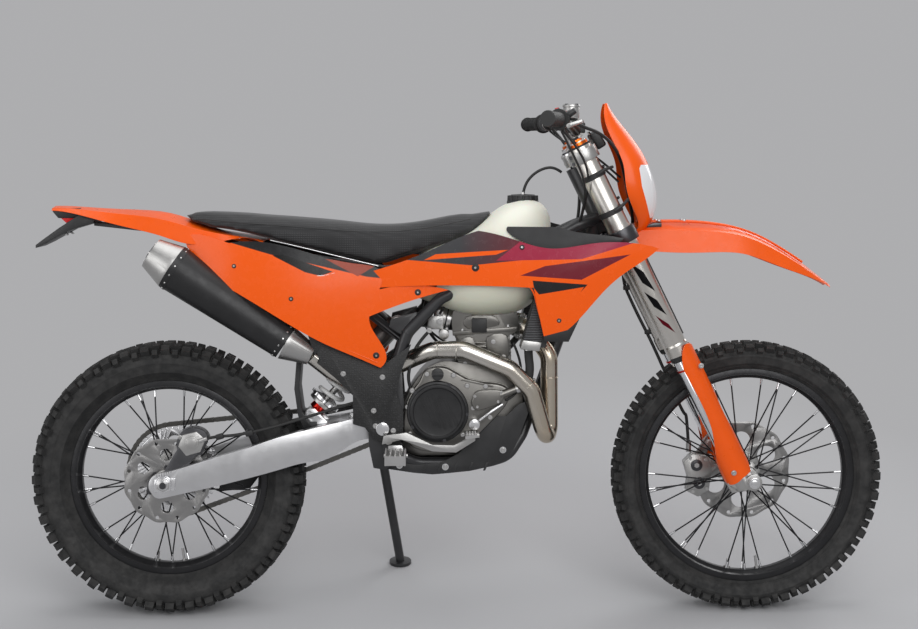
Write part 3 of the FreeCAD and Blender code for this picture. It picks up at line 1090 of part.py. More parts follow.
RADIATOR_INNER_Y = 86.0
RADIATOR_OUTER_Y = 152.0
AIRBOX_HALF_WIDTH = 62.0
TAIL_HALF_WIDTH = 40.0
PLATE_HALF_WIDTH = 56.0
SKID_HALF_WIDTH = 97.0
FLAP_HALF_WIDTH = 52.0


# Foot controls, brakes and the side stand

PEG_SHARE = (39.2, 28.4)
PEDAL_PIVOT_SHARE = (38.0, 31.1)
PEDAL_PAD_SHARE = (51.0, 31.6)
HANGER_SHARES = [(-1.4, 23.4), (2.4, 29.6), (6.0, 29.0), (1.4, 23.0)]
PEG_BRACKET_SHARES = [(37.9, 27.8), (37.4, 30.6), (39.8, 30.4), (40.6, 29.0), (40.6, 27.4)]
BRAKE_PEDAL_SHARES = [(36.9, 30.4), (40.2, 31.2), (45.4, 29.2), (49.4, 29.0), (52.6, 31.0), (52.6, 31.9), (49.0, 30.2),
                      (45.4, 30.3), (41.0, 32.4), (37.2, 31.8)]
SHIFT_LEVER_SHARES = [(43.6, 29.6), (47.0, 30.4), (51.6, 33.0), (51.4, 34.0), (46.8, 31.6), (43.6, 31.0)]
SHIFT_SHAFT_SHARE = (44.3, 30.3)
SHIFT_SHAFT_RADIUS = 8.0
SHIFT_LEVER_INNER_Y = 116.0
SHIFT_LEVER_OUTER_Y = 124.0
SHIFT_TIP_SHARE = (51.2, 33.4)
SHIFT_TIP_RADIUS = 9.0
SHIFT_TIP_END_Y = 150.0
REAR_CALIPER_SHARES = [[(2.0, 29.4), (3.0, 32.2), (5.8, 32.6), (7.4, 31.0)], [(6.2, 28.2)], [(3.4, 27.4)]]
FRONT_CALIPER_SHARES = [[(89.4, 24.6), (91.4, 26.4), (93.8, 26.2)], [(94.8, 23.8)], [(94.4, 19.6)], [(92.4, 18.4), (90.0, 19.6)]]


def caliper(outline, disc_radius, disc_y, centre, half_width):
    """Brake caliper straddling its disc with running room."""
    low = disc_y - half_width
    high = disc_y + half_width
    body = slab(outline, low, high)
    slot_half = DISC_THICKNESS / 2 + DISC_CLEARANCE
    slot = across(centre, disc_radius + DISC_CLEARANCE, disc_y - slot_half, disc_y + slot_half)
    return body.cut(slot)


def build_foot_controls(nodes):
    """Footpegs, brake pedal, shift lever and rear caliper."""
    bracket = slab(straight(PEG_BRACKET_SHARES), FRAME_GUARD_Y, FRAME_GUARD_Y + PEG_BRACKET_THICKNESS)
    plate_arm = slab(straight(PEG_BRACKET_SHARES), PIVOT_PLATE_OUTER_Y, FRAME_GUARD_Y).cut(nodes["frame_guards"])
    peg_from = at(PEG_SHARE, FRAME_GUARD_Y)
    peg = Part.makeBox(PEG_WIDTH, PEG_LENGTH, PEG_HEIGHT, peg_from - Vector(PEG_WIDTH / 2, 0, PEG_HEIGHT / 2))
    peg = fuse([peg, bracket, plate_arm]).cut([nodes["frame_cradle"], nodes["frame_guards"], nodes["swingarm_pivot"]])
    nodes["footpegs"] = pair(largest(peg))
    beside = [nodes["footpegs"], nodes["frame_guards"], nodes["frame_cradle"]]
    pedal = slab(straight(BRAKE_PEDAL_SHARES), PEDAL_OUTER_Y, PEDAL_INNER_Y)
    pad = Part.makeBox(PEDAL_PAD_LENGTH, PEDAL_PAD_WIDTH, PEDAL_PAD_HEIGHT, at(PEDAL_PAD_SHARE, PEDAL_PAD_Y))
    pivot = across(at(PEDAL_PIVOT_SHARE), PEDAL_PIVOT_RADIUS, PEDAL_OUTER_Y, -FRAME_GUARD_Y)
    nodes["brake_pedal"] = fuse([pedal, pad, pivot]).cut(beside + [nodes["clutch_cover"]])
    lever = slab(straight(SHIFT_LEVER_SHARES), SHIFT_LEVER_INNER_Y, SHIFT_LEVER_OUTER_Y)
    tip = across(at(SHIFT_TIP_SHARE), SHIFT_TIP_RADIUS, SHIFT_LEVER_INNER_Y, SHIFT_TIP_END_Y)
    shaft = across(at(SHIFT_SHAFT_SHARE), SHIFT_SHAFT_RADIUS, CASE_LEFT_Y, SHIFT_LEVER_OUTER_Y)
    nodes["shift_lever"] = fuse([lever, tip, shaft]).cut(beside + [nodes["skid_plate"]])
    rear = caliper(REAR_CALIPER_SHARES, REAR_DISC_RADIUS, REAR_DISC_OFFSET, REAR_AXLE, REAR_CALIPER_HALF_WIDTH)
    axle_bore = across(REAR_AXLE, REAR_AXLE_RADIUS, -WHEELBASE, WHEELBASE)
    hanger = slab(straight(HANGER_SHARES), HANGER_OUTER_Y, HANGER_INNER_Y).cut(axle_bore)
    ring = across(REAR_AXLE, HANGER_RING_RADIUS, HANGER_OUTER_Y, HANGER_INNER_Y).cut(axle_bore)
    nodes["rear_caliper"] = largest(fuse([rear, hanger, ring]))


def folded_stand_way():
    """Direction of the side stand's leg when it is folded back beside the swingarm."""
    rise = math.radians(STAND_FOLDED_RISE_ANGLE)
    splay = math.radians(STAND_FOLDED_SPLAY_ANGLE)
    return Vector(-math.cos(rise) * math.cos(splay), math.sin(splay), math.sin(rise) * math.cos(splay))


def stand_geometry(placement):
    """Pivot, foot and hinge axis of the side stand in the bike frame; the foot's place is on the leaned floor."""
    pivot = at(STAND_PIVOT_SHARE, STAND_PIVOT_Y)
    floor_pivot = placement.multVec(pivot)
    foot = placement.inverse().multVec(Vector(floor_pivot.x + STAND_FOOT_FORWARD, STAND_FOOT_Y, STAND_FOOT_THICKNESS))
    down = (foot - pivot).normalize()
    change = (down - folded_stand_way()).normalize()
    axis = (Y_AXIS - change * Y_AXIS.dot(change)).normalize()
    return pivot, foot, axis


def build_stand(nodes, placement):
    """Side stand: knuckle, leg and flat foot, on a bolt from the pivot plate."""
    pivot, foot, axis = stand_geometry(placement)
    up = placement.inverse().Rotation.multVec(Z_AXIS)
    half = STAND_BRACKET_THICKNESS / 2
    knuckle = rod(pivot - axis * half, pivot + axis * half, STAND_PIVOT_RADIUS)
    leg = rod(pivot + (foot - pivot).normalize() * STAND_LEG_START, foot, STAND_LEG_RADIUS)
    sole = rod(foot - up * STAND_FOOT_THICKNESS, foot, STAND_FOOT_RADIUS)
    bolt_hole = rod(pivot - axis * OVERRUN, pivot + axis * OVERRUN, STAND_BOLT_RADIUS + AXLE_RUNNING_GAP)
    stand = fuse([knuckle, leg, sole])
    floor_cut = rod(foot - up * (STAND_FOOT_THICKNESS + OVERRUN * 2), foot - up * STAND_FOOT_THICKNESS, STAND_FOOT_RADIUS * 3)
    nodes["side_stand"] = stand.cut([bolt_hole, floor_cut])
    seat = half + SEAT_GAP
    boss = rod(pivot - axis * (seat + STAND_BOSS_LENGTH), pivot - axis * seat, STAND_PIVOT_RADIUS * STAND_BOSS_SHARE)
    bolt = rod(pivot - axis * (half + STAND_BOLT_SINK), pivot + axis * seat, STAND_BOLT_RADIUS)
    head = rod(pivot + axis * seat, pivot + axis * (seat + STAND_HEAD_HEIGHT), STAND_BOLT_RADIUS * STAND_HEAD_SHARE)
    mount = fuse([boss, bolt, head]).cut([nodes["frame_cradle"], nodes["frame_guards"], nodes["footpegs"]])
    nodes["stand_bracket"] = largest(mount)


# Steering: clamps, fork, handlebar, lamp and front fender

GUARD_SHARES = [[(88.8, 47.2), (89.3, 47.0), (93.7, 37.9), (96.4, 32.6), (99.2, 26.7), (99.4, 25.4)], [(97.9, 24.4)],
                [(95.3, 23.4), (94.5, 25.0), (93.6, 27.7), (92.6, 32.6), (91.2, 36.2), (87.7, 42.8)], [(87.4, 44.3)]]
MASK_SECTIONS = [(87.6, 75.4, 74.8, 1.8), (85.0, 77.0, 74.6, 3.4), (81.8, 79.6, 75.6, 4.6), (77.0, 82.5, 77.6, 6.2),
                 (72.0, 83.9, 78.4, 6.4), (68.4, 83.4, 80.0, 5.2), (65.8, 81.4, 80.0, 3.6)]
LENS_SHARES = [(80.6, 77.2), (80.3, 76.6), (80.7, 73.7), (81.7, 70.6), (82.4, 68.2), (90.0, 68.0), (90.0, 77.2)]
LENS_HALF_WIDTH = 66.0
TONGUE_SHARES = [(76.0, 63.6), (78.6, 66.0), (84.6, 67.6), (84.6, 65.4), (79.6, 62.6)]
FOOT_WEB_SHARES = [(95.6, 23.0), (96.4, 21.6), (98.6, 21.9), (101.0, 23.0), (99.4, 25.2), (96.6, 27.4)]
CALIPER_ARM_SHARES = [(91.4, 20.6), (96.6, 22.2), (97.4, 26.6), (92.4, 25.6)]
CLAMP_PLAN_SHARES = [(-0.2, 0.3), (-0.1, 0.9), (1.4462, 0.9), (0.9, 0.0)]
LEVER_SHARES = ((67.6, 84.8), (69.2, 84.2), (66.6, 83.4))


def legs(shape_at):
    """A piece on both fork legs."""
    return [shape_at(side * FORK_HALF_SPACING) for side in (-1, 1)]


def leg_rod(height_from, height_to, radius, y, forward=None):
    """Round bar along a fork leg."""
    place = CLAMP_OFFSET if forward is None else forward
    return rod(on_fork(height_from, place, y), on_fork(height_to, place, y), radius)


def clamp(height, thickness, ring_radius):
    """Triple clamp: a waisted plate with a ring round each leg."""
    low = height - thickness / 2
    high = height + thickness / 2
    rings = legs(lambda y: leg_rod(low, high, ring_radius, y))
    stem = rod(on_fork(low), on_fork(high), STEM_RADIUS + CLAMP_WALL)
    points = []
    for forward, share in CLAMP_PLAN_SHARES:
        points.append(on_fork(low, forward * CLAMP_HALF_DEPTH, share * FORK_HALF_SPACING))
    for forward, share in reversed(CLAMP_PLAN_SHARES[:3]):
        points.append(on_fork(low, forward * CLAMP_HALF_DEPTH, -share * FORK_HALF_SPACING))
    web = Part.Face(Part.makePolygon(points + [points[0]])).extrude(FORK_UP * thickness)
    return fuse(rings + [stem, web])


def build_steering(nodes):
    """Clamps with the stem, fork legs, guards, axle, handlebar, controls, lamp and fender."""
    outers = []
    for y in (-FORK_HALF_SPACING, FORK_HALF_SPACING):
        outer = leg_rod(FORK_OUTER_BOTTOM, FORK_TOP, FORK_OUTER_RADIUS, y)
        bore = leg_rod(FORK_OUTER_BOTTOM - OVERRUN, FORK_TOP - FORK_INNER_RADIUS, FORK_INNER_RADIUS, y)
        cap = leg_rod(FORK_TOP, FORK_TOP + FORK_CAP_HEIGHT, FORK_CAP_RADIUS, y)
        outers.append(fuse([outer, cap]).cut(bore))
    nodes["fork_outer_tubes"] = Part.makeCompound(outers)
    top = UPPER_CLAMP_HEIGHT + UPPER_CLAMP_THICKNESS / 2
    stem = rod(on_fork(LOWER_CLAMP_HEIGHT), on_fork(top + STEM_NUT_HEIGHT), STEM_RADIUS)
    nut = rod(on_fork(top), on_fork(top + STEM_NUT_HEIGHT), STEM_NUT_RADIUS)
    leg_bores = legs(lambda y: leg_rod(LOWER_CLAMP_HEIGHT - OVERRUN * 2, FORK_TOP, FORK_OUTER_RADIUS, y))
    lower = clamp(LOWER_CLAMP_HEIGHT, LOWER_CLAMP_THICKNESS, FORK_OUTER_RADIUS + CLAMP_WALL)
    tongue = slab(straight(TONGUE_SHARES), -TONGUE_HALF_WIDTH, TONGUE_HALF_WIDTH)
    fender = channel(FRONT_FENDER_ROWS, FENDER_THICKNESS, lambda x, y, z: at3((x, y, z)))
    lower = fuse([lower, stem, nut, tongue]).cut(leg_bores + [fender, above_fender()])
    nodes["lower_clamp"] = largest(lower)
    upper = clamp(UPPER_CLAMP_HEIGHT, UPPER_CLAMP_THICKNESS, FORK_OUTER_RADIUS + CLAMP_WALL).cut(leg_bores + [nodes["lower_clamp"]])
    risers = []
    bar_mid = at(BAR_CLAMP_SHARE)
    for side in (-1, 1):
        y = side * RISER_HALF_SPACING
        risers.append(rod(on_fork(top, RISER_FORWARD, y), Vector(bar_mid.x, y, bar_mid.z), RISER_RADIUS))
        risers.append(across(bar_mid, RISER_CLAMP_RADIUS, y - RISER_CLAMP_WIDTH / 2, y + RISER_CLAMP_WIDTH / 2))
    bar = handlebar()
    nodes["upper_clamp"] = largest(fuse([upper] + risers).cut(bar))
    nodes["handlebar"] = bar
    inner_from, inner_to = FOOT_TOP * 0.3, FORK_TOP - FORK_INNER_RADIUS
    inners = legs(lambda y: leg_rod(inner_from, inner_to - OVERRUN, FORK_INNER_RADIUS, y))
    nodes["fork_inner_tubes"] = Part.makeCompound(inners)
    feet = []
    axle_bore = across(FRONT_AXLE, FRONT_AXLE_RADIUS, -WHEELBASE, WHEELBASE)
    for y, inner in zip((-FORK_HALF_SPACING, FORK_HALF_SPACING), inners):
        sleeve = leg_rod(-FOOT_DROP, FOOT_TOP, FOOT_RADIUS, y)
        boss = across(FRONT_AXLE, FOOT_BOSS_RADIUS, y - FOOT_RADIUS, y + FOOT_RADIUS)
        web = slab(straight(FOOT_WEB_SHARES), y - FOOT_HALF_WIDTH, y + FOOT_HALF_WIDTH)
        feet.append(fuse([sleeve, boss, web]).cut([inner, axle_bore]))
    nodes["fork_feet"] = Part.makeCompound([largest(f) for f in feet])
    axle = across(FRONT_AXLE, FRONT_AXLE_RADIUS, -FRONT_AXLE_HALF_LENGTH, FRONT_AXLE_HALF_LENGTH)
    head_end = FRONT_AXLE_HALF_LENGTH + FRONT_AXLE_HEAD_LENGTH
    ends = [across(FRONT_AXLE, FRONT_AXLE_HEAD_RADIUS, s * FRONT_AXLE_HALF_LENGTH, s * head_end) for s in (-1, 1)]
    nodes["front_axle"] = fuse([axle] + ends)
    guards = []
    region = slab(GUARD_SHARES, -WHEELBASE, WHEELBASE)
    for y in (-FORK_HALF_SPACING, FORK_HALF_SPACING):
        inside = leg_rod(-OVERRUN, GUARD_TOP + OVERRUN, GUARD_RADIUS - GUARD_THICKNESS, y)
        shell = leg_rod(0, GUARD_TOP, GUARD_RADIUS, y).cut(inside).common(region)
        guards.append(largest(shell.cut([nodes["fork_feet"], nodes["fork_outer_tubes"], nodes["front_axle"]])))
    nodes["fork_guards"] = Part.makeCompound(guards)
    front_caliper = caliper(FRONT_CALIPER_SHARES, FRONT_DISC_RADIUS, FRONT_DISC_OFFSET, FRONT_AXLE, FRONT_CALIPER_HALF_WIDTH)
    arm = slab(straight(CALIPER_ARM_SHARES), FRONT_DISC_OFFSET + CALIPER_ARM_STEP, FORK_HALF_SPACING - CALIPER_ARM_SINK)
    disc_side = FRONT_DISC_OFFSET + DISC_THICKNESS / 2 + DISC_CLEARANCE
    arm = arm.cut(across(FRONT_AXLE, FRONT_DISC_RADIUS + DISC_CLEARANCE, 0, disc_side))
    leg_parts = [nodes["fork_feet"], nodes["fork_inner_tubes"], nodes["fork_guards"], nodes["front_axle"]]
    nodes["front_caliper"] = largest(fuse([front_caliper, arm]).cut(leg_parts))
    nodes["front_fender"] = fender
    build_controls(nodes, bar)
    build_mask(nodes)


FRONT_AXLE_HALF_LENGTH = 128.0


def above_fender():
    """Space over the front fender's crown, kept clear of the clamp's tongue."""
    rows = [(row[0], row[1]) for row in FRONT_FENDER_ROWS]
    outline = [(x, z - FENDER_THICKNESS / HUNDREDTH * 0.5) for x, z in rows[:3]] + [(rows[2][0], 75.0), (rows[0][0], 75.0)]
    return slab(straight(outline), -WHEELBASE, WHEELBASE)


def handlebar():
    """Bent handlebar tube."""
    mid = at(BAR_CLAMP_SHARE)
    bend = at(BAR_BEND_SHARE)
    inner = at(GRIP_INNER_SHARE)
    end = at(GRIP_END_SHARE)
    points = [Vector(end.x, BAR_HALF_WIDTH, end.z), Vector(inner.x, GRIP_INNER_Y, inner.z), Vector(bend.x, BAR_BEND_Y, bend.z),
              Vector(mid.x, BAR_STRAIGHT_Y + BAR_BEND_LEAD, mid.z)]
    path = points + [Vector(p.x, -p.y, p.z) for p in reversed(points)]
    return tube(path, BAR_RADIUS, BAR_BEND_RADIUS)


def build_controls(nodes, bar):
    """Grips, lever perches with levers, and the front brake's reservoir."""
    inner = at(GRIP_INNER_SHARE)
    end = at(GRIP_END_SHARE)
    start = Vector(inner.x, GRIP_INNER_Y, inner.z)
    stop = Vector(end.x, BAR_HALF_WIDTH, end.z)
    way = (stop - start).normalize()
    flange = rod(start, start + way * GRIP_FLANGE_THICKNESS, GRIP_FLANGE_RADIUS)
    grip = fuse([rod(start, stop + way * GRIP_OVERHANG, GRIP_RADIUS), flange]).cut(bar)
    nodes["grips"] = pair(largest(grip))
    perch = rod(start - way * (PERCH_WIDTH + PERCH_GAP), start - way * PERCH_GAP, PERCH_RADIUS)
    lever_root = at(LEVER_SHARES[0], GRIP_INNER_Y - LEVER_ROOT_INSET)
    lever_bend = at(LEVER_SHARES[1], GRIP_INNER_Y + LEVER_BEND_REACH)
    lever_tip = at(LEVER_SHARES[2], GRIP_INNER_Y + LEVER_TIP_REACH)
    blade = tube([lever_root, lever_bend, lever_tip], LEVER_RADIUS, LEVER_BEND_RADIUS)
    nodes["lever_perches"] = pair(largest(perch.cut(bar)))
    nodes["levers"] = pair(largest(blade.cut([perch, grip, bar])))
    centre = at(RESERVOIR_SHARE, -RESERVOIR_Y)
    reservoir = rod(centre, centre + Z_AXIS * RESERVOIR_HEIGHT, RESERVOIR_RADIUS)
    nodes["brake_reservoir"] = largest(reservoir.cut([bar, mirrored(perch), mirrored(grip), mirrored(blade)]))


RESERVOIR_SHARE = (68.0, 84.6)
RESERVOIR_Y = 218.0


MASK_SIDE_SHARES = [(0.0, 1.0), (0.62, 0.86), (0.92, 0.5), (1.0, 0.0)]


def mask_curve(section, inset):
    """Plan curve of the headlight mask at one height, drawn in by an inset."""
    z, front, back, half = section
    step = inset / HUNDREDTH
    side = [(back + (front - step - back) * run, (half - step) * width) for run, width in MASK_SIDE_SHARES]
    ring = side + [(x, -y) for x, y in reversed(side[:-1])]
    curve = Part.BSplineCurve()
    curve.interpolate([at3((x, y, z)) for x, y in ring])
    return curve


def mask_body():
    """Headlight mask's filled form."""
    wires = []
    for section in MASK_SECTIONS:
        curve = mask_curve(section, 0)
        wires.append(Part.Wire([curve.toShape(), Part.LineSegment(curve.EndPoint, curve.StartPoint).toShape()]))
    return Part.makeLoft(wires, True)


def mask_shell():
    """Headlight mask's bowed sheet."""
    wires = []
    for section in MASK_SECTIONS:
        outer = mask_curve(section, 0)
        inner = mask_curve(section, PANEL_THICKNESS)
        wires.append(Part.Wire([outer.toShape(), Part.LineSegment(outer.EndPoint, inner.EndPoint).toShape(), inner.toShape(),
                                Part.LineSegment(inner.StartPoint, outer.StartPoint).toShape()]))
    return Part.makeLoft(wires, True)


def build_mask(nodes):
    """Headlight mask, its lens and the bands that hold it to the fork."""
    outer = mask_body()
    lens_room = slab(straight(LENS_SHARES), -LENS_HALF_WIDTH, LENS_HALF_WIDTH)
    below = [nodes["front_fender"], nodes["lower_clamp"]]
    lens = outer.common(lens_room).cut(below)
    shell = mask_shell().cut([lens_room] + below)
    bands = []
    for height in (LOWER_BAND_HEIGHT, UPPER_BAND_HEIGHT):
        for y in (-FORK_HALF_SPACING, FORK_HALF_SPACING):
            ring = leg_rod(height - BAND_RADIUS, height + BAND_RADIUS, FORK_OUTER_RADIUS + BAND_THICKNESS, y)
            bands.append(ring)
        ahead = CLAMP_OFFSET + BAND_FORWARD
        bands.append(rod(on_fork(height, ahead, -FORK_HALF_SPACING), on_fork(height, ahead, FORK_HALF_SPACING), BAND_RADIUS))
        bands.append(rod(on_fork(height, ahead), on_fork(height, CLAMP_OFFSET + STAY_FORWARD), STAY_RADIUS))
    tubes = legs(lambda y: leg_rod(FORK_OUTER_BOTTOM, FORK_TOP, FORK_OUTER_RADIUS, y))
    housing = slab(straight(LAMP_HOUSING_SHARES), -LAMP_HALF_WIDTH, LAMP_HALF_WIDTH)
    holder = fuse(bands + [housing]).cut(tubes + [lens, shell])
    nodes["headlight_mask"] = largest(shell)
    nodes["headlight_lens"] = largest(lens)
    nodes["lamp_holder"] = largest(holder)


BAND_RADIUS = 9.0
BAND_THICKNESS = 4.0
BAND_FORWARD = 20.0
STAY_FORWARD = 62.0
STAY_RADIUS = 20.0
LOWER_BAND_HEIGHT = 764.0
UPPER_BAND_HEIGHT = 872.0
LAMP_HOUSING_SHARES = [(78.4, 76.0), (80.9, 76.0), (81.6, 69.4), (80.6, 69.4)]
LAMP_HALF_WIDTH = 56.0


# Lean and export

def lean_placement(tyres):
    """Placement that leans the upright machine to its left and sets both tyres on the floor."""
    lean = Placement(ORIGIN, Rotation(X_AXIS, -LEAN_ANGLE))
    lows = []
    for shape in tyres:
        copy = shape.copy()
        copy.Placement = lean.multiply(copy.Placement)
        lows.append(copy.optimalBoundingBox(False).ZMin)
    rear_low, front_low = lows
    pitch = math.degrees(math.atan2(front_low - rear_low, WHEELBASE))
    level = Placement(Vector(0, 0, -rear_low), Rotation(Y_AXIS, pitch))
    return level.multiply(lean)


def joined(nodes, name, parts, weld=True):
    """Puts several nodes into one, welded where they meet or else side by side."""
    shapes = [nodes.pop(part) for part in parts]
    nodes[name] = fuse(shapes) if weld else Part.makeCompound([solid for shape in shapes for solid in shape.Solids])


def centred(nodes, placement):
    """Placement moved so that the floor point under the middle of the parked machine is the origin."""
    box = FreeCAD.BoundBox()
    for shape in nodes.values():
        copy = shape.copy()
        copy.Placement = placement.multiply(copy.Placement)
        box.add(copy.optimalBoundingBox(False))
    return Placement(Vector(-box.Center.x, -box.Center.y, 0), Rotation()).multiply(placement)


def build():
    """All nodes in the bike frame, and the placement that parks the machine."""
    nodes = {}
    nodes.update(front_wheel())
    nodes.update(rear_wheel())
    placement = lean_placement([nodes["rear_tyre"], nodes["front_tyre"]])
    nodes["chain"] = chain()
    build_frame(nodes)
    build_rear_suspension(nodes)
    build_engine(nodes)
    build_silencer(nodes)
    build_body(nodes)
    build_foot_controls(nodes)
    build_stand(nodes, placement)
    build_steering(nodes)
    joined(nodes, "chassis_axles", ["swingarm_pivot", "rear_axle"], weld=False)
    joined(nodes, "engine_covers", ["engine_side_cover", "ignition_cover"], weld=False)
    joined(nodes, "cylinder", ["cylinder", "cylinder_head"])
    joined(nodes, "intake", ["airbox", "throttle_body"])
    joined(nodes, "chain_drive", ["chain", "countershaft"], weld=False)
    joined(nodes, "foot_levers", ["brake_pedal", "shift_lever"], weld=False)
    joined(nodes, "frame", ["frame_main", "frame_cradle", "stand_bracket"])
    joined(nodes, "rear_trim", ["plate_holder", "mud_flap"], weld=False)
    joined(nodes, "fork_feet", ["fork_feet", "front_axle"])
    joined(nodes, "bar_controls", ["lever_perches", "levers", "brake_reservoir"])
    return nodes, centred(nodes, placement)


def main():
    nodes, placement = build()
    os.makedirs("parts", exist_ok=True)
    for name, shape in nodes.items():
        shape.Placement = placement.multiply(shape.Placement)
        shape.exportStep(os.path.join("parts", name + ".step"))
        print(name, shape.isValid(), len(shape.Solids), round(shape.Volume / 1e6, 3))


if __name__ == "__main__":
    main()
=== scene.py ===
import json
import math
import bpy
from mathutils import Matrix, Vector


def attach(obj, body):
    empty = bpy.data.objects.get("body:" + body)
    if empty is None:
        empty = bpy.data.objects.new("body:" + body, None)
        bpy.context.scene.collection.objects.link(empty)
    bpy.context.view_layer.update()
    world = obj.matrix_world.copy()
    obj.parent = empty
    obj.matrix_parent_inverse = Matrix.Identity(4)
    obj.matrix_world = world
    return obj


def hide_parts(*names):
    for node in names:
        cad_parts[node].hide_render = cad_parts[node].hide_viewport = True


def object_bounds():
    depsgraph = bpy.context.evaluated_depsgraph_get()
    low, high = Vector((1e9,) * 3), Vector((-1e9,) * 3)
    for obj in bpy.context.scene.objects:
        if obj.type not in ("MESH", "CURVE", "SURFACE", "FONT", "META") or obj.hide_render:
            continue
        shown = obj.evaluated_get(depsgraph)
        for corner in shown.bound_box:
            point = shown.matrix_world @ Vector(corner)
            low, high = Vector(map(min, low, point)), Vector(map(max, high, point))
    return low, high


bl_info = {
    "name": "Enduro Motorcycle",
    "version": (1, 0, 0),
    "blender": (4, 5, 0),
    "location": "View3D > Sidebar > Motorcycle",
    "description": "Dresses the motorcycle's frame with its wheels, engine, body panels and controls",
    "category": "Object",
}

from contextlib import contextmanager
from functools import partial

import bpy
from mathutils import Matrix, Quaternion, Vector

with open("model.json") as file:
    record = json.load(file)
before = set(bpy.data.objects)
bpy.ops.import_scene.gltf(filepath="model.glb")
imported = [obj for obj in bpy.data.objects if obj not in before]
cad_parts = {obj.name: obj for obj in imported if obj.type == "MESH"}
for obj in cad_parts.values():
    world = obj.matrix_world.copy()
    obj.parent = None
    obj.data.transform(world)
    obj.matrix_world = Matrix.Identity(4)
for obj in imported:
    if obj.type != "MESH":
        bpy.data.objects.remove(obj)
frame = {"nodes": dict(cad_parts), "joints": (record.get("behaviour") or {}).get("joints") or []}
CAD_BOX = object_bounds()
NODES = frame["nodes"]
JOINTS = {joint["name"]: joint for joint in frame["joints"]}

# The bike frame: x forward from the rear axle, y to the rider's left, z up, upright before the machine leans.
# Shares are hundredths of the wheelbase in the side view. Other sizes are millimetres of a 1485 mm wheelbase.
REAR_AXLE_PLACE = Vector(JOINTS["rear_wheel_spin"]["pos_m"])
FRONT_AXLE_PLACE = Vector(JOINTS["front_wheel_spin"]["pos_m"])
LEFTWARD = Vector(JOINTS["rear_wheel_spin"]["axis"]).normalized()
FORWARD = (FRONT_AXLE_PLACE - REAR_AXLE_PLACE).normalized()
UPWARD = FORWARD.cross(LEFTWARD)
WHEELBASE = (FRONT_AXLE_PLACE - REAR_AXLE_PLACE).length
HUNDREDTH = WHEELBASE / 100
MM = WHEELBASE / 1485
SHARE_IN_MM = HUNDREDTH / MM
TYRE_RADIUS = 348 * MM
BIKE = Matrix((FORWARD, LEFTWARD, UPWARD)).transposed().to_4x4()
BIKE.translation = REAR_AXLE_PLACE - UPWARD * TYRE_RADIUS

X_AXIS, Y_AXIS, Z_AXIS = (row.copy() for row in Matrix.Identity(3))
SIDES = (-1, 1)
TURN = 2 * math.pi
REAR = Vector((0, 0, TYRE_RADIUS))
FRONT = Vector((WHEELBASE, 0, TYRE_RADIUS))
RAKE = math.radians(26.3)
FORK_UP = Vector((-math.sin(RAKE), 0, math.cos(RAKE)))
FORK_FORWARD = Vector((math.cos(RAKE), 0, math.sin(RAKE)))
STEERING_FOOT = FRONT - FORK_FORWARD * 47 * MM
SMALLEST_STEP = 0.00001
END_COSINE = 0.99
SHARP_EDGE = math.radians(40)
FLAT_EDGE = math.radians(0.4)


def at(x, z, y=0):
    """Point from its side-view shares and a distance in millimetres to the left."""
    return Vector((x * HUNDREDTH, y * MM, z * HUNDREDTH))


def mm(x=0, y=0, z=0):
    """Step in millimetres."""
    return Vector((x, y, z)) * MM


def on_fork(height, forward=0, y=0):
    """Point beside the steering axis: up it from the front axle, forward of it and to the left."""
    return STEERING_FOOT + (FORK_UP * height + FORK_FORWARD * forward + Y_AXIS * y) * MM


# Modelling helpers

def only(*pieces):
    """Selects these pieces alone and makes the first one active."""
    bpy.ops.object.select_all(action="DESELECT")
    for piece in pieces:
        piece.select_set(True)
    bpy.context.view_layer.objects.active = pieces[0]


@contextmanager
def editing(action="SELECT", mode=None):
    """Edit mode on the active piece, with all of it selected or not."""
    bpy.ops.object.mode_set(mode="EDIT")
    if mode:
        bpy.ops.mesh.select_mode(type=mode)
    if action:
        bpy.ops.mesh.select_all(action=action)
    yield
    bpy.ops.object.mode_set(mode="OBJECT")


def linked(name, mesh):
    """New object with a copy of a mesh."""
    piece = bpy.data.objects.new(name, mesh.copy())
    bpy.context.scene.collection.objects.link(piece)
    return piece


def applied(piece, kind, **settings):
    """Adds a modifier to a piece and applies it."""
    only(piece)
    modifier = piece.modifiers.new(kind.title(), kind)
    for key, value in settings.items():
        setattr(modifier, key, value)
    bpy.ops.object.modifier_apply(modifier=modifier.name)
    return piece


def smooth(piece, angle=35):
    """Shades a piece smooth below an edge angle."""
    only(piece)
    bpy.ops.object.shade_smooth_by_angle(angle=math.radians(angle))
    return piece


def merged(piece, distance=SMALLEST_STEP):
    """Welds doubled vertices and turns all faces outward."""
    only(piece)
    with editing():
        bpy.ops.mesh.remove_doubles(threshold=distance)
        bpy.ops.mesh.normals_make_consistent(inside=False)
    return piece


def joined(pieces):
    """Joins pieces into one; a single piece stays as it is."""
    if isinstance(pieces, bpy.types.Object):
        return pieces
    pieces = list(pieces)
    only(*pieces)
    if len(pieces) > 1:
        bpy.ops.object.join()
    return bpy.context.view_layer.objects.active


def rounded(pieces, width, segments=2):
    """Rounds the sharp edges of a piece or of several that become one."""
    return applied(joined(pieces), "BEVEL", width=width * MM, segments=segments, limit_method="ANGLE",
        angle_limit=SHARP_EDGE, miter_outer="MITER_ARC")


def spread(master, places):
    """Copies a piece to a list of places and joins the copies."""
    copies = []
    for place in places:
        copy = linked("copy", master.data)
        copy.matrix_world = place @ master.matrix_world
        copies.append(copy)
    bpy.data.objects.remove(master)
    return joined(copies)


def upright(way):
    """Turn that takes the z axis to a way."""
    return way.to_track_quat("Z", "Y").to_euler()


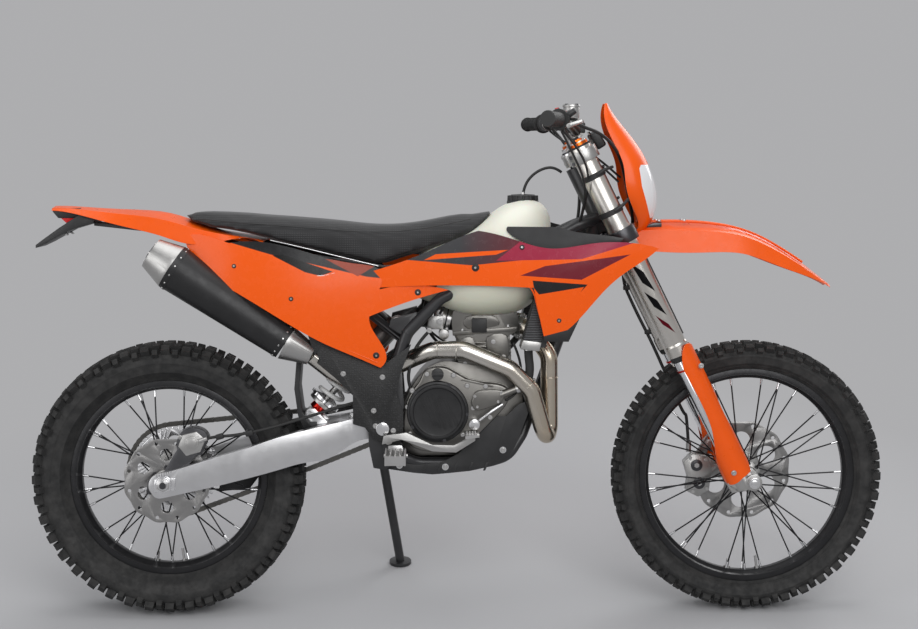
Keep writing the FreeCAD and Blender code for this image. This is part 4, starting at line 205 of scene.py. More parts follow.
def rod(start, end, radius, end_radius=None, sides=20):
    """Round bar between two points."""
    bpy.ops.mesh.primitive_cone_add(vertices=sides, radius1=radius * MM,
        radius2=(radius if end_radius is None else end_radius) * MM, depth=(end - start).length,
        location=(start + end) / 2, rotation=upright(end - start))
    return bpy.context.object


def across(x, z, radius, y_from, y_to, sides=24):
    """Drum on a cross axis through side-view shares."""
    return rod(at(x, z, y_from), at(x, z, y_to), radius, sides=sides)


def block(centre, size, tilt=0):
    """Box by its middle, its size and its tilt in degrees about the cross axis."""
    bpy.ops.mesh.primitive_cube_add(size=1, location=centre, rotation=(0, math.radians(tilt), 0))
    piece = bpy.context.object
    piece.scale = Vector(size) * MM
    bpy.ops.object.transform_apply(location=False, rotation=False, scale=True)
    return piece


def slab(outline, y_from, y_to, edge=0, segments=2):
    """Side-view outline of shares carried across the machine, its edges rounded."""
    bpy.ops.mesh.primitive_circle_add(vertices=len(outline), fill_type="NGON")
    piece = bpy.context.object
    for vertex, share in zip(piece.data.vertices, outline):
        vertex.co = at(*share, y_from)
    with editing():
        bpy.ops.mesh.extrude_region_move(TRANSFORM_OT_translate={"value": (0, (y_to - y_from) * MM, 0)})
        bpy.ops.mesh.select_all(action="SELECT")
        bpy.ops.mesh.normals_make_consistent(inside=False)
    return rounded(piece, edge, segments) if edge else piece


def tube(points, radius, sides=5):
    """Round hose or bent tube on a smooth curve through its control points."""
    points = list(points)
    while len(points) < 5:
        longest = max(range(len(points) - 1), key=lambda i: (points[i + 1] - points[i]).length)
        points.insert(longest + 1, (points[longest] + points[longest + 1]) / 2)
    bpy.ops.curve.primitive_nurbs_path_add()
    curve = bpy.context.object
    spline = curve.data.splines[0]
    spline.points.add(len(points) - len(spline.points))
    for point, place in zip(spline.points, points):
        point.co = (*place, 1)
    spline.order_u = 3
    spline.use_endpoint_u = True
    curve.data.dimensions = "3D"
    curve.data.bevel_depth = radius * MM
    curve.data.bevel_resolution = sides
    curve.data.resolution_u = 8
    curve.data.use_fill_caps = True
    only(curve)
    bpy.ops.object.convert(target="MESH")
    return smooth(merged(bpy.context.object, 2 * SMALLEST_STEP), 50)


def run(*points):
    """Points given as side-view shares and the distance to the left."""
    return [at(*point) for point in points]


def spun(section, centre, axis, steps):
    """Ring spun about an axis through centre from a closed section of steps."""
    bpy.ops.mesh.primitive_circle_add(vertices=len(section), fill_type="NOTHING")
    piece = bpy.context.object
    for vertex, step in zip(piece.data.vertices, section):
        vertex.co = centre + step
    with editing():
        bpy.ops.mesh.spin(steps=steps, angle=TURN, center=centre, axis=axis, use_auto_merge=True)
        bpy.ops.mesh.select_all(action="SELECT")
        bpy.ops.mesh.remove_doubles(threshold=5 * SMALLEST_STEP)
        bpy.ops.mesh.normals_make_consistent(inside=False)
    return piece


def turned(profile, centre, steps=96):
    """Ring about a cross axis from a closed section of (radius, y)."""
    return spun([mm(0, y, radius) for radius, y in profile], centre, Y_AXIS, steps)


def turned_up(profile, foot):
    """Ring about an upright axis from a closed section of (radius, height)."""
    return spun([mm(radius, 0, height) for radius, height in profile], foot, Z_AXIS, 40)


def there_and_back(half):
    """Closed section of (radius, y) from its left half."""
    return half + [(radius, -y) for radius, y in reversed(half)]


def round_axle(centre, count, start=0):
    """Places turned evenly about a cross axis, from a start angle in radians."""
    return [Matrix.Translation(centre) @ Matrix.Rotation(start + TURN * i / count, 4, "Y") for i in range(count)]


def around(way, side, count, start=0):
    """Even directions about a way, from a side direction."""
    return [(Quaternion(way, TURN * (i + start) / count) @ side).normalized() for i in range(count)]


def sunk(piece, way, inset, depth):
    """Sinks a socket into the end of a piece that faces a way."""
    only(piece)
    with editing("DESELECT", "FACE"):
        pass
    turn = piece.matrix_world.to_3x3()
    for face in piece.data.polygons:
        face.select = (turn @ face.normal).normalized().dot(way) > END_COSINE
    with editing(None):
        bpy.ops.mesh.inset(thickness=inset * MM)
        bpy.ops.mesh.extrude_region_shrink_fatten(TRANSFORM_OT_shrink_fatten={"value": -depth * MM})
    return piece


def bolt(start, way, radius=6, height=5):
    """Bolt head with a washer and a socket, standing on a face."""
    way = way.normalized()
    washer = rod(start, start + way * 1.2 * MM, radius * 1.35, sides=18)
    head = rod(start + way * 1 * MM, start + way * height * MM, radius, radius * 0.93, sides=12)
    return joined([sunk(head, way, radius * 0.45, height * 0.5), washer])


def ring_bolts(centre, count, radius, y, side, size, start=0):
    """Bolt heads on a circle round a cross axis."""
    return spread(bolt(mm(0, y, radius), Y_AXIS * side, size, size * 0.8), round_axle(centre, count, start))


def dressed(piece, name, finish, angle=None, replaces=(), body="chassis", slot=None):
    """Gives a piece in place its name, finish, body and replaced nodes; its slot argument is not used."""
    piece.name = piece.data.name = name
    if angle:
        smooth(piece, angle)
    piece.data.materials.clear()
    piece.data.materials.append(finished(finish))
    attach(piece, body)
    if replaces:
        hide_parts(*replaces)
    return piece


def fitted(pieces, name, finish, angle=None, **fittings):
    """Joins pieces made in the bike frame, parks them in the leaning machine and dresses them."""
    piece = joined(pieces)
    only(piece)
    bpy.ops.object.transform_apply(location=True, rotation=True, scale=True)
    piece.matrix_world = BIKE
    bpy.ops.object.transform_apply(location=True, rotation=True, scale=True)
    return dressed(piece, name, finish, angle, **fittings)


def bolted(heads, name, radius, height, finish="steel", **fittings):
    """Bolt heads at (start, way) places."""
    return fitted([bolt(start, way, radius, height) for start, way in heads], name, finish, 30, **fittings)


steered = partial(fitted, body="steering")
steered_bolts = partial(bolted, body="steering")


def cast(node, name, finish, edge=0, angle=35, **fittings):
    """Smooth copy of a frame solid, with rounded edges."""
    piece = merged(linked(name, NODES[node].data))
    with editing():
        bpy.ops.mesh.dissolve_limited(angle_limit=FLAT_EDGE)
    if edge:
        rounded(piece, edge)
    smooth(piece, angle)
    if SLOTS[finish] == "orange_plastic":
        applied(piece, "WEIGHTED_NORMAL", keep_sharp=True)
    return dressed(piece, name, finish, replaces=(node,), **fittings)


# Finishes

ORANGE = (0.90, 0.105, 0.002)
BLACK = (0.012, 0.012, 0.013)
DARK_GREY = (0.045, 0.045, 0.048)
IVORY = (0.80, 0.79, 0.68)
CRIMSON = (0.16, 0.012, 0.022)
PINK = (0.34, 0.022, 0.055)
CHAMPAGNE = (0.64, 0.615, 0.575)
MADE = {}
MAKERS = {}
# The record's material slot that each finish stands for.
SLOTS = {
    finish: slot for slot, finishes in {
        "bright_steel": "steel header_steel spoke_black brushed_disc chrome",
        "bright_metal": "cast_alloy polished_alloy swingarm_alloy",
        "black_plastic": "black_plastic soft_rubber grip_plastic",
        "dark_cover": "dark_bolt cover_bronze clutch_black dark_glass",
        "orange_plastic": "orange_plastic orange_anodised shroud_graphics side_panel_graphics mask_graphics",
        "frame_paint": "frame_paint gauze", "engine_alloy": "engine_grey", "tyre_rubber": "tyre_rubber",
        "black_rim": "black_rim", "chain_steel": "chain_steel", "silencer_black": "silencer_black",
        "red_lens": "red_lens red_anodised", "fork_bronze": "fork_silver fork_graphics",
        "spring_white": "spring_white", "seat_cover": "seat_cover", "ivory_plastic": "ivory_tank",
        "white_lens": "lamp_lens",
    }.items() for finish in finishes.split()
}
# Metals: colour, roughness, relief, and for cast ones the relief's scale and the metallic share.
METALS = {
    "cast_alloy": ((0.48, 0.475, 0.465), 0.38, 0.1),
    "polished_alloy": ((0.80, 0.80, 0.81), 0.2, 0.05),
    "fork_silver": (CHAMPAGNE, 0.3, 0.01),
    "chrome": ((0.86, 0.87, 0.88), 0.1, 0.02),
    "steel": ((0.56, 0.555, 0.55), 0.3, 0.08),
    "spoke_black": ((0.035, 0.035, 0.037), 0.36, 0.02),
    "dark_bolt": ((0.09, 0.09, 0.095), 0.35, 0.05),
    "engine_grey": ((0.21, 0.203, 0.19), 0.34, 0.25, 260, 0.95),
    "cover_bronze": ((0.085, 0.075, 0.07), 0.4, 0.2, 260, 0.7),
    "red_anodised": ((0.62, 0.03, 0.02), 0.25, 0.03),
    "orange_anodised": ((0.85, 0.16, 0.02), 0.25, 0.03),
    "chain_steel": ((0.17, 0.165, 0.155), 0.34, 0.05),
}
# Plastics and paints: colour, roughness, metallic; tone colour, depth and scale; roughness noise as scale, detail,
# upper noise level, low and high; relief as scale, detail, strength and depth; and other sockets.
PAINTS = {
    "orange_plastic": (ORANGE, 0.34, 0, (ORANGE, 0.06, 14), (60, 6, 0.75, 0.26, 0.4), (260, 2, 0.005, 0.2),
        {"Specular IOR Level": 0.3, "Coat Weight": 0.08, "Coat Roughness": 0.12}),
    "black_plastic": (BLACK, 0.5, 0, ((0.02, 0.02, 0.021), 0.35, 25), (45, 6, 0.75, 0.42, 0.6),
        (1600, 3, 0.12, 0.3), {}),
    "soft_rubber": ((0.014,) * 3, 0.6, 0, ((0.022,) * 3, 0.3, 30), None, (1200, 3, 0.12, 0.3), {}),
    "black_rim": ((0.02, 0.02, 0.021), 0.34, 0.55, ((0.028, 0.028, 0.03), 0.3, 20), (120, 5, 0.7, 0.28, 0.44),
        (800, 2, 0.04, 0.2), {}),
    "silencer_black": ((0.016, 0.016, 0.017), 0.42, 0.3, ((0.022, 0.022, 0.023), 0.3, 18),
        (70, 5, 0.75, 0.34, 0.52), (1100, 3, 0.08, 0.2), {}),
    "frame_paint": ((0.022, 0.022, 0.024), 0.4, 0.2, ((0.03, 0.03, 0.032), 0.25, 22), None, (700, 3, 0.08, 0.2),
        {"Coat Weight": 0.2}),
    "spring_white": ((0.72, 0.72, 0.71), 0.32, 0, ((0.76, 0.76, 0.75), 0.12, 40), None, None, {"Coat Weight": 0.3}),
    "lamp_lens": ((0.80, 0.82, 0.84), 0.08, 0, ((0.86, 0.87, 0.88), 0.08, 12), None, None, {"Coat Weight": 0.6}),
    "dark_glass": ((0.012, 0.014, 0.016), 0.08, 0, None, None, None, {}),
}


class Tree:
    """Short calls on a node tree."""

    def __init__(self, tree):
        self.nodes, self.links = tree.nodes, tree.links

    def add(self, kind, operation=None, **inputs):
        """New node whose inputs are set or linked by name, or by position as i0, i1 and so on."""
        node = self.nodes.new("ShaderNode" + kind)
        if operation:
            node.operation = operation
        return self.feed(node, **inputs)

    def feed(self, node, **inputs):
        for key, value in inputs.items():
            by_place = key[0] == "i" and key[1:].isdigit()
            self.set(node.inputs[int(key[1:])] if by_place else node.inputs[key.replace("_", " ")], value)
        return node

    def set(self, socket, value):
        if isinstance(value, bpy.types.NodeSocket):
            self.links.new(value, socket)
        else:
            socket.default_value = value

    def maths(self, kind, first, second=0.5):
        return self.add("Math", kind, i0=first, i1=second).outputs[0]

    def seen(self):
        """One for the rays by which the eye sees: from the camera, mirrored or through glass."""
        rays = self.add("LightPath").outputs
        mirrored = self.maths("MAXIMUM", rays["Is Glossy Ray"], rays["Is Transmission Ray"])
        return self.maths("MAXIMUM", rays["Is Camera Ray"], mirrored)

    def mix_shaders(self, share, first, second, output):
        mix = self.add("MixShader", i0=share, i1=first.outputs[0], i2=second.outputs[0])
        self.links.new(mix.outputs[0], output.inputs["Surface"])


class Graph(Tree):
    """Node tree of one material, with its shader."""

    def __init__(self, name, colour, roughness, metallic=0, **sockets):
        self.material = bpy.data.materials.new(name)
        self.material.use_nodes = True
        super().__init__(self.material.node_tree)
        self.shader = self.nodes["Principled BSDF"]
        self.feed(self.shader, Base_Color=(*colour, 1), Roughness=roughness, Metallic=metallic, **sockets)
        self.coordinates = self.add("TexCoord").outputs["Object"]
        self.bumps = None

    def mapped(self, scale):
        return self.add("Mapping", Vector=self.coordinates, Scale=scale).outputs[0]

    def bike_shares(self):
        """Coordinates in hundredths of the wheelbase in the upright bike frame."""
        node = self.nodes.new("ShaderNodeMapping")
        node.vector_type = "TEXTURE"
        self.feed(node, Vector=self.coordinates, Location=tuple(BIKE.translation), Rotation=tuple(BIKE.to_euler()),
            Scale=(HUNDREDTH,) * 3)
        return node.outputs[0], self.add("SeparateXYZ", Vector=node.outputs[0]).outputs

    def noise(self, scale, detail, vector=None):
        return self.add("TexNoise", Vector=vector or self.coordinates, Scale=scale, Detail=detail).outputs[0]

    def range(self, value, low, high, to_low=0, to_high=1):
        return self.add("MapRange", i0=value, i1=low, i2=high, i3=to_low, i4=to_high).outputs[0]

    def mix(self, share, first, second):
        node = self.nodes.new("ShaderNodeMix")
        node.data_type = "RGBA"
        self.feed(node, i0=share)
        for socket, value in zip((s for s in node.inputs if s.type == "RGBA"), (first, second)):
            self.set(socket, value if isinstance(value, bpy.types.NodeSocket) else (*value, 1))
        return next(s for s in node.outputs if s.type == "RGBA")

    def colour(self, socket):
        self.links.new(socket, self.shader.inputs["Base Color"])

    def rough(self, scale, detail, noise_high, low, high):
        """Uneven roughness."""
        uneven = self.range(self.noise(scale, detail), 0.3, noise_high, low, high)
        self.links.new(uneven, self.shader.inputs["Roughness"])

    def bump(self, height, strength, distance):
        """Adds a layer of relief."""
        node = self.add("Bump", Height=height, Strength=strength, Distance=distance * MM)
        if self.bumps:
            self.links.new(self.bumps, node.inputs["Normal"])
        self.bumps = node.outputs[0]
        self.links.new(self.bumps, self.shader.inputs["Normal"])

    def grain(self, scale, detail, strength, distance):
        self.bump(self.noise(scale, detail), strength, distance)

    def tone(self, colour, amount, scale=30):
        """Slightly uneven colour."""
        darker = tuple(c * (1 - amount) for c in colour)
        self.colour(self.mix(self.range(self.noise(scale, 5), 0.35, 0.7), darker, colour))

    def field(self, place, corners):
        """One inside a convex side-view outline of shares, listed clockwise as seen from the right."""
        mask = None
        for (x0, z0), (x1, z1) in zip(corners, corners[1:] + corners[:1]):
            run = Vector((x1 - x0, z1 - z0))
            inward = Vector((run.y, -run.x)).normalized()
            dot = self.add("VectorMath", "DOT_PRODUCT", i0=place, i1=(inward.x, 0, inward.y)).outputs["Value"]
            level = inward.dot(Vector((x0, z0)))
            edge = self.range(dot, level - 0.03, level + 0.03)
            mask = edge if mask is None else self.maths("MINIMUM", mask, edge)
        return mask

    def painted(self, place, ground, bands):
        """Convex fields laid over a ground colour."""
        for paint, corners in bands:
            ground = self.mix(self.field(place, corners), ground, paint)
        self.colour(ground)


def finished(name):
    """Makes a finish once and keeps it."""
    if name not in MADE:
        if name in METALS:
            MADE[name] = metal(name, *METALS[name]).material
        elif name in PAINTS:
            MADE[name] = paint(name, *PAINTS[name])
        else:
            MADE[name] = MAKERS[name]()
    return MADE[name]


def maker(make):
    MAKERS[make.__name__] = make
    return make


def metal(name, colour, roughness, relief, scale=300, metallic=1):
    graph = Graph(name, colour, roughness, metallic)
    graph.tone(colour, 0.1, 14)
    graph.rough(60, 3, 0.7, roughness * 0.92, min(1, roughness * 1.12))
    graph.grain(scale, 2, relief * 0.3, 0.3)
    return graph


def paint(name, colour, roughness, metallic, tone, rough, relief, sockets):
    graph = Graph(name, colour, roughness, metallic, **{key.replace(" ", "_"): value for key, value in sockets.items()})
    for values, add in ((tone, graph.tone), (rough, graph.rough), (relief, graph.grain)):
        if values:
            add(*values)
    return graph.material


def printed(name, roughness, gloss, rough, ground, bands):
    """Orange plastic with a plain layout of coloured fields."""
    graph = Graph(name, ORANGE, roughness, Specular_IOR_Level=0.3, Coat_Weight=0.1, Coat_Roughness=gloss)
    place, axes = graph.bike_shares()
    bands = [(ground(graph, axes) if colour is None else colour, corners) for colour, corners in bands]
    graph.painted(place, ORANGE, bands)
    if rough:
        graph.rough(60, 6, 0.75, *rough)
    graph.grain(260, 2, 0.005, 0.2)
    return graph.material


@maker
def mask_graphics():
    """Mask whose nose carries the pale lamp panel."""
    return printed("mask_graphics", 0.3, 0.1, None, None, [
        ((0.80, 0.81, 0.82), [(80.6, 77.2), (90, 77.2), (90, 68), (82.4, 68.2), (80.7, 73.7), (80.3, 76.6)])])


@maker
def shroud_graphics():
    """Bands of grey that turns crimson, pink, crimson, black and orange."""
    def fading(graph, axes):
        return graph.mix(graph.range(axes["X"], 50, 64), DARK_GREY, CRIMSON)

    return printed("shroud_graphics", 0.28, 0.08, (0.18, 0.32), fading, [
        (None, [(39, 61.6), (53, 67.5), (74, 67.5), (66, 62.2), (52, 60.6)]),
        (PINK, [(56, 61.4), (60, 64.6), (79.5, 64.8), (70, 61.8)]),
        (CRIMSON, [(60, 59), (64, 60.6), (78, 62.6), (70, 58.4)]),
        (BLACK, [(62.2, 57), (62, 58.2), (71, 57.6), (66, 52)]),
        (ORANGE, [(63, 55.9), (70.4, 57.2), (66, 50), (63.2, 50)]),
        (ORANGE, [(44, 61.4), (46, 62.4), (58, 63.2), (56, 62.4)])])


@maker
def side_panel_graphics():
    """Black slanted field at the upper edge, with a red field and a dark slot."""
    return printed("side_panel_graphics", 0.3, 0.1, (0.2, 0.34), None, [
        (BLACK, [(9, 64.6), (18, 66), (40, 61.4), (36.6, 58.4), (29.6, 59.2), (18.4, 62.4)]),
        ((0.30, 0.035, 0.008), [(27.6, 61.6), (36.2, 60.6), (33, 58.7)]),
        ((0.001,) * 3, [(18.8, 62.2), (20.4, 62.4), (28.8, 59.5), (26.8, 58.8), (24.3, 59.4)])])


@maker
def fork_graphics():
    """Champagne tube with slanted black bars and a crimson one."""
    graph = metal("fork_graphics", CHAMPAGNE, 0.3, 0.01)
    bars = []
    for low, high, colour in ((56.6, 60.8, BLACK), (52.6, 56, BLACK), (49.6, 52, CRIMSON)):
        foot, head = (84.8 - 0.494 * (height - 50) for height in (low, high))
        corners = [(foot - 0.9, low + 0.9), (head - 0.9, high), (head + 1.3, high - 1.4), (foot + 1.3, low - 0.5)]
        bars.append((colour, corners))
    graph.painted(graph.bike_shares()[0], CHAMPAGNE, bars)
    return graph.material


@maker
def grip_plastic():
    """Black plastic with a raised grid that the boots hold on to; its low parts are darkened with painted shade."""
    graph = Graph("grip_plastic", BLACK, 0.5)
    cells = graph.nodes.new("ShaderNodeTexVoronoi")
    cells.feature = "DISTANCE_TO_EDGE"
    graph.feed(cells, Vector=graph.bike_shares()[0], Scale=2.6, Randomness=0.35)
    relief = graph.range(cells.outputs["Distance"], 0.05, 0.3)
    # Painted shade: the colour follows the relief, darker where it is low at the cell edges and lighter on the raised
    # cells.
    graph.colour(graph.mix(relief, (0.008,) * 3, (0.018, 0.018, 0.019)))
    graph.bump(relief, 0.5, 0.7)
    graph.grain(1600, 3, 0.1, 0.3)
    return graph.material


@maker
def seat_cover():
    """Black seat cover with a fine diamond tooth, coloured with painted light and shade: lighter on the raised tops,
    darker between them.
    """
    graph = Graph("seat_cover", (0.02, 0.02, 0.021), 0.62, Sheen_Weight=0.15, Sheen_Roughness=0.4)
    cells = graph.add("TexVoronoi", Vector=graph.bike_shares()[0], Scale=2.6, Randomness=0)
    tooth = graph.range(cells.outputs["Distance"], 0.1, 0.5, 1, 0)
    # Painted light and shade: the tooth's raised tops are coloured lighter and the hollows between them darker.
    graph.colour(graph.mix(tooth, (0.008, 0.008, 0.009), (0.035, 0.035, 0.037)))
    graph.bump(tooth, 0.5, 0.9)
    graph.grain(900, 3, 0.15, 0.3)
    return graph.material


@maker
def ivory_tank():
    graph = Graph("ivory_tank", IVORY, 0.42, Subsurface_Weight=0.12, Subsurface_Scale=0.02)
    shade = graph.range(graph.bike_shares()[1]["Z"], 52, 72)
    graph.colour(graph.mix(shade, (0.60, 0.60, 0.48), (0.83, 0.82, 0.72)))
    graph.grain(500, 3, 0.06, 0.3)
    return graph.material


@maker
def tyre_rubber():
    graph = Graph("tyre_rubber", (0.02,) * 3, 0.75)
    graph.colour(graph.mix(graph.range(graph.noise(35, 8), 0.4, 0.7), (0.014,) * 3, (0.034, 0.033, 0.032)))
    graph.rough(90, 5, 0.7, 0.65, 0.88)
    graph.grain(600, 4, 0.2, 0.4)
    return graph.material


@maker
def swingarm_alloy():
    """Satin alloy with a fine lengthwise grain."""
    graph = metal("swingarm_alloy", (0.70, 0.70, 0.71), 0.3, 0.01)
    graph.bump(graph.noise(60, 5, graph.mapped((1, 14, 14))), 0.06, 0.3)
    return graph.material


@maker
def clutch_black():
    """Black cover with a faint turned grain."""
    graph = Graph("clutch_black", (0.018, 0.018, 0.019), 0.42, 0.35)
    graph.tone((0.026, 0.026, 0.027), 0.3)
    graph.rough(80, 5, 0.7, 0.34, 0.55)
    graph.bump(graph.noise(500, 4, graph.mapped((1, 1, 6))), 0.15, 0.3)
    return graph.material


@maker
def header_steel():
    """Steel pipe with straw and blue heat tints near the port."""
    graph = metal("header_steel", (0.62, 0.58, 0.52), 0.22, 0.004)
    heat = graph.range(graph.bike_shares()[1]["X"], 54, 66)
    mottle = graph.maths("MULTIPLY", heat, graph.range(graph.noise(9, 3), 0.3, 0.7, 0.4, 1))
    straw = graph.mix(mottle, (0.60, 0.575, 0.53), (0.52, 0.44, 0.33))
    blue = graph.range(graph.noise(7, 2), 0.6, 0.72, 0, 0.25)
    graph.colour(graph.mix(graph.maths("MULTIPLY", blue, heat), straw, (0.25, 0.24, 0.34)))
    return graph.material


@maker
def red_lens():
    """Red lamp glass with upright ribs."""
    graph = Graph("red_lens", (0.62, 0.012, 0.012), 0.12, Coat_Weight=0.5)
    graph.bump(graph.maths("SINE", graph.maths("MULTIPLY", graph.bike_shares()[1]["Y"], 14)), 0.2, 0.5)
    graph.tone((0.7, 0.014, 0.014), 0.25, 40)
    return graph.material


@maker
def brushed_disc():
    """Turned steel with fine rings about the axle."""
    graph = metal("brushed_disc", (0.36, 0.355, 0.35), 0.3, 0.02)
    axes = graph.bike_shares()[1]
    in_front = graph.maths("MULTIPLY", graph.maths("GREATER_THAN", axes["X"], 50), 100)
    forward = graph.maths("SUBTRACT", axes["X"], in_front)
    upward = graph.maths("SUBTRACT", axes["Z"], REAR.z / HUNDREDTH)
    square = graph.maths("ADD", graph.maths("MULTIPLY", forward, forward), graph.maths("MULTIPLY", upward, upward))
    rings = graph.maths("SINE", graph.maths("MULTIPLY", graph.maths("SQRT", square), 90))
    graph.bump(rings, 0.08, 0.3)
    return graph.material


@maker
def gauze():
    """Radiator core: close rows of dark fins, with painted shade in the low rows between them."""
    graph = Graph("gauze", (0.05,) * 3, 0.5, 0.6)
    rows = graph.maths("SINE", graph.maths("MULTIPLY", graph.bike_shares()[1]["Z"], 22))
    # Painted shade: the low rows of the relief are coloured darker and the high rows lighter.
    graph.colour(graph.mix(graph.range(rows, -0.4, 0.6), (0.012,) * 3, (0.11, 0.11, 0.115)))
    graph.bump(rows, 0.5, 1)
    return graph.material


# Settings

class MotorcycleSizes(bpy.types.PropertyGroup):
    """Sizes that a user would change."""
    lug_pitches: bpy.props.IntProperty(name="Lug pitches", description="Rows of lugs round a tyre", default=40)
    hose_radius: bpy.props.FloatProperty(name="Hose radius", description="Brake and clutch hose radius in mm",
        default=4.2)


class MotorcycleColours(bpy.types.PropertyGroup):
    """Colours that a user would change."""
    floor: bpy.props.FloatVectorProperty(name="Floor", description="Studio floor", subtype="COLOR",
        default=(0.46, 0.46, 0.47))
    backdrop: bpy.props.FloatVectorProperty(name="Backdrop", description="Studio backdrop", subtype="COLOR",
        default=(0.42, 0.42, 0.43))


class PieceOperator:
    """What the operators share: each takes its steps in turn."""
    steps = ()

    def execute(self, context):
        for step in self.steps:
            getattr(self, step)()
        return {"FINISHED"}


# Stage

CAMERA_PLACE = (0.66460, -4.3, 1.17379)
CAMERA_YAW = 0.018271
CAMERA_DIP = 0.095068
CAMERA_LENS = 66.06
FLOOR_GAP = 0.0005
FADE_DISTANCES = (0.95, 1.9)
FILL_LIGHT = ((0.80, 0.82, 0.86, 1), 0.38)
# Lamps: place, power, size and the height they point at.
LAMPS = {
    "key": ((0.9, -3.4, 3.2), 92, 3, 0.6),
    "fill": ((-3.2, -2.4, 1.8), 36, 2.6, 0.6),
    "top": ((0, 0.6, 3.6), 58, 3.4, 0.5),
    "rim": ((2.6, 3, 2.4), 50, 2.4, 0.7),
}


class StageOperator(PieceOperator, bpy.types.Operator):
    """Floor, soft studio light and the camera at the photograph's angle"""
    bl_idname = "motorcycle.stage"
    bl_label = "Stage"
    steps = ("floor", "world", "lamps", "camera")

    def floor(self):
        """Pale floor that the eye and reflections see as the backdrop, away from the machine."""
        colours = bpy.context.scene.motorcycle_colours
        bpy.ops.mesh.primitive_plane_add(size=60, location=(0, 0, CAD_BOX[0].z - FLOOR_GAP))
        floor = bpy.context.object
        floor.name = "studio_floor"
        graph = Graph("studio_floor", tuple(colours.floor), 0.85)
        graph.tone(tuple(colours.floor), 0.01, 0.6)
        glow = graph.add("Emission", Color=(*colours.backdrop, 1))
        distance = graph.add("VectorMath", "LENGTH", i0=graph.coordinates).outputs["Value"]
        share = graph.maths("MULTIPLY", graph.seen(), graph.range(distance, *FADE_DISTANCES))
        graph.mix_shaders(share, graph.shader, glow, graph.nodes["Material Output"])
        floor.data.materials.append(graph.material)

    def world(self):
        """Even studio surround that is seen as the backdrop."""
        scene = bpy.context.scene
        scene.view_settings.view_transform = "Standard"
        scene.world = bpy.data.worlds.new("studio")
        scene.world.use_nodes = True
        tree = Tree(scene.world.node_tree)
        tree.nodes.clear()
        backdrop = tree.add("Background", i0=(*scene.motorcycle_colours.backdrop, 1), i1=1)
        fill = tree.add("Background", i0=FILL_LIGHT[0], i1=FILL_LIGHT[1])
        tree.mix_shaders(tree.seen(), fill, backdrop, tree.add("OutputWorld"))

    def lamps(self):
        """Broad lamps from above the camera, behind and the far side."""
        for name, (place, power, size, height) in LAMPS.items():
            bpy.ops.object.light_add(type="AREA", location=place)
            lamp = bpy.context.object
            lamp.name = name
            lamp.data.energy = power
            lamp.data.size = size
            lamp.rotation_euler = (Vector((0, 0, height)) - Vector(place)).to_track_quat("-Z", "Y").to_euler()

    def camera(self):
        """The photograph's camera, leaned with the machine so that it sees it as there."""
        level = math.cos(CAMERA_DIP)
        forward = Vector((math.sin(CAMERA_YAW) * level, math.cos(CAMERA_YAW) * level, -math.sin(CAMERA_DIP)))
        right = forward.cross(Z_AXIS).normalized()
        turn = Matrix((right, right.cross(forward), -forward)).transposed().to_4x4()
        bpy.ops.object.camera_add()
        camera = bpy.context.object
        camera.name = "photo_camera"
        camera.data.lens = CAMERA_LENS
        camera.data.sensor_width = 36
        camera.data.clip_end = 200
        camera.matrix_world = BIKE @ Matrix.Translation(CAMERA_PLACE) @ turn
        bpy.context.scene.camera = camera


# Wheels

SPOKES_A_SIDE = 18
SPOKE_SWEEP = math.radians(15.6)
SPOKE_RADIUS = 1.9
# The tread rows: phase in pitches, place across, length and width of a lug.
WHEELS = {
    "rear": {"centre": REAR, "half": 66, "bead": 240, "bead_half": 30, "lug": 16, "rim_half": 34,
        "flange": 44, "flange_y": 34, "barrel": 30, "length": 82, "bore": 12.6,
        "rows": ((0, 13.5, 25, 23), (0.5, 35, 21, 19), (0, 55, 25, 20), (0.5, 62, 16, 17))},
    "front": {"centre": FRONT, "half": 46, "bead": 266, "bead_half": 23, "lug": 14, "rim_half": 27,
        "flange": 36, "flange_y": 30, "barrel": 24, "length": 68, "bore": 11.1,
        "rows": ((0, 9.5, 24, 16), (0.5, 24.5, 20, 14), (0, 38, 24, 15), (0.5, 43, 15, 12))},
}


def curved(before, start, end, after, steps):
    """Points from start toward end on a smooth curve that also passes before and after."""
    before, start, end, after = (Vector(point) for point in (before, start, end, after))
    return [tuple(0.5 * (2 * start + (end - before) * t + (2 * before - 5 * start + 4 * end - after) * t * t
        + (3 * start - before - 3 * end + after) * t ** 3)) for t in (step / steps for step in range(steps))]


def smoothed(points, steps=4):
    """Denser open row of points on a smooth curve through the given ones."""
    row = points[:1] + points + points[-1:]
    return [place for i in range(len(points) - 1) for place in curved(*row[i:i + 4], steps)] + [tuple(points[-1])]


def rounded_row(*shares, steps=3):
    """Closed outline smoothed through its shares."""
    count = len(shares)
    return [place for i in range(count) for place in curved(*(shares[(i + k) % count] for k in (-1, 0, 1, 2)), steps)]


def lug(length, width, height, y, half, tilt):
    """Tread block, tapered toward its top, at the top of a wheel whose centre is the origin."""
    piece = block(Vector(), (length, width, height))
    for vertex in piece.data.vertices:
        vertex.select = vertex.co.z > 0
    for part in (*piece.data.edges, *piece.data.polygons):
        part.select = all(piece.data.vertices[v].select for v in part.vertices)
    with editing(None, "FACE"):
        bpy.ops.transform.resize(value=(0.84, 0.86, 1))
        bpy.ops.mesh.inset(thickness=0.16 * min(length, width) * MM)
        bpy.ops.transform.translate(value=mm(0, 0, -0.9))
    share = abs(y) / half
    top = 347.5 - 9 * share ** 2 - 15 * max(0, share - 0.8) / 0.2
    piece.location = mm(0, y, top - height / 2 * math.cos(tilt))
    piece.rotation_euler = (-tilt, 0, 0)
    bpy.ops.object.transform_apply(location=True, rotation=True, scale=True)
    return piece


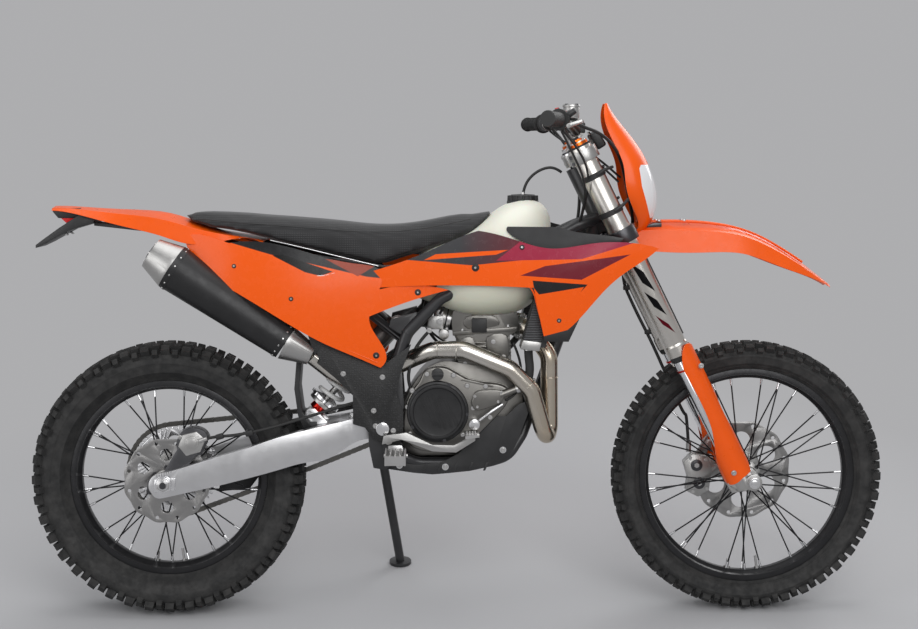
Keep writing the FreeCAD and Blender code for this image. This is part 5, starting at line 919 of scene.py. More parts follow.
def tread(spec):
    """All the lugs of a tyre."""
    pitches, half = bpy.context.scene.motorcycle_sizes.lug_pitches, spec["half"]
    rows = []
    for phase, y, length, width in spec["rows"]:
        tilt = math.radians(62) * (y / half) ** 2
        pair = joined([lug(length, width, spec["lug"] + 5, side * y, half, side * tilt) for side in (1, -1)])
        rows.append(spread(pair, round_axle(spec["centre"], pitches, TURN * phase / pitches)))
    return rows


def casing(spec):
    """Tyre body under the lugs, with its beads and sidewall ridges."""
    centre, half, bead, bead_half = (spec[key] for key in ("centre", "half", "bead", "bead_half"))
    height, crown = 348 - bead, 348 - spec["lug"]
    dense = smoothed([(bead + 1, bead_half - 1), (bead + 12, bead_half + 1), (bead + height * 0.3, half * 0.80),
        (bead + height * 0.34, half * 0.85), (bead + height * 0.5, half * 0.92), (bead + height * 0.56, half * 0.95),
        (crown - 16, half * 0.92), (crown - 8, half * 0.82), (crown - 3, half * 0.55), (crown, half * 0.2)])
    inner = [(crown - 14, half * 0.3), (bead + height * 0.4, half * 0.75), (bead + 1, bead_half - 8)]
    section = there_and_back(dense) + [(r, -y) for r, y in reversed(inner)] + inner
    pieces = [smooth(turned(section, centre, 120), 40)]
    for side in (1, -1):
        for share, width in ((0.24, 1.6), (0.62, 1.4)):
            radius = bead + height * share
            y = side * (bead_half + (half * 0.94 - bead_half) * min(1, share * 1.55) + 0.2)
            pieces.append(turned([(radius - width, y - side * 2.5), (radius - width * 0.5, y + side * 0.9),
                (radius + width * 0.5, y + side * 0.9), (radius + width, y - side * 2.5)], centre, 120))
    return pieces


def rim_ring(spec):
    """Drop-centre rim with rolled flanges."""
    bead, half, well = spec["bead"], spec["rim_half"], spec["bead"] - 14
    side = [(well, half * 0.3), (well + 1, half * 0.36), (bead - 6, half * 0.62), (bead - 4.5, half * 0.9),
        (bead - 3.5, half), (bead + 9, half), (bead + 11, half - 1), (bead + 11, half - 3.4),
        (bead + 8, half - 4), (bead, half - 4.2), (bead, half * 0.56), (well + 4.2, half * 0.34)]
    return smooth(turned(there_and_back(side), spec["centre"], 144), 30)


def rim_fittings(spec):
    """The valve and the rim lock."""
    pieces = []
    for angle, radius, length in ((math.radians(172), 3.2, 34), (math.radians(190), 4.2, 26)):
        way = Vector((math.sin(angle), 0, math.cos(angle)))
        start = spec["centre"] + way * (spec["bead"] - 13) * MM
        pieces.append(rod(start, start - way * length * MM, radius))
        pieces.append(rod(start, start - way * 6 * MM, radius * 2, sides=6))
    return pieces


def lacing(spec):
    """Crossed spokes with their elbows, and the nipples at the rim."""
    bars, nipples = [], []
    for side in SIDES:
        for i in range(SPOKES_A_SIDE):
            odd = i % 2
            sweep = SPOKE_SWEEP if odd else -SPOKE_SWEEP
            middle = TURN * i / SPOKES_A_SIDE + side * math.pi / SPOKES_A_SIDE / 2
            foot_y = side * (spec["flange_y"] + 5.9 + (4.3 if odd else 0))
            foot, tip = (spec["centre"] + mm(radius * math.cos(angle), y, radius * math.sin(angle))
                for radius, angle, y in ((spec["flange"] - 4, middle - sweep, foot_y),
                    (spec["bead"] - 14.3, middle + sweep, side * 6)))
            way = (tip - foot).normalized()
            inward = mm(y=-side if odd else side)
            bars += [rod(foot, tip - way * 2 * MM, SPOKE_RADIUS, sides=8),
                rod(foot + inward * 1.5, foot + inward * 7, SPOKE_RADIUS + 0.1, sides=8)]
            nipples.append(rod(tip - way * 17 * MM, tip, 3, 3.4, sides=8))
    return bars, nipples


def hub_body(spec):
    """Hub barrel with lightened flanges and bearing collars."""
    barrel, flange, y, end, bore = (spec[key] for key in ("barrel", "flange", "flange_y", "length", "bore"))
    half = [(bore, end), (bore + 8, end), (bore + 9, end - 1), (bore + 9, end - 9),
        (barrel - 1, end - 10), (barrel, end - 11.5), (barrel, y + 8), (barrel + 2, y + 5),
        (flange - 1, y + 3), (flange, y + 2), (flange, y - 2), (flange - 1, y - 3),
        (barrel + 2, y - 4), (barrel - 2, y - 9), (barrel - 4, 6)]
    return smooth(turned(there_and_back(half), spec["centre"], 64), 35)


def six_bolts(name, body, centre, *sizes):
    """Bolts that hold a disc or the sprocket."""
    fitted(ring_bolts(centre, 6, *sizes), name, "dark_bolt", 30, body=body)


class WheelsOperator(PieceOperator, bpy.types.Operator):
    """Tyres with lugs, rims, laced spokes, hubs and disc bolts"""
    bl_idname = "motorcycle.wheels"
    bl_label = "Wheels"
    steps = ("wheels", "disc_bolts", "sprocket")

    def wheels(self):
        for name, spec in WHEELS.items():
            wheel = {"body": name + "_wheel"}
            fitted(casing(spec) + tread(spec), name + "_tyre_rubber", "tyre_rubber", replaces=[name + "_tyre"], **wheel)
            fitted(rim_ring(spec), name + "_rim_ring", "black_rim", replaces=[name + "_rim"], **wheel)
            fitted(rim_fittings(spec), name + "_rim_fittings", "steel", **wheel)
            bars, nipples = lacing(spec)
            fitted(bars, name + "_laced_spokes", "spoke_black", 50, replaces=[name + "_spokes"], **wheel)
            fitted(nipples, name + "_nipples", "polished_alloy", 50, **wheel)
            fitted(hub_body(spec), name + "_hub_body", "cast_alloy", **wheel)
            cast(name + "_hub", name + "_hub_bosses", "cast_alloy", 1, **wheel)
            cast(name + "_disc", name + "_brake_disc", "brushed_disc", 0.3, **wheel)

    def disc_bolts(self):
        six_bolts("rear_disc_bolts", "rear_wheel", REAR, 34, -74, -1, 4.5)
        six_bolts("front_disc_bolts", "front_wheel", FRONT, 34, 60, 1, 4.5)

    def sprocket(self):
        cast("rear_sprocket", "sprocket_ring", "polished_alloy", 0.3, body="rear_wheel")
        six_bolts("sprocket_bolts", "rear_wheel", REAR, 47, 83, 1, 5, math.radians(30))


# Chain

CHAIN_Y = 80
CHAIN_PITCH = 15.875
CHAIN_ROLLER = 5
REAR_TEETH, FRONT_TEETH = 48, 14
REAR_PITCH_RADIUS, FRONT_PITCH_RADIUS = (CHAIN_PITCH / (2 * math.sin(math.pi / n)) for n in (REAR_TEETH, FRONT_TEETH))
COUNTERSHAFT_SHARES = (41.4, 33.4)
COUNTERSHAFT = at(*COUNTERSHAFT_SHARES)
CHAIN_SAG = 5


def arc(centre, radius, start, reach, steps):
    """Points on an arc in the side view."""
    angles = [start + reach * step / steps for step in range(steps + 1)]
    return [Vector((centre.x + radius * math.cos(angle), 0, centre.z + radius * math.sin(angle))) for angle in angles]


def chain_route():
    """Closed row of points on the chain's pitch line, in millimetres, closely spaced."""
    rear, front = REAR / MM, COUNTERSHAFT / MM
    run = front - rear
    slope = math.atan2(run.z, run.x)
    swing = math.acos((REAR_PITCH_RADIUS - FRONT_PITCH_RADIUS) / run.length)
    behind = arc(rear, REAR_PITCH_RADIUS, slope + swing, TURN - 2 * swing, 60)
    ahead = arc(front, FRONT_PITCH_RADIUS, slope - swing, 2 * swing, 30)
    lower = [behind[-1].lerp(ahead[0], share) - Z_AXIS * CHAIN_SAG * math.sin(math.pi * share)
        for share in (step / 30 for step in range(1, 30))]
    return behind + lower + ahead


def evenly(route, pitch):
    """Points one pitch apart round a closed route, with the pitch eased to close the loop."""
    closed = route + [route[0]]
    lengths = [0]
    for a, b in zip(closed, closed[1:]):
        lengths.append(lengths[-1] + (b - a).length)
    count = 2 * round(lengths[-1] / pitch / 2)
    points, seg = [], 0
    for i in range(count):
        target = lengths[-1] * i / count
        while lengths[seg + 1] < target:
            seg += 1
        points.append(closed[seg].lerp(closed[seg + 1], (target - lengths[seg]) / (lengths[seg + 1] - lengths[seg])))
    return points


def link_plate(y_from, y_to):
    """Waisted side plate of a link, from the origin one pitch along x."""
    outline = []
    for x, start, waist in ((0, 120, -5.2), (CHAIN_PITCH, -60, 5.2)):
        side = arc(Vector((x, 0, 0)), 6.8, math.radians(start), math.radians(120), 6)
        outline += [(point.x, point.z) for point in side]
        outline.append((CHAIN_PITCH / 2, waist))
    return slab([(x / SHARE_IN_MM, z / SHARE_IN_MM) for x, z in outline], y_from, y_to)


def front_sprocket():
    """Toothed wheel on the countershaft, with its nut."""
    root = FRONT_PITCH_RADIUS - CHAIN_ROLLER - 0.3
    inner, outer, hub = CHAIN_Y - 2.8, CHAIN_Y + 2.8, CHAIN_Y + 4.6
    profile = [(6, inner), (root, inner), (root, outer), (22, outer), (20, hub), (6, hub)]
    wheel = turned(profile, COUNTERSHAFT, 56)
    tooth = block(mm(0, CHAIN_Y, FRONT_PITCH_RADIUS - 2), (5, 4.6, 10))
    teeth = spread(tooth, round_axle(COUNTERSHAFT, FRONT_TEETH, math.pi / FRONT_TEETH))
    return [wheel, teeth, across(*COUNTERSHAFT_SHARES, 10, 55, CHAIN_Y + 12, 28),
        across(*COUNTERSHAFT_SHARES, 15, hub, CHAIN_Y + 10, 6)]


class ChainOperator(PieceOperator, bpy.types.Operator):
    """Roller chain laid link by link round both sprockets"""
    bl_idname = "motorcycle.chain"
    bl_label = "Chain"
    steps = ("chain",)

    def chain(self):
        points = evenly(chain_route(), CHAIN_PITCH)
        places = [Matrix.Translation(a * MM) @ Matrix.Rotation(-math.atan2((b - a).z, (b - a).x), 4, "Y")
            for a, b in zip(points, points[1:] + points[:1])]
        links = []
        for first, inset, reach, radius, half, sides in ((0, 3.4, 5.2, 5, 3.4, 12), (1, 5.3, 7.3, 2.6, 8.2, 10)):
            plates = [link_plate(CHAIN_Y + inset, CHAIN_Y + reach), link_plate(CHAIN_Y - reach, CHAIN_Y - inset)]
            pins = [rod(mm(x, CHAIN_Y - half), mm(x, CHAIN_Y + half), radius, sides=sides) for x in (0, CHAIN_PITCH)]
            links.append(spread(joined(plates + pins), places[first::2]))
        fitted(links, "drive_chain", "chain_steel", 40, replaces=("chain_drive",))
        fitted(front_sprocket(), "front_sprocket", "dark_bolt", 30, slot="chain_steel")


# Engine

COVER_Y = -104
CLUTCH_SHARES = (46.3, 35.6)
CLUTCH_PROFILE = [(78, -104), (78, -109), (76, -112.5), (71, -114), (69.5, -118.5), (66, -121),
    (62.5, -121), (60, -118), (57.5, -117.2), (30, -118), (0.2, -118.4), (0.2, -104)]
WAVE = ((0, 1), (0.3, 1), (1.1, 0.25), (1.9, -0.3), (2.5, -1), (2.2, -1), (1.5, -0.25), (0.7, 0.3))
SIDE_COVER_SHARES = [(43.2, 40.7), (44, 42.4), (45.4, 43.1), (47.5, 43.1), (49.2, 42.3), (51.6, 41), (54, 40.5),
    (56.6, 40.2), (58.2, 39.4), (58.5, 38), (57.6, 36.2), (55.4, 33.8), (52.6, 31), (50.4, 29.4), (47, 28.6),
    (43.2, 29), (41.2, 30.3), (40.4, 32.8), (40.8, 36.4), (41.8, 38.8)]
SIDE_COVER_BOLTS = [(44.5, 42), (51.3, 40), (54.4, 39.9), (52.3, 36.2), (50.6, 31.6), (41.2, 36.4), (42, 39.2),
    (41.6, 31.8), (57.7, 38.6), (45.6, 29.3), (49, 41.8), (55.2, 34.6)]
LEFT_COVER_CENTRE = at(52.6, 35.6)
LEFT_COVER_PROFILE = [(66, 68), (66, 76), (64, 79.5), (59, 81), (57, 88), (53, 94), (45, 98.5),
    (30, 101), (28, 99), (0.2, 99.6), (0.2, 68)]
THROTTLE_FROM = at(49.2, 50.4)
THROTTLE_FLOW = (at(43.8, 51.6) - THROTTLE_FROM).normalized()


def on_face(y, way, *shares):
    """Bolt places on a side face or on top of one."""
    return [(at(*share, y), way) for share in shares]


def band(centre, way, radius, width=9, height=1.6):
    """Hose clamp or pipe sleeve round a tube."""
    half = way.normalized() * width / 2 * MM
    side = way.orthogonal().normalized()
    return joined([rod(centre - half, centre + half, radius + height, sides=28),
        rod(centre - half * 1.15, centre + half * 1.15, radius + height * 0.45, sides=28),
        block(centre + side * (radius + height + 2) * MM, (6, 6, 7))])


def weld(centre, way, radius, bead=1.3):
    """Weld bead round a tube."""
    bpy.ops.mesh.primitive_torus_add(major_radius=radius * MM, minor_radius=bead * MM, major_segments=36,
        minor_segments=8, location=centre, rotation=upright(way))
    return bpy.context.object


def coaxial(start, way, *lengths):
    """Rods along a way: from, to, radius, end radius and sides of each."""
    return [rod(start + way * low * MM, start + way * high * MM, *sizes) for low, high, *sizes in lengths]


class EngineOperator(PieceOperator, bpy.types.Operator):
    """Side covers, clutch cover, pump, cylinder head, throttle body and their bolts"""
    bl_idname = "motorcycle.engine"
    bl_label = "Engine"
    steps = ("right_side", "clutch", "pump", "left_side", "cylinder", "exhaust_port", "throttle", "lines")

    def right_side(self):
        """Side cover with its lip, ribs and bosses."""
        x0, z0 = CLUTCH_SHARES
        wider = [(x0 + (x - x0) * 1.015, z0 + (z - z0) * 1.015) for x, z in SIDE_COVER_SHARES]
        pieces = [slab(rounded_row(*SIDE_COVER_SHARES), -74, COVER_Y, 5, 3),
            slab(rounded_row(*wider), -74, -80, 1),
            slab([(55.6, 35.2), (56, 35.6), (52.4, 32.4), (52, 32)], COVER_Y - 1.5, COVER_Y + 2, 0.6),
            slab([(50.2, 40.9), (50.6, 41.2), (55.8, 40), (55.6, 39.7)], COVER_Y - 1.5, COVER_Y + 2, 0.6)]
        for share in SIDE_COVER_BOLTS:
            pieces.append(rod(at(*share, COVER_Y + 7), at(*share, COVER_Y - 1.5), 7.35, 6.72, 18))
        fitted(pieces, "right_side_cover", "engine_grey", 35, replaces=["engine_covers"])
        bolted(on_face(COVER_Y - 1.5, -Y_AXIS, *SIDE_COVER_BOLTS), "right_cover_bolts", 4.2, 4.5)

    def clutch(self):
        """Round cover with five wavy ridges."""
        pieces = [smooth(turned(CLUTCH_PROFILE, at(*CLUTCH_SHARES)), 30)]
        for i in range(5):
            start, reach = 43.4 + i * 0.95, 2.9 - 0.35 * abs(i - 2)
            wave = [(start + x, CLUTCH_SHARES[1] + z * reach) for x, z in WAVE]
            pieces.append(slab(wave, -119.6, -116.5, 0.4))
        fitted(pieces, "clutch_outer_cover", "clutch_black", replaces=["clutch_cover"])
        fitted(ring_bolts(at(*CLUTCH_SHARES), 5, 73.5, -112.5, -1, 3.6, 0.4), "clutch_cover_bolts", "dark_bolt", 30)

    def pump(self):
        """Oil filler, water pump and the round boss with its arm."""
        cap = [across(46.3, 42, 15, -118, COVER_Y, 28),
            slab([(45.3, 41.8), (47.3, 41.8), (47.3, 42.3), (45.3, 42.3)], -122, -117, 1)]
        fitted(rounded(cap, 1), "oil_filler_cap", "black_plastic", 35)
        cover = slab(rounded_row((52.2, 38), (53, 39.2), (56.4, 39.4), (57.5, 38.8), (57.2, 37.4), (54.6, 36.2),
            (52.8, 35.9), (52.1, 36.8)), -117, COVER_Y, 3.5, 3)
        neck = rod(at(56.8, 38.4, -110), at(59.6, 39.4, COVER_Y), 10, 9)
        fitted([cover, neck], "water_pump_cover", "engine_grey", 35)
        bolted(on_face(-115, -Y_AXIS, (52.6, 38.3), (57, 38.9), (53, 36.5), (56.5, 37.4)), "pump_bolts", 3.6, 5)
        boss = [across(52.5, 33.5, 13.5, -123, COVER_Y, 28), across(52.5, 33.5, 10.5, -125, -123, 28),
            tube(run((53.3, 34.2, -120), (55.2, 35.6, -118), (57.3, 36.9, -112)), 3.6)]
        fitted(rounded(boss, 0.8), "pump_shaft_cap", "polished_alloy", 35)

    def left_side(self):
        """Ignition cover, sprocket guard, starter and their bolts."""
        cover = smooth(turned(LEFT_COVER_PROFILE, LEFT_COVER_CENTRE, 80), 30)
        flange = slab(rounded_row((47.4, 37.6), (48.8, 40.6), (51.6, 41.6), (56, 40.8), (58.4, 37.6), (57.6, 33.4),
            (54.6, 30.6), (50.6, 30.4), (47.8, 32.8)), 68, 75, 1.5)
        starter = rounded(across(49.4, 42.8, 24, 8, 66, 28), 4, 3)
        fitted([cover, flange, starter], "left_side_cover", "engine_grey", 35)
        guard = slab(rounded_row((38.6, 34.6), (39.4, 36.6), (42, 37.2), (44.2, 35.6), (44.6, 33), (43.4, 30.8),
            (41.2, 30.2)), 90.5, 97, 1.5)
        posts = [across(*share, 6, 68, 91, 20) for share in ((39.6, 36.4), (44.2, 34.6), (42.6, 30.9))]
        fitted([guard] + posts, "sprocket_guard", "black_plastic", 35)
        heads = ring_bolts(LEFT_COVER_CENTRE, 7, 61.5, 79.5, 1, 3.8, 0.2)
        more = [bolt(*place, 4.2, 5) for place in on_face(97, Y_AXIS, (39.6, 36.2), (44, 34.6), (42.6, 31.2))]
        fitted([heads, joined(more)], "left_cover_bolts", "steel", 30)

    def cylinder(self):
        """Cylinder with cooling ribs, head, cam cover and coil."""
        pieces = []
        for i in range(6):
            rise, back = 0.62 * i, 49.6 - 0.02 * i
            pieces.append(slab([(back, 44 + rise), (58.9, 43.4 + rise), (58.9, 43.62 + rise), (back, 44.22 + rise)],
                -62.5, 62.5, 0.5))
        pieces += [slab([(48.9, 48.2), (59.9, 49), (59.9, 49.7), (48.9, 48.9)], -64, 64, 1.2),
            slab(rounded_row((49.6, 51.2), (49.8, 53), (51.2, 54.2), (53.6, 54.7), (57.2, 54.1), (59.2, 52.4),
                (59.8, 51)), -52, 52, 5, 3),
            slab([(49.8, 43.2), (59.2, 42.4), (59.2, 43.2), (49.8, 44)], -64, 64, 1),
            slab(rounded_row((50.4, 44.4), (50.2, 47.4), (52.4, 47.8), (53, 44.2)), -66, -58, 3),
            slab(rounded_row((55.2, 44), (54.8, 48), (58.2, 48.2), (58.2, 43.8)), -65, -58, 3),
            slab(rounded_row((51.4, 49.4), (51.2, 51.4), (55.4, 51.8), (56.8, 50)), -64, -58, 2.5)]
        fitted(pieces, "cylinder_castings", "engine_grey", 35)
        cast("cylinder", "cylinder_block", "engine_grey", 2)
        heads = [place for y in (-56, 56) for place in on_face(y, Z_AXIS, (50.6, 49), (58.4, 49.7))]
        heads += [place for side in SIDES for place in on_face(side * 64, Y_AXIS * side, (51, 43.4), (57.6, 43.4))]
        heads += on_face(-52, -Y_AXIS, (50.8, 53), (54.6, 54), (58.6, 52.4))
        heads += on_face(-66, -Y_AXIS, (51.2, 46.8), (52.4, 45), (55.8, 47.2), (57.6, 44.6))
        bolted(heads, "cylinder_head_bolts", 4.2, 5)
        coil = [block(at(53.4, 51.4, -38), (34, 26, 40)), rod(at(53.4, 52.4, -38), at(53.4, 54.4, -30), 9),
            block(at(53.4, 50, -67), (38, 14, 36))]
        fitted(rounded(coil, 2), "ignition_coil", "black_plastic", 35)

    def exhaust_port(self):
        """Flange of the header with its studs and nuts."""
        port = at(59.8, 49.9, -19)
        way = (at(62.2, 49.2, -35.6) - at(59.6, 50, -19.3)).normalized()
        pieces = coaxial(port, way, (2, 9, 31), (-10, 22, 24.5))
        for side in SIDES:
            place = port + Y_AXIS.cross(way).normalized() * side * 27 * MM
            pieces += coaxial(place, way, (-4, 20, 3), (9, 15, 6, 6, 6))
        fitted(pieces, "exhaust_flange", "steel", 35)

    def throttle(self):
        """Throttle body with its clamps and screws."""
        body = coaxial(THROTTLE_FROM, THROTTLE_FLOW, (22, 52, 31, 31, 32))
        body += [across(47.4, 48.4, 13, -66, -8, 24), across(47.4, 48.4, 10, -68, -66, 24),
            block(at(46, 50.3, -34), (38, 16, 34)), across(46.7, 52, 9, -44, 44, 20)]
        fitted(rounded(body, 1.2), "throttle_castings", "cast_alloy", 35)
        bands = [band(THROTTLE_FROM + THROTTLE_FLOW * place * MM, THROTTLE_FLOW, radius)
            for place, radius in ((14, 29), (60, 33))]
        fitted(bands, "throttle_clamps", "steel", 35)
        bolted(on_face(-48, -Y_AXIS, (44.9, 49), (46.7, 50.6)), "throttle_screws", 5.2, 5)

    def lines(self):
        """Coolant hoses, oil line, wiring and the spark lead."""
        fitted([tube(run(*points), radius) for radius, points in (
            (11, ((59.6, 39.4, -104), (61.4, 40, -100), (62, 42.6, -104), (61.6, 45.4, -108), (61.6, 47.4, -112))),
            (11, ((58.8, 53.4, -20), (60.4, 55.4, -40), (61.8, 57, -70), (63.4, 58, -92))),
            (11, ((58.8, 53.4, 20), (60.4, 55.4, 40), (61.8, 57, 70), (63.4, 58, 92))),
            (9, ((61.2, 47.6, 112), (59.6, 45.6, 96), (57.6, 44, 84), (54, 43.4, 78), (50.6, 42.6, 74))),
        )], "coolant_hoses", "soft_rubber")
        fitted([band(at(*place), at(*end) - at(*start), radius) for place, start, end, radius in (
            ((59.9, 39.5, -103.5), (59.6, 39.4), (61.4, 40), 11), ((61.65, 46.4, -110), (0, 0), (0, 1), 11),
            ((59.4, 54.2, -27), (58.8, 53.4, -20), (60.4, 55.4, -40), 11),
            ((59.4, 54.2, 27), (58.8, 53.4, 20), (60.4, 55.4, 40), 11),
            ((60.6, 46.8, 104), (61.2, 47.6, 112), (59.6, 45.6, 96), 9),
        )], "hose_clamps", "steel", 35)
        fitted([tube(run(*points), radius) for radius, points in (
            (3.5, ((53.4, 54.2, -30), (53, 56, -46), (50.4, 56.4, -60), (47.6, 55, -64), (45, 53.4, -50))),
            (3.2, ((46.7, 51.8, -44), (47.8, 54, -58), (50.6, 55.6, -70), (54.8, 57.4, -72), (60.4, 61, -50))),
            (4.2, ((44.6, 48.6, -50), (42.6, 46.6, -70), (41.6, 43.4, -78), (41.2, 40.4, -80), (42, 38.6, -78))),
            (3.2, ((57.8, 37.6, -112), (59.4, 38, -96), (60.6, 40.8, -80), (60.4, 44.4, -70), (59.2, 47, -62))),
            (4, ((50, 43, 60), (47, 45.2, 76), (44.4, 48.4, 80), (43.4, 52, 74), (44.2, 55.2, 60))),
            (3, ((56, 42, 70), (53, 44, 80), (49, 45.4, 84), (45.4, 47.4, 84), (42.6, 50.6, 78))),
        )], "engine_wiring", "soft_rubber")


# Exhaust

SILENCER_REAR, SILENCER_FRONT = at(1.8, 60.2, -100), at(20.7, 47.4, -100)
SILENCER_WAY = (SILENCER_REAR - SILENCER_FRONT).normalized()
# Weld beads on the header: side-view shares, y and the pipe's way there.
HEADER_WELDS = (((62, 49.25, -34.5), (2.4, -1, -0.6)), ((65.45, 41, -54), (0, 0, -1)),
    ((61.6, 40.2, -108), (-1.6, -0.3, 2)), ((49.4, 45.9, -109), (-1, 0, 0.05)),
    ((46.6, 46.1, -100), (-1, 0.35, 0)))


class ExhaustOperator(PieceOperator, bpy.types.Operator):
    """Header with its weld beads, and the silencer with its bands and rivets"""
    bl_idname = "motorcycle.exhaust"
    bl_label = "Exhaust"
    steps = ("header", "silencer", "tip")

    def header(self):
        cast("exhaust_header", "header_pipe", "header_steel", 0, 60)
        beads = [weld(at(*place), Vector(way), 22.2) for place, way in HEADER_WELDS]
        fitted(beads, "header_welds", "header_steel", 50)

    def silencer(self):
        """Tapered body with two riveted bands."""
        length = (SILENCER_REAR - SILENCER_FRONT).length
        side = SILENCER_WAY.cross(Y_AXIS).normalized()
        pieces, rivets = [rod(SILENCER_FRONT, SILENCER_REAR, 45, 59, 48)], []
        for share, radius in ((0.03, 46.5), (0.97, 59.6)):
            middle = SILENCER_FRONT + SILENCER_WAY * length * share
            wide = 45.9 + 14 * share
            pieces += coaxial(middle, SILENCER_WAY, (-5, 5, wide, wide, 48))
            for out in around(SILENCER_WAY, side, 14):
                rivets += coaxial(middle, out, (radius, radius + 1.4, 2.6, 1.8, 10))
        fitted(pieces, "silencer_body", "silencer_black", 35, replaces=["silencer"])
        fitted(rivets, "silencer_rivets", "steel", 40)
        cast("silencer_caps", "silencer_ends", "cast_alloy", 1.2)

    def tip(self):
        """Hollow tail pipe and the bolts of the end cap."""
        tip = SILENCER_REAR + SILENCER_WAY * 62 * MM
        pipe = rod(SILENCER_REAR + SILENCER_WAY * 20 * MM, tip + SILENCER_WAY * 4 * MM, 18.6, 18.6, 32)
        fitted(sunk(pipe, SILENCER_WAY, 2.2, 30), "tail_pipe", "dark_bolt", 40, slot="silencer_black")
        directions = around(SILENCER_WAY, SILENCER_WAY.cross(Y_AXIS).normalized(), 6, 0.5)
        heads = [(tip - SILENCER_WAY * 3 * MM + out * 29 * MM, SILENCER_WAY) for out in directions]
        bolted(heads, "tail_cap_bolts", 3.2, 6)


# Body

SEAT_CAP = 5
SEAT_SHRINK = 2.5
SEAT_SEAM = ((6, 5.2, 68.2), (12, 5.8, 67.6), (18, 6.4, 67.2), (26, 6.5, 66.6), (34, 6, 65.9),
    (41, 5.6, 66.1), (47, 5.1, 67), (52, 4.5, 68.1))
# Half-widths of the panels in shares, over a grid of side-view shares.
SHROUD_GRID = ((31, 40, 50, 60, 70, 84), (48, 55, 61, 67),
    ((7.9, 8.1, 8.1, 7.6), (8.3, 8.7, 8.6, 7.8), (9.4, 9.9, 9.6, 8.4), (11, 11.7, 11.4, 9.8),
    (12, 12.8, 13, 12), (12.2, 13, 13.4, 13)))
PANEL_GRID = ((2, 12, 22, 32, 42, 50), (42, 50, 58, 66),
    ((5, 5.4, 5.4, 4.8), (8.4, 8.9, 8.7, 7.4), (9, 9.6, 9.3, 8), (8.6, 9.1, 8.8, 7.6),
    (8.4, 8.7, 8.5, 7.4), (8.8, 9.1, 8.9, 7.8)))
PANEL_SKIN = 3.5
RADIATOR_FRONT = ((63.2, 46.2), (67.6, 62.4))
RADIATOR_SIDES = (86, 152)
CAP_PROFILE = [(36, 0), (36, 13), (34, 17.5), (29, 20), (12, 21), (11, 18), (0.3, 18),
    (0.3, 0)]
CAP_RING_PROFILE = [(41, -5), (41, 2), (39.5, 4), (35, 4), (35, -5)]


def grid_y(grid, x, z):
    """Half-width in shares of a body panel at a side-view share."""
    xs, zs, rows = grid
    i = max(k for k in range(len(xs) - 1) if xs[k] <= x or k == 0)
    j = max(k for k in range(len(zs) - 1) if zs[k] <= z or k == 0)
    u = (x - xs[i]) / (xs[i + 1] - xs[i])
    v = (z - zs[j]) / (zs[j + 1] - zs[j])
    low, high = (rows[i][k] * (1 - u) + rows[i + 1][k] * u for k in (j, j + 1))
    return low * (1 - v) + high * v


def on_panel(grid, share, side, lift=0):
    """Point on the outer face of a body panel and its outward direction."""
    x, z = share
    slope_x = (grid_y(grid, x + 1, z) - grid_y(grid, x - 1, z)) / 2
    slope_z = (grid_y(grid, x, z + 1) - grid_y(grid, x, z - 1)) / 2
    y = grid_y(grid, x, z) * SHARE_IN_MM + PANEL_SKIN + lift
    return at(x, z, side * y), Vector((-slope_x, side, -slope_z)).normalized()


def beads(side, *rows):
    """Raised beads that follow the body panels: grid, radius and shares of each."""
    return [tube([on_panel(grid, share, side, -radius * 0.3)[0] for share in shares], radius, 3)
        for grid, radius, *shares in rows]


def swollen(piece, cap):
    """Blown-up foam: remeshed, pushed out by a short cloth run and held within cap millimetres."""
    applied(piece, "REMESH", mode="VOXEL", voxel_size=6 * MM)
    start = [vertex.co.copy() for vertex in piece.data.vertices]
    cloth = piece.modifiers.new("cloth", "CLOTH")
    cloth.settings.use_pressure = True
    cloth.settings.uniform_pressure_force = 4
    cloth.settings.effector_weights.gravity = 0
    cloth.point_cache.frame_start = 1
    cloth.point_cache.frame_end = 20
    for frame_number in range(1, 21):
        bpy.context.scene.frame_set(frame_number)
    bpy.ops.object.modifier_apply(modifier=cloth.name)
    bpy.context.scene.frame_set(1)
    for vertex, before in zip(piece.data.vertices, start):
        move = vertex.co - before
        if move.length > cap * MM:
            vertex.co = before + move.normalized() * cap * MM
    return piece


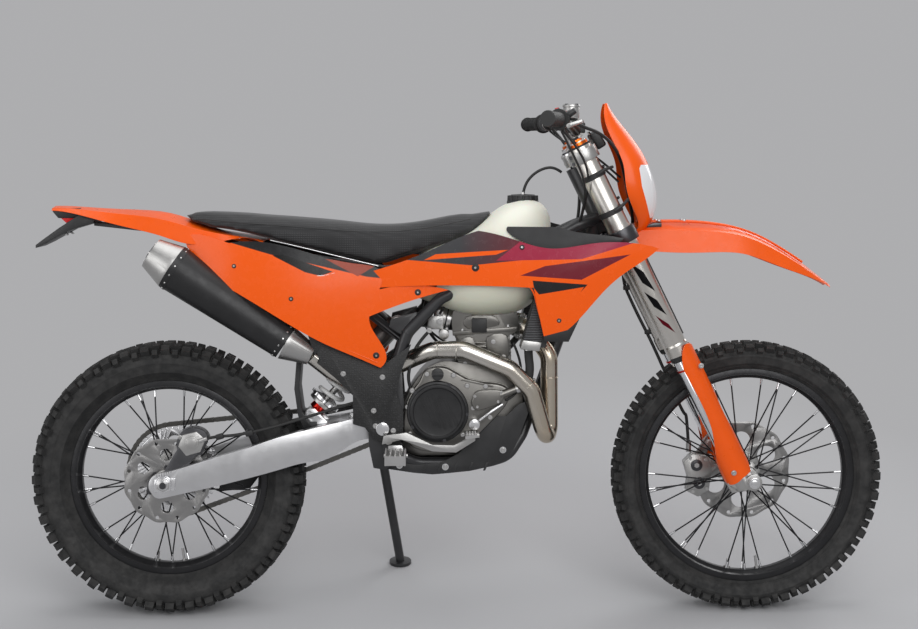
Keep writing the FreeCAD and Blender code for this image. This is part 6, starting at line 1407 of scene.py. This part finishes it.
class BodyOperator(PieceOperator, bpy.types.Operator):
    """Seat, tank, radiators, panels, fender trim and tail"""
    bl_idname = "motorcycle.body"
    bl_label = "Body"
    steps = ("seat", "tank", "radiators", "panel_trim", "tail")

    def seat(self):
        """Padded seat with its seams."""
        piece = merged(linked("seat", NODES["seat"].data))
        with editing():
            bpy.ops.transform.shrink_fatten(value=-SEAT_SHRINK * MM)
        swollen(piece, SEAT_CAP)
        applied(piece, "SMOOTH", factor=0.5, iterations=3)
        applied(piece, "SUBSURF", levels=1, render_levels=1)
        smooth(piece, 60)
        dressed(piece, "seat_pad", "seat_cover", replaces=["seat"])
        seams = [tube([at(x, z, side * y * SHARE_IN_MM) for x, y, z in SEAT_SEAM], 1.1, 3) for side in SIDES]
        fitted(seams, "seat_seams", "soft_rubber", slot="seat_cover")

    def tank(self):
        """Tank cap with its grips, and the vent hose on its nipple."""
        foot = at(61, 70.75)
        pieces = [turned_up(CAP_PROFILE, foot)]
        for out in around(Z_AXIS, X_AXIS, 12):
            pieces += coaxial(at(61, 70.9) + out * 35.5 * MM, Z_AXIS, (0, 15.5, 4.4, 3.6, 10))
        pieces.append(turned_up(CAP_RING_PROFILE, foot))
        fitted(pieces, "tank_cap", "black_plastic", 35, replaces=["fuel_cap"])
        hose = run((61, 71.9), (61.2, 73.4), (62.4, 75.3), (64.4, 76.6, -6), (66.4, 76.8, -8), (67.6, 75.9, -6))
        fitted(tube(hose, 3.6), "tank_vent_hose", "soft_rubber")
        fitted(rod(at(61, 71.6), at(61, 72.5), 5.5, 4.5, 16), "vent_nipple", "steel", 35)

    def radiators(self):
        """Slatted guards and the tanks above and below the cores."""
        (x0, z0), (x1, z1) = RADIATOR_FRONT
        inner, outer = RADIATOR_SIDES
        for side, name in ((1, "left"), (-1, "right")):
            slats = []
            for i in range(15):
                part = 0.07 + 0.062 * i
                x, z = x0 + (x1 - x0) * part, z0 + (z1 - z0) * part
                slats.append(slab([(x + 0.1, z), (x + 1, z - 0.35), (x + 1.05, z - 0.2), (x + 0.15, z + 0.15)],
                    side * (inner + 3), side * (outer - 3)))
            for y in (inner + 4, (inner + outer) / 2, outer - 4):
                post = [(x0 + 0.1, z0 + 0.6), (x0 + 1.1, z0 + 0.6), (x1 + 1.1, z1 - 0.4), (x1 + 0.1, z1 - 0.4)]
                slats.append(slab(post, side * (y - 2), side * (y + 2)))
            fitted(slats, name + "_radiator_guard", "black_plastic", 35)
            tanks = [slab([(x + forward, z + rise) for forward, rise in corners],
                side * (inner - 1), side * (outer + 1), 3) for x, z, *corners in (
                    (x0, z0, (-3.1, 0.35), (0.1, -0.05), (0.5, 1.5), (-2.7, 1.9)),
                    (x1, z1, (-3.4, -1.4), (-0.35, -1.8), (0.05, -0.2), (-2.95, 0.3)))]
            fitted(tanks, name + "_radiator_tanks", "cast_alloy", 35)

    def panel_trim(self):
        """Screws, beads and silver lines of the shrouds and side panels."""
        heads, sockets, ridges, lines = [], [], [], []
        for side in SIDES:
            for grid, radius, *shares in ((SHROUD_GRID, 7, (60.3, 63.6), (79, 62.6), (66.4, 51.6), (52.6, 60.2)),
                    (PANEL_GRID, 6, (12.4, 60.4), (21.9, 55), (43, 56), (36, 45.4))):
                for share in shares:
                    place = on_panel(grid, share, side)
                    heads.append(rounded(coaxial(*place, (-1.5, 1.4, radius * 1.5, radius * 1.25, 24)), 0.5))
                    heads.append(rounded(coaxial(*place, (1, 4.2, radius, radius * 0.8, 20)), 1))
                    sockets += coaxial(*place, (3.4, 4.5, radius * 0.42, None, 6))
            ridges += beads(side,
                (PANEL_GRID, 2.2, (14.2, 55.7), (20.1, 52.2), (27.1, 48.2), (32.7, 45.7), (36.2, 44.2)),
                (SHROUD_GRID, 2.2, (55, 57.7), (62, 57.6), (63.2, 52), (64.2, 49.5)))
            lines += beads(side, (PANEL_GRID, 1.2, (18.4, 64.7), (23, 63.7), (29, 62.2), (36.4, 60.4)),
                (PANEL_GRID, 2, (18.4, 62.4), (21.3, 60.9), (24.2, 59.2), (26.8, 58.6), (29.2, 59.3)))
        fitted(heads, "panel_screws", "black_plastic", 35)
        fitted(sockets, "panel_screw_sockets", "steel", 30)
        fitted(ridges, "panel_beads", "orange_plastic", 60)
        fitted(lines, "panel_silver_lines", "polished_alloy", 60)

    def tail(self):
        """Housing of the tail lamp, plate screws and ribs under the fender."""
        outline = [(-18.4, 69.9), (-18.9, 69.4), (-17.9, 68.2), (-14, 68.2), (-13.4, 69.3), (-14.2, 69.9)]
        fitted(slab(outline, -44, 44, 3), "tail_lamp_housing", "black_plastic", 35)
        bolted([(at(-16.6, 65.6, y), Vector((-0.6, 0, -0.8))) for y in (-34, 34)], "plate_screws", 4.5, 4)
        outline = [(-12, 66.9), (3, 65.2), (10, 64), (10, 64.3), (3, 65.6), (-12, 67.5)]
        fitted([slab(outline, y - 2, y + 2, 0.5) for y in (-30, 0, 30)], "under_fender_ribs", "black_plastic", 35)


# Steering

FORK_Y = 100
FORK_OFFSET = 22
OUTER_RADIUS = 29
CLAMP_HEIGHTS = (706, 929)
GRIP_INNER = (65.7, 84.5, 275)
GRIP_END = (63.4, 84.5, 402)
BAR_MID = at(69.6, 82.8)
RESERVOIR = at(68, 86.6, -218)
# Rings on both fork legs: heights from and to, radius, end radius and sides.
LEG_RINGS = (
    ("fork_seals", "soft_rubber", (362, 375, 27.5, 29.4), (359, 362, 25.6, 27.2), (972, 978, 8.5, 8, 24),
        (952, 957, 29.4)),
    ("fork_collars", "fork_silver", (374, 400, 30.6), (400, 405, 30.6, 29), (660, 687, 29.2, 30.2),
        (725, 736, 30.2, 29.1)),
    ("fork_travel_rings", "red_anodised", (332, 337, 25.2)),
    ("fork_caps", "orange_anodised", (956, 964, 25.5, 24.5), (964, 972, 15, 14, 6)),
)
CALIPER_SHARES = [(89.7, 24.9), (91.2, 26.4), (93.8, 26.2), (94.7, 23.8), (94.3, 19.9), (92.4, 18.7), (90.2, 19.8),
    (90.5, 22.3)]


def leg(height, y, forward=0, side=0):
    """Point beside a fork leg: forward of and outward from its axis, in millimetres."""
    return on_fork(height, FORK_OFFSET + forward, y + side)


def leg_ring(y, height_from, height_to, radius, end_radius=None, sides=40):
    """Ring round a fork leg between two heights."""
    return rod(leg(height_from, y), leg(height_to, y), radius, end_radius, sides)


def grip_point(side, share, out=0, round_by=0, angle=0):
    """Point along a grip: share from its flange to its end, round_by millimetres off its axis at an angle."""
    inner, end = (at(x, z, side * y) for x, z, y in (GRIP_INNER, GRIP_END))
    way = (end - inner).normalized()
    off = way.cross(Z_AXIS).normalized()
    up = off.cross(way).normalized()
    return inner.lerp(end, share) + (way * out + (off * math.cos(angle) + up * math.sin(angle)) * round_by) * MM


def grip_rods(*rows, sides=SIDES):
    """Rods at the grips: where each starts and ends as grip_point takes them, and its sizes."""
    return [rod(grip_point(side, *start), grip_point(side, *end), *sizes)
        for side in sides for start, end, *sizes in rows]


class SteeringOperator(PieceOperator, bpy.types.Operator):
    """Fork collars, caps, clamps' bolts, axle clamps, bar clamps, grips, controls, hoses and lamp"""
    bl_idname = "motorcycle.steering"
    bl_label = "Steering"
    steps = ("legs", "clamps", "feet", "caliper", "bar", "grips", "reservoir", "hoses", "front_lamp")

    def legs(self):
        """Seals, scraper rings, collars, top caps and edge strips of both legs."""
        for name, finish, *rows in LEG_RINGS:
            steered([leg_ring(y, *row) for y in (-FORK_Y, FORK_Y) for row in rows], name, finish, 35)
        strips = [tube([leg(height, y, 29.6) for height in (418, 470, 560, 646)], 2.6, 3) for y in (-FORK_Y, FORK_Y)]
        steered(strips, "fork_edge_strips", "black_plastic")

    def clamps(self):
        """Pinch bolts on their lugs, and the stem nut."""
        lugs, heads = [], []
        for side in SIDES:
            for height in CLAMP_HEIGHTS:
                for lift in (-8.5, 8.5):
                    lug = leg(height + lift, side * FORK_Y, -30, side * 14)
                    lugs.append(rod(lug - mm(y=side * 24), lug + mm(y=side * 3), 8.5))
                    heads.append((lug + mm(y=side * 3), Y_AXIS * side))
        steered(rounded(lugs, 1), "clamp_lugs", "cast_alloy", 35)
        steered_bolts(heads, "clamp_bolts", 5.2, 6, "dark_bolt")
        nut = coaxial(on_fork(CLAMP_HEIGHTS[1] + 15), FORK_UP, (-1, 4, 20, 19, 32), (4, 14, 15.5, 15.5, 6),
            (14, 16, 10.5, 9.5, 24))
        steered(nut, "stem_nut", "polished_alloy", 35, slot="bright_steel")

    def feet(self):
        """Axle pinch bolts, guard bolts and axle ends."""
        heads = []
        for side in SIDES:
            heads += on_face(side * (FORK_Y + 19), Y_AXIS * side, (98.4, 22.4), (98.9, 24))
            heads += on_face(side * (FORK_Y + 37.5), Y_AXIS * side, (96.4, 25.3), (90.6, 43.6))
        steered_bolts(heads, "fork_foot_bolts", 5, 5)
        ends = []
        for side in SIDES:
            ends += coaxial(FRONT + mm(y=side * 134), Y_AXIS * side, (-2, 3, 15, 14, 32), (3, 7, 10, 10, 6))
        steered(rounded(ends, 0.6), "front_axle_ends", "polished_alloy", 35, slot="bright_steel")

    def caliper(self):
        """Two-pot front caliper astride its disc, on its arm."""
        halves = [slab(CALIPER_SHARES, 42, 56.5, 2.5), slab(CALIPER_SHARES, 63.5, 78, 2.5),
            slab([(89.9, 24.7), (90.8, 25.6), (90.8, 22.3), (90.9, 19.9), (90.3, 20), (90.7, 22.3)], 55, 65),
            slab([(91.4, 20.6), (96.6, 22.2), (97.4, 26.6), (92.4, 25.6)], 72, 108, 2)]
        steered(halves, "front_caliper_castings", "cast_alloy", 35, replaces=["front_caliper"])
        pots, pins = [], []
        for share in ((92, 24.4), (92.5, 21.2)):
            for y_from, y_to in ((38, 43), (77, 84)):
                pots.append(across(*share, 15.5, y_from, y_to, 28))
                pins.append(across(*share, 7, y_from - 1, y_to + 1, 6))
        pins += [across(*share, 4.5, 39, 81, 12) for share in ((90.9, 25.7), (93.6, 25.4), (91.4, 19.7), (93.9, 20.2))]
        steered(rounded(pots, 1.2), "front_caliper_pots", "dark_bolt", 35, slot="frame_paint")
        steered(pins, "front_caliper_pins", "steel", 35)

    def bar(self):
        """Clamps of the handlebar with their bolts, and the pad."""
        steered(rounded([block(BAR_MID + mm(y=y, z=9), (50, 30, 26)) for y in (-48, 48)], 3, 3), "bar_clamps",
            "black_plastic", 35)
        heads = [(BAR_MID + mm(x, y, 22), Z_AXIS) for y in (-48, 48) for x in (-17, 17)]
        steered_bolts(heads, "bar_clamp_bolts", 5, 6)
        pad = block(BAR_MID + mm(z=24), (34, 96, 18))
        steered(rounded(pad, 7, 4), "bar_pad", "soft_rubber", 40)

    def grips(self):
        """Ribbed grips with flanges, perches, switches and the throttle's housing."""
        ribs = [((share, -1.7), (share, 1.7), 18, 17.6, 32) for share in (0.07 + 0.053 * i for i in range(17))]
        rubber = grip_rods(((0.02,), (1, 5), 16.6, 16.6, 32), *ribs, ((0,), (0, 5), 26, 25, 36),
            ((1,), (1, 8), 19.5, 18, 32))
        steered(rubber, "ribbed_grips", "soft_rubber", 40, slot="grip_rubber", replaces=["grips"])
        perches = grip_rods(((0, -46), (0, -22), 19.5, 19.5, 28), ((0, -36), (0, -30, 34, -0.4), 9, 8, 20))
        steered(rounded(perches, 1.5), "perch_castings", "black_plastic", 35, slot="dark_cover")
        housings = grip_rods(((0, -20), (0, -3), 20.5, 20.5, 28), ((0, -12), (0, -12, 27, 1.3), 8, 7, 16))
        housings += grip_rods(((0, -22), (0, -2), 24, 24, 32), ((0, -12), (0, -14, 44, 2.6), 11, 7, 20),
            sides=(-1,))
        steered(rounded(housings, 1.5), "switch_housings", "black_plastic", 35)
        buttons = grip_rods(((0, -12, 26, 1.3), (0, -12, 29, 1.3), 5, 5, 16),
            ((0, -34, 20, 2.2), (0, -34, 24, 2.2), 5, 5, 6))
        steered(buttons, "switch_buttons", "red_lens", 35)

    def reservoir(self):
        """Lid of the front brake reservoir with its screws."""
        lid = coaxial(RESERVOIR, Z_AXIS, (0, 6, 21.5, 20.5, 36), (-24, 0, 19.6, 19.6, 36))
        steered(rounded(lid, 1), "reservoir_lid", "cast_alloy", 35)
        screws = [(RESERVOIR + mm(x, y, 6), Z_AXIS) for x in (-12, 12) for y in (-12, 12)]
        steered_bolts(screws, "reservoir_screws", 3, 2, "dark_bolt")

    def hoses(self):
        """Front brake hose, clutch hose, throttle cables and wiring, all held at both ends."""
        brake = run((67.4, 84.6, -225), (69.4, 83.6, -210), (73.6, 82.4, -150), (77.2, 79, -70), (79.2, 72.5, 20),
            (80.9, 66.2, 66))
        brake += [leg(height, FORK_Y, back, side) for height, back, side in (
            (600, -34, 6), (500, -38, 2), (400, -36, 0), (300, -40, -4), (190, -44, -12))]
        brake += run((90.6, 33.2, 88), (90.9, 27.4, 78))
        clutch = run((66.6, 84, 232), (68.6, 82, 214), (70.8, 78, 150), (71.2, 73.4, 80), (71, 69.2, 44),
            (70.4, 66.4, 30))
        radius = bpy.context.scene.motorcycle_sizes.hose_radius
        steered([tube(points, radius) for points in (brake, clutch)], "brake_and_clutch_hoses", "soft_rubber")
        steered([tube(run(*points), 2.8) for points in (
            ((66.2, 83, -262), (68.6, 80.6, -240), (71.4, 76.4, -150), (71.6, 71.6, -70), (70.6, 67, -30)),
            ((66.2, 82.6, -268), (68, 79.4, -246), (70.8, 74.6, -150), (71.2, 70.2, -66), (70.2, 66, -26)),
            ((66.8, 83.2, -252), (67.6, 82, -170), (70.6, 80, -84), (74.6, 77.6, -40), (77.6, 75, -18)),
            ((66.8, 83.2, 256), (67.6, 82, 170), (70.6, 80, 84), (74.6, 77.2, 40), (77.6, 74.2, 18)),
        )], "cables", "soft_rubber")
        unions = [rod(at(90.9, 28.2, 78), at(90.9, 26.4, 78), 7, sides=16),
            rod(at(67, 84.8, -228), at(67.9, 84.3, -222), 7, sides=16),
            rod(leg(640, FORK_Y, -34, 6), leg(626, FORK_Y, -34, 6), 6.5, sides=16)]
        steered(unions, "hose_unions", "steel", 35)
        guides = [block(leg(height, FORK_Y, -34), (16, 14, 12)) for height in (560, 430)]
        steered(rounded(guides, 2), "hose_guides", "black_plastic", 35)

    def front_lamp(self):
        """Mask straps, the instrument, and the front fender's ridges and bolts."""
        straps = []
        for side in SIDES:
            y = side * FORK_Y
            for height, rise in ((772, 10), (872, 0)):
                straps.append(tube([leg(height, y, 6, side * 29), leg(height + 4, y, 30, side * 26),
                    leg(height + rise, y, 52, side * 4)], 4, 3))
                straps.append(leg_ring(y, height - 7, height + 7, OUTER_RADIUS + 2.2))
        steered(straps, "mask_straps", "soft_rubber", 40)
        steered(rounded(block(at(73.6, 81.4), (26, 84, 44), -32), 6, 3), "instrument", "black_plastic", 35)
        steered(rounded(block(at(72.7, 81.9), (3, 66, 32), -32), 1.5), "instrument_glass", "dark_glass", 35)
        ridge = ((81, 67.42), (86, 67.62), (92, 67.4), (98, 66.55), (104, 63.95), (109, 60.55))
        steered([tube([at(*share, y) for share in ridge], 3, 3) for y in (-24, 24)], "front_fender_ridges",
            "orange_plastic", 60)
        heads = [(at(x, z, side * y), Z_AXIS) for x, z, y in ((84.2, 67.55, 26), (88.6, 67.6, 20)) for side in SIDES]
        steered_bolts(heads, "front_fender_bolts", 5.5, 4)


# Chassis fittings

ARM_INNER, ARM_OUTER = 94, 118
GUARD_FACE = 117
AXLE = (0, 23.4353)
PEG_CENTRE = at(39.2, 28.4)
PEG_SIDES = (124, 211)
SLIDER_SHARES = [(13, 30.1), (20, 32.2), (28, 34.2), (33, 35.3), (37.6, 35.6), (39.4, 33.6), (38.6, 33.2),
    (37, 34.9), (32, 34.4), (24, 32.7), (13.2, 29.5)]
GUIDE_SHARES = [(7.6, 19.6), (8.2, 22.4), (14.4, 24.2), (15, 22.6), (13.2, 20.2)]
SKID_BOLTS = ((39.8, 26.3), (57.4, 28.9), (47.6, 26))
# Weld beads of the frame: side-view share and y in shares, radius, and the tube's way on the left.
FRAME_WELDS = ((62, 5, 62.8, 15, (-8, 1.6, -4)), (54, 6.6, 58.6, 15, (-7.3, 0.2, -3.9)),
    (41.2, 6.8, 49, 15, (-2.8, 0, -8)), (63.4, 1.1, 37, 13, (-2.6, 2.6, -6)))


class ChassisOperator(PieceOperator, bpy.types.Operator):
    """Swingarm fittings, rear brake, shock, footpegs, pedals, guards and skid plate"""
    bl_idname = "motorcycle.chassis"
    bl_label = "Chassis fittings"
    steps = ("axle_blocks", "chain_parts", "rear_brake", "shock", "footrests", "pedals", "guards")

    def axle_blocks(self):
        """Axle blocks with their adjuster bolts and marks, axle nut and washers."""
        blocks, plates = [], []
        for side, length in zip(SIDES, (23, 13)):
            face, way = side * ARM_OUTER, Y_AXIS * side
            blocks.append(slab([(-1.7, 22.1), (1.8, 22.4), (2, 24.5), (-1.5, 24.3)], face, face + side * 3.5, 1))
            blocks += coaxial(at(*AXLE, face), way, (3, 7, 22, 21, 36))
            blocks.append(rod(at(-2.4, 22.7, side * 106), at(-4.3, 22.3, side * 106), 4.5))
            blocks.append(rod(at(-3.5, 22.45, side * 106), at(-4.1, 22.33, side * 106), 8, sides=6))
            plates += coaxial(at(*AXLE, face), way, (4, length, 8.5, 8.5, 24))
            plates.append(slab([(-3, 21.9), (-2.2, 21.6), (-2, 24.1), (-2.7, 24.2)], side * (ARM_INNER + 1),
                side * (ARM_OUTER - 1), 1))
        fitted(blocks, "axle_blocks", "polished_alloy", 35)
        nut = coaxial(at(*AXLE, -ARM_OUTER), -Y_AXIS, (7, 17, 17.5, 17.5, 6), (17, 22, 10.5, 9.5, 24))
        nut += coaxial(at(*AXLE, ARM_OUTER), Y_AXIS, (7, 12, 19, 17, 32))
        fitted(rounded(nut, 0.8), "rear_axle_nut", "steel", 35)
        fitted(plates, "axle_end_plates", "dark_bolt", 35)
        corners = ((0, 0), (0.07, 0), (0.07, 0.4), (0, 0.4))
        marks = [slab([(-1.2 + 0.4 * i + x, 24.65 + 0.12 * i + z) for x, z in corners],
            side * (ARM_OUTER - 0.5), side * (ARM_OUTER + 0.25)) for side in SIDES for i in range(7)]
        fitted(marks, "adjuster_marks", "dark_bolt")

    def chain_parts(self):
        """Chain slider and guide."""
        fitted(slab(SLIDER_SHARES, 68, 92, 2), "chain_slider", "black_plastic", 35)
        guide = [slab(GUIDE_SHARES, 88, 92, 1.5), slab(GUIDE_SHARES, 68, 72, 1.5),
            slab([(8.4, 19.9), (8.6, 20.4), (12.8, 20.9), (12.8, 20.4)], 70, 90, 1)]
        fitted(guide, "chain_guide", "black_plastic", 35)
        bolted(on_face(92, Y_AXIS, (9, 22.3), (13.8, 23.6)), "chain_guide_bolts", 5, 5)

    def rear_brake(self):
        """Pot and pin of the rear caliper, and the hose with its guides and unions."""
        pot = [across(4.6, 30.2, 17, -98, -88, 28), across(4.6, 30.2, 12, -101, -98, 28),
            slab([(2.2, 29.6), (3, 31.6), (5.4, 32.2), (7, 30.8), (6, 28.6), (3.6, 27.9)], -95, -89, 2.5),
            across(2.6, 31.2, 6, -60, -96, 20)]
        fitted(rounded(pot, 1), "rear_caliper_pot", "cast_alloy", 35)
        hose = run((6.6, 30.8, -92), (8.6, 31.4, -100), (12, 31.6, -108), (18, 32.8, -100), (25, 34.8, -88),
            (30, 36.4, -86), (33.6, 37.4, -90))
        fitted(tube(hose, 3.8), "rear_brake_hose", "soft_rubber")
        guides = [block(place, (20, 12, 14), -16) for place in run((9.4, 31.4, -104), (14.4, 32, -105))]
        fitted(rounded(guides, 2.5), "rear_hose_guides", "black_plastic", 35)
        unions = [rod(at(5.9, 30.5, -92), at(7.2, 31, -93), 6.5, sides=16),
            rod(at(33, 37.2, -89), at(34.4, 37.8, -91), 6.5, sides=16)]
        fitted(unions, "rear_hose_unions", "steel", 35)

    def shock(self):
        """Piggyback reservoir, adjusters, spring collars and the bump rubber."""
        low, high = at(24.6, 34.2), at(39.4, 50)
        way = (high - low).normalized()
        side = way.cross(Y_AXIS).normalized()
        start = low.lerp(high, 0.62) + mm(y=-46) + side * 12 * MM
        tank = coaxial(start, way, (0, 92, 24, 24, 36), (92, 98, 21, 18, 36))
        fitted(rounded(tank, 1.5), "shock_reservoir", "cover_bronze", 35, slot="engine_alloy")
        foot = low.lerp(high, 0.155)
        collar = coaxial(foot, way, (-4, 4, 40, 40, 40))
        for out in around(way, side, 8):
            collar += coaxial(foot + out * 40 * MM, way, (-4, 4, 3, 3, 8))
        fitted(collar, "spring_collar", "polished_alloy", 35)
        fitted(coaxial(low.lerp(high, 0.92), way, (-4, 4, 40, 40, 40)), "spring_seat", "polished_alloy", 35)
        knobs = coaxial(low + way * 14 * MM, -Y_AXIS, (20, 31, 11, 10, 24)) + coaxial(low, way, (16, 32, 21, 20, 32))
        fitted(knobs, "shock_adjusters", "red_anodised", 35)
        bump = rod(low.lerp(high, 0.36), low.lerp(high, 0.45), 15, 22, 28)
        fitted(rounded(bump, 4, 3), "bump_rubber", "soft_rubber", 40)

    def footrests(self):
        """Toothed footpegs with their hinges."""
        inner, outer = PEG_SIDES
        bars = [inner + 6 + (outer - inner - 10) * k / 5 for k in range(6)]
        teeth = [(x, inner + 4 + (outer - inner - 8) * k / 11, 8) for x in (-24, 24) for k in range(12)]
        teeth += [(x, y, 7) for y in bars for x in (-12, 0, 12)]
        for side, name in zip(SIDES, ("right", "left")):
            peg = [block(PEG_CENTRE + mm(x, side * (inner + outer) / 2), (4, outer - inner, 24)) for x in (-24, 24)]
            peg += [block(PEG_CENTRE + mm(y=side * y), (50, 4, 24)) for y in bars]
            for x, y, tall in teeth:
                peg += coaxial(PEG_CENTRE + mm(x, side * y, 11), Z_AXIS, (0, tall, 2.6, 0.9, 4))
            peg += coaxial(PEG_CENTRE + mm(0, side * 120, -2), X_AXIS, (-26, 26, 11, 11, 24), (-30, 30, 5))
            ear = [(37.6, 28), (38, 30), (40.2, 30), (41, 28.4), (40.4, 27.4)]
            peg.append(slab(ear, side * 117.5, side * 121, 1))
            fitted(peg, name + "_footpeg", "steel", 35, replaces=["footpegs"] if side < 0 else ())

    def pedals(self):
        """Toothed tip of the brake pedal and the shift lever's rubber."""
        tip = [block(at(51.9, 31.9, -146), (30, 38, 8), -8)]
        for x in (-10, -3, 4, 11):
            for y in (-158, -146, -134):
                tip += coaxial(at(51.9, 32.1, y) + mm(x, 0, 1), Z_AXIS, (0, 6, 2.4, 1.2, 4))
        fitted(tip, "brake_pedal_tip", "steel", 35)
        rubber = rod(at(51.2, 33.4, 126), at(51.2, 33.4, 152), 10.5, 10, 24)
        fitted(rounded(rubber, 2, 3), "shift_tip_rubber", "soft_rubber", 40)

    def guards(self):
        """Screws of the frame guards, grommets and ribs of the skid plate, and frame welds."""
        heads, cups = [], []
        for side in SIDES:
            way = Y_AXIS * side
            heads += on_face(side * GUARD_FACE, way, (35.5, 35.9), (35.8, 33.3), (38.8, 32.5), (30.4, 42.2),
                (37, 41.6))
            heads += on_face(side * 98.5, way, *SKID_BOLTS)
            cups += [rod(at(*share, side * 94), at(*share, side * 98.5), 9.5, 8.5, 28) for share in SKID_BOLTS]
        bolted(heads, "guard_bolts", 5, 4)
        fitted(cups, "skid_plate_cups", "polished_alloy", 35)
        ribs, welds = [], []
        for side in SIDES:
            for i in range(5):
                x, z = 43.6 + i * 2.6, 25.1 + 0.06 * i
                rib = [(x, z), (x + 0.4, z), (x + 1, z + 1.5), (x + 0.6, z + 1.5)]
                ribs.append(slab(rib, side * 95, side * 98.4, 0.6))
            welds += [weld(at(x, z, side * y * SHARE_IN_MM), Vector((forward, side * left, rise)), radius)
                for x, y, z, radius, (forward, left, rise) in FRAME_WELDS]
        fitted(ribs, "skid_plate_ribs", "black_plastic", 35)
        fitted(welds, "frame_welds", "frame_paint", 50)


# Dressing of the frame's own solids: finish, rounding of the edges and slot where the finish does not settle it.

CAST_PIECES = {
    "chassis": (
        ("frame", "frame_paint", 1), ("subframe", "frame_paint", 0), ("frame_guards", "grip_plastic", 1.2),
        ("swingarm", "swingarm_alloy", 2.5), ("chassis_axles", "polished_alloy", 0.8, "bright_steel"),
        ("shock_body", "cast_alloy", 0.6), ("shock_spring", "spring_white", 0), ("crankcase", "engine_grey", 2),
        ("intake", "black_plastic", 1.5), ("rear_fender", "orange_plastic", 0.8), ("fuel_tank", "ivory_tank", 1),
        ("radiators", "gauze", 1.5), ("shrouds", "shroud_graphics", 0.8), ("shroud_edges", "black_plastic", 0.8),
        ("side_panels", "side_panel_graphics", 0.8), ("tail_light", "red_lens", 1),
        ("rear_trim", "black_plastic", 1), ("skid_plate", "black_plastic", 1.2), ("foot_levers", "cast_alloy", 1),
        ("rear_caliper", "dark_bolt", 2, "frame_paint"),
    ),
    "side_stand": (("side_stand", "frame_paint", 1),),
    "steering": (
        ("fork_outer_tubes", "fork_graphics", 0.6), ("fork_inner_tubes", "chrome", 0),
        ("lower_clamp", "dark_bolt", 1.5, "frame_paint"), ("upper_clamp", "cast_alloy", 1.5),
        ("handlebar", "frame_paint", 0), ("fork_feet", "cast_alloy", 1.2), ("fork_guards", "orange_plastic", 0.8),
        ("front_fender", "orange_plastic", 0.8), ("bar_controls", "cast_alloy", 0.8),
        ("headlight_mask", "mask_graphics", 0.8), ("headlight_lens", "lamp_lens", 1.5),
        ("lamp_holder", "black_plastic", 1),
    ),
}


class CastOperator(bpy.types.Operator):
    """Smooth dressed copies of the frame's solids that no finer piece replaces"""
    bl_idname = "motorcycle.castings"
    bl_label = "Castings and panels"

    def execute(self, context):
        for body, rows in CAST_PIECES.items():
            for node, finish, edge, *slot in rows:
                cast(node, "dressed_" + node, finish, edge, body=body, slot=slot[0] if slot else None)
        return {"FINISHED"}


class MotorcyclePanel(bpy.types.Panel):
    """Sidebar list of the pieces"""
    bl_idname = "VIEW3D_PT_motorcycle"
    bl_label = "Motorcycle"
    bl_space_type = "VIEW_3D"
    bl_region_type = "UI"
    bl_category = "Motorcycle"

    def draw(self, context):
        for operator in OPERATORS:
            self.layout.operator(operator.bl_idname)


OPERATORS = (StageOperator, WheelsOperator, ChainOperator, EngineOperator, ExhaustOperator, BodyOperator,
    SteeringOperator, ChassisOperator, CastOperator)
CLASSES = (MotorcycleSizes, MotorcycleColours) + OPERATORS + (MotorcyclePanel,)


def register():
    for cls in CLASSES:
        bpy.utils.register_class(cls)
    bpy.types.Scene.motorcycle_sizes = bpy.props.PointerProperty(type=MotorcycleSizes)
    bpy.types.Scene.motorcycle_colours = bpy.props.PointerProperty(type=MotorcycleColours)


def unregister():
    del bpy.types.Scene.motorcycle_sizes
    del bpy.types.Scene.motorcycle_colours
    for cls in reversed(CLASSES):
        bpy.utils.unregister_class(cls)


def main():
    register()
    bpy.ops.object.select_all(action="DESELECT")
    for operator in OPERATORS:
        group, call = operator.bl_idname.split(".")
        getattr(getattr(bpy.ops, group), call)()


if __name__ == "__main__":
    main()
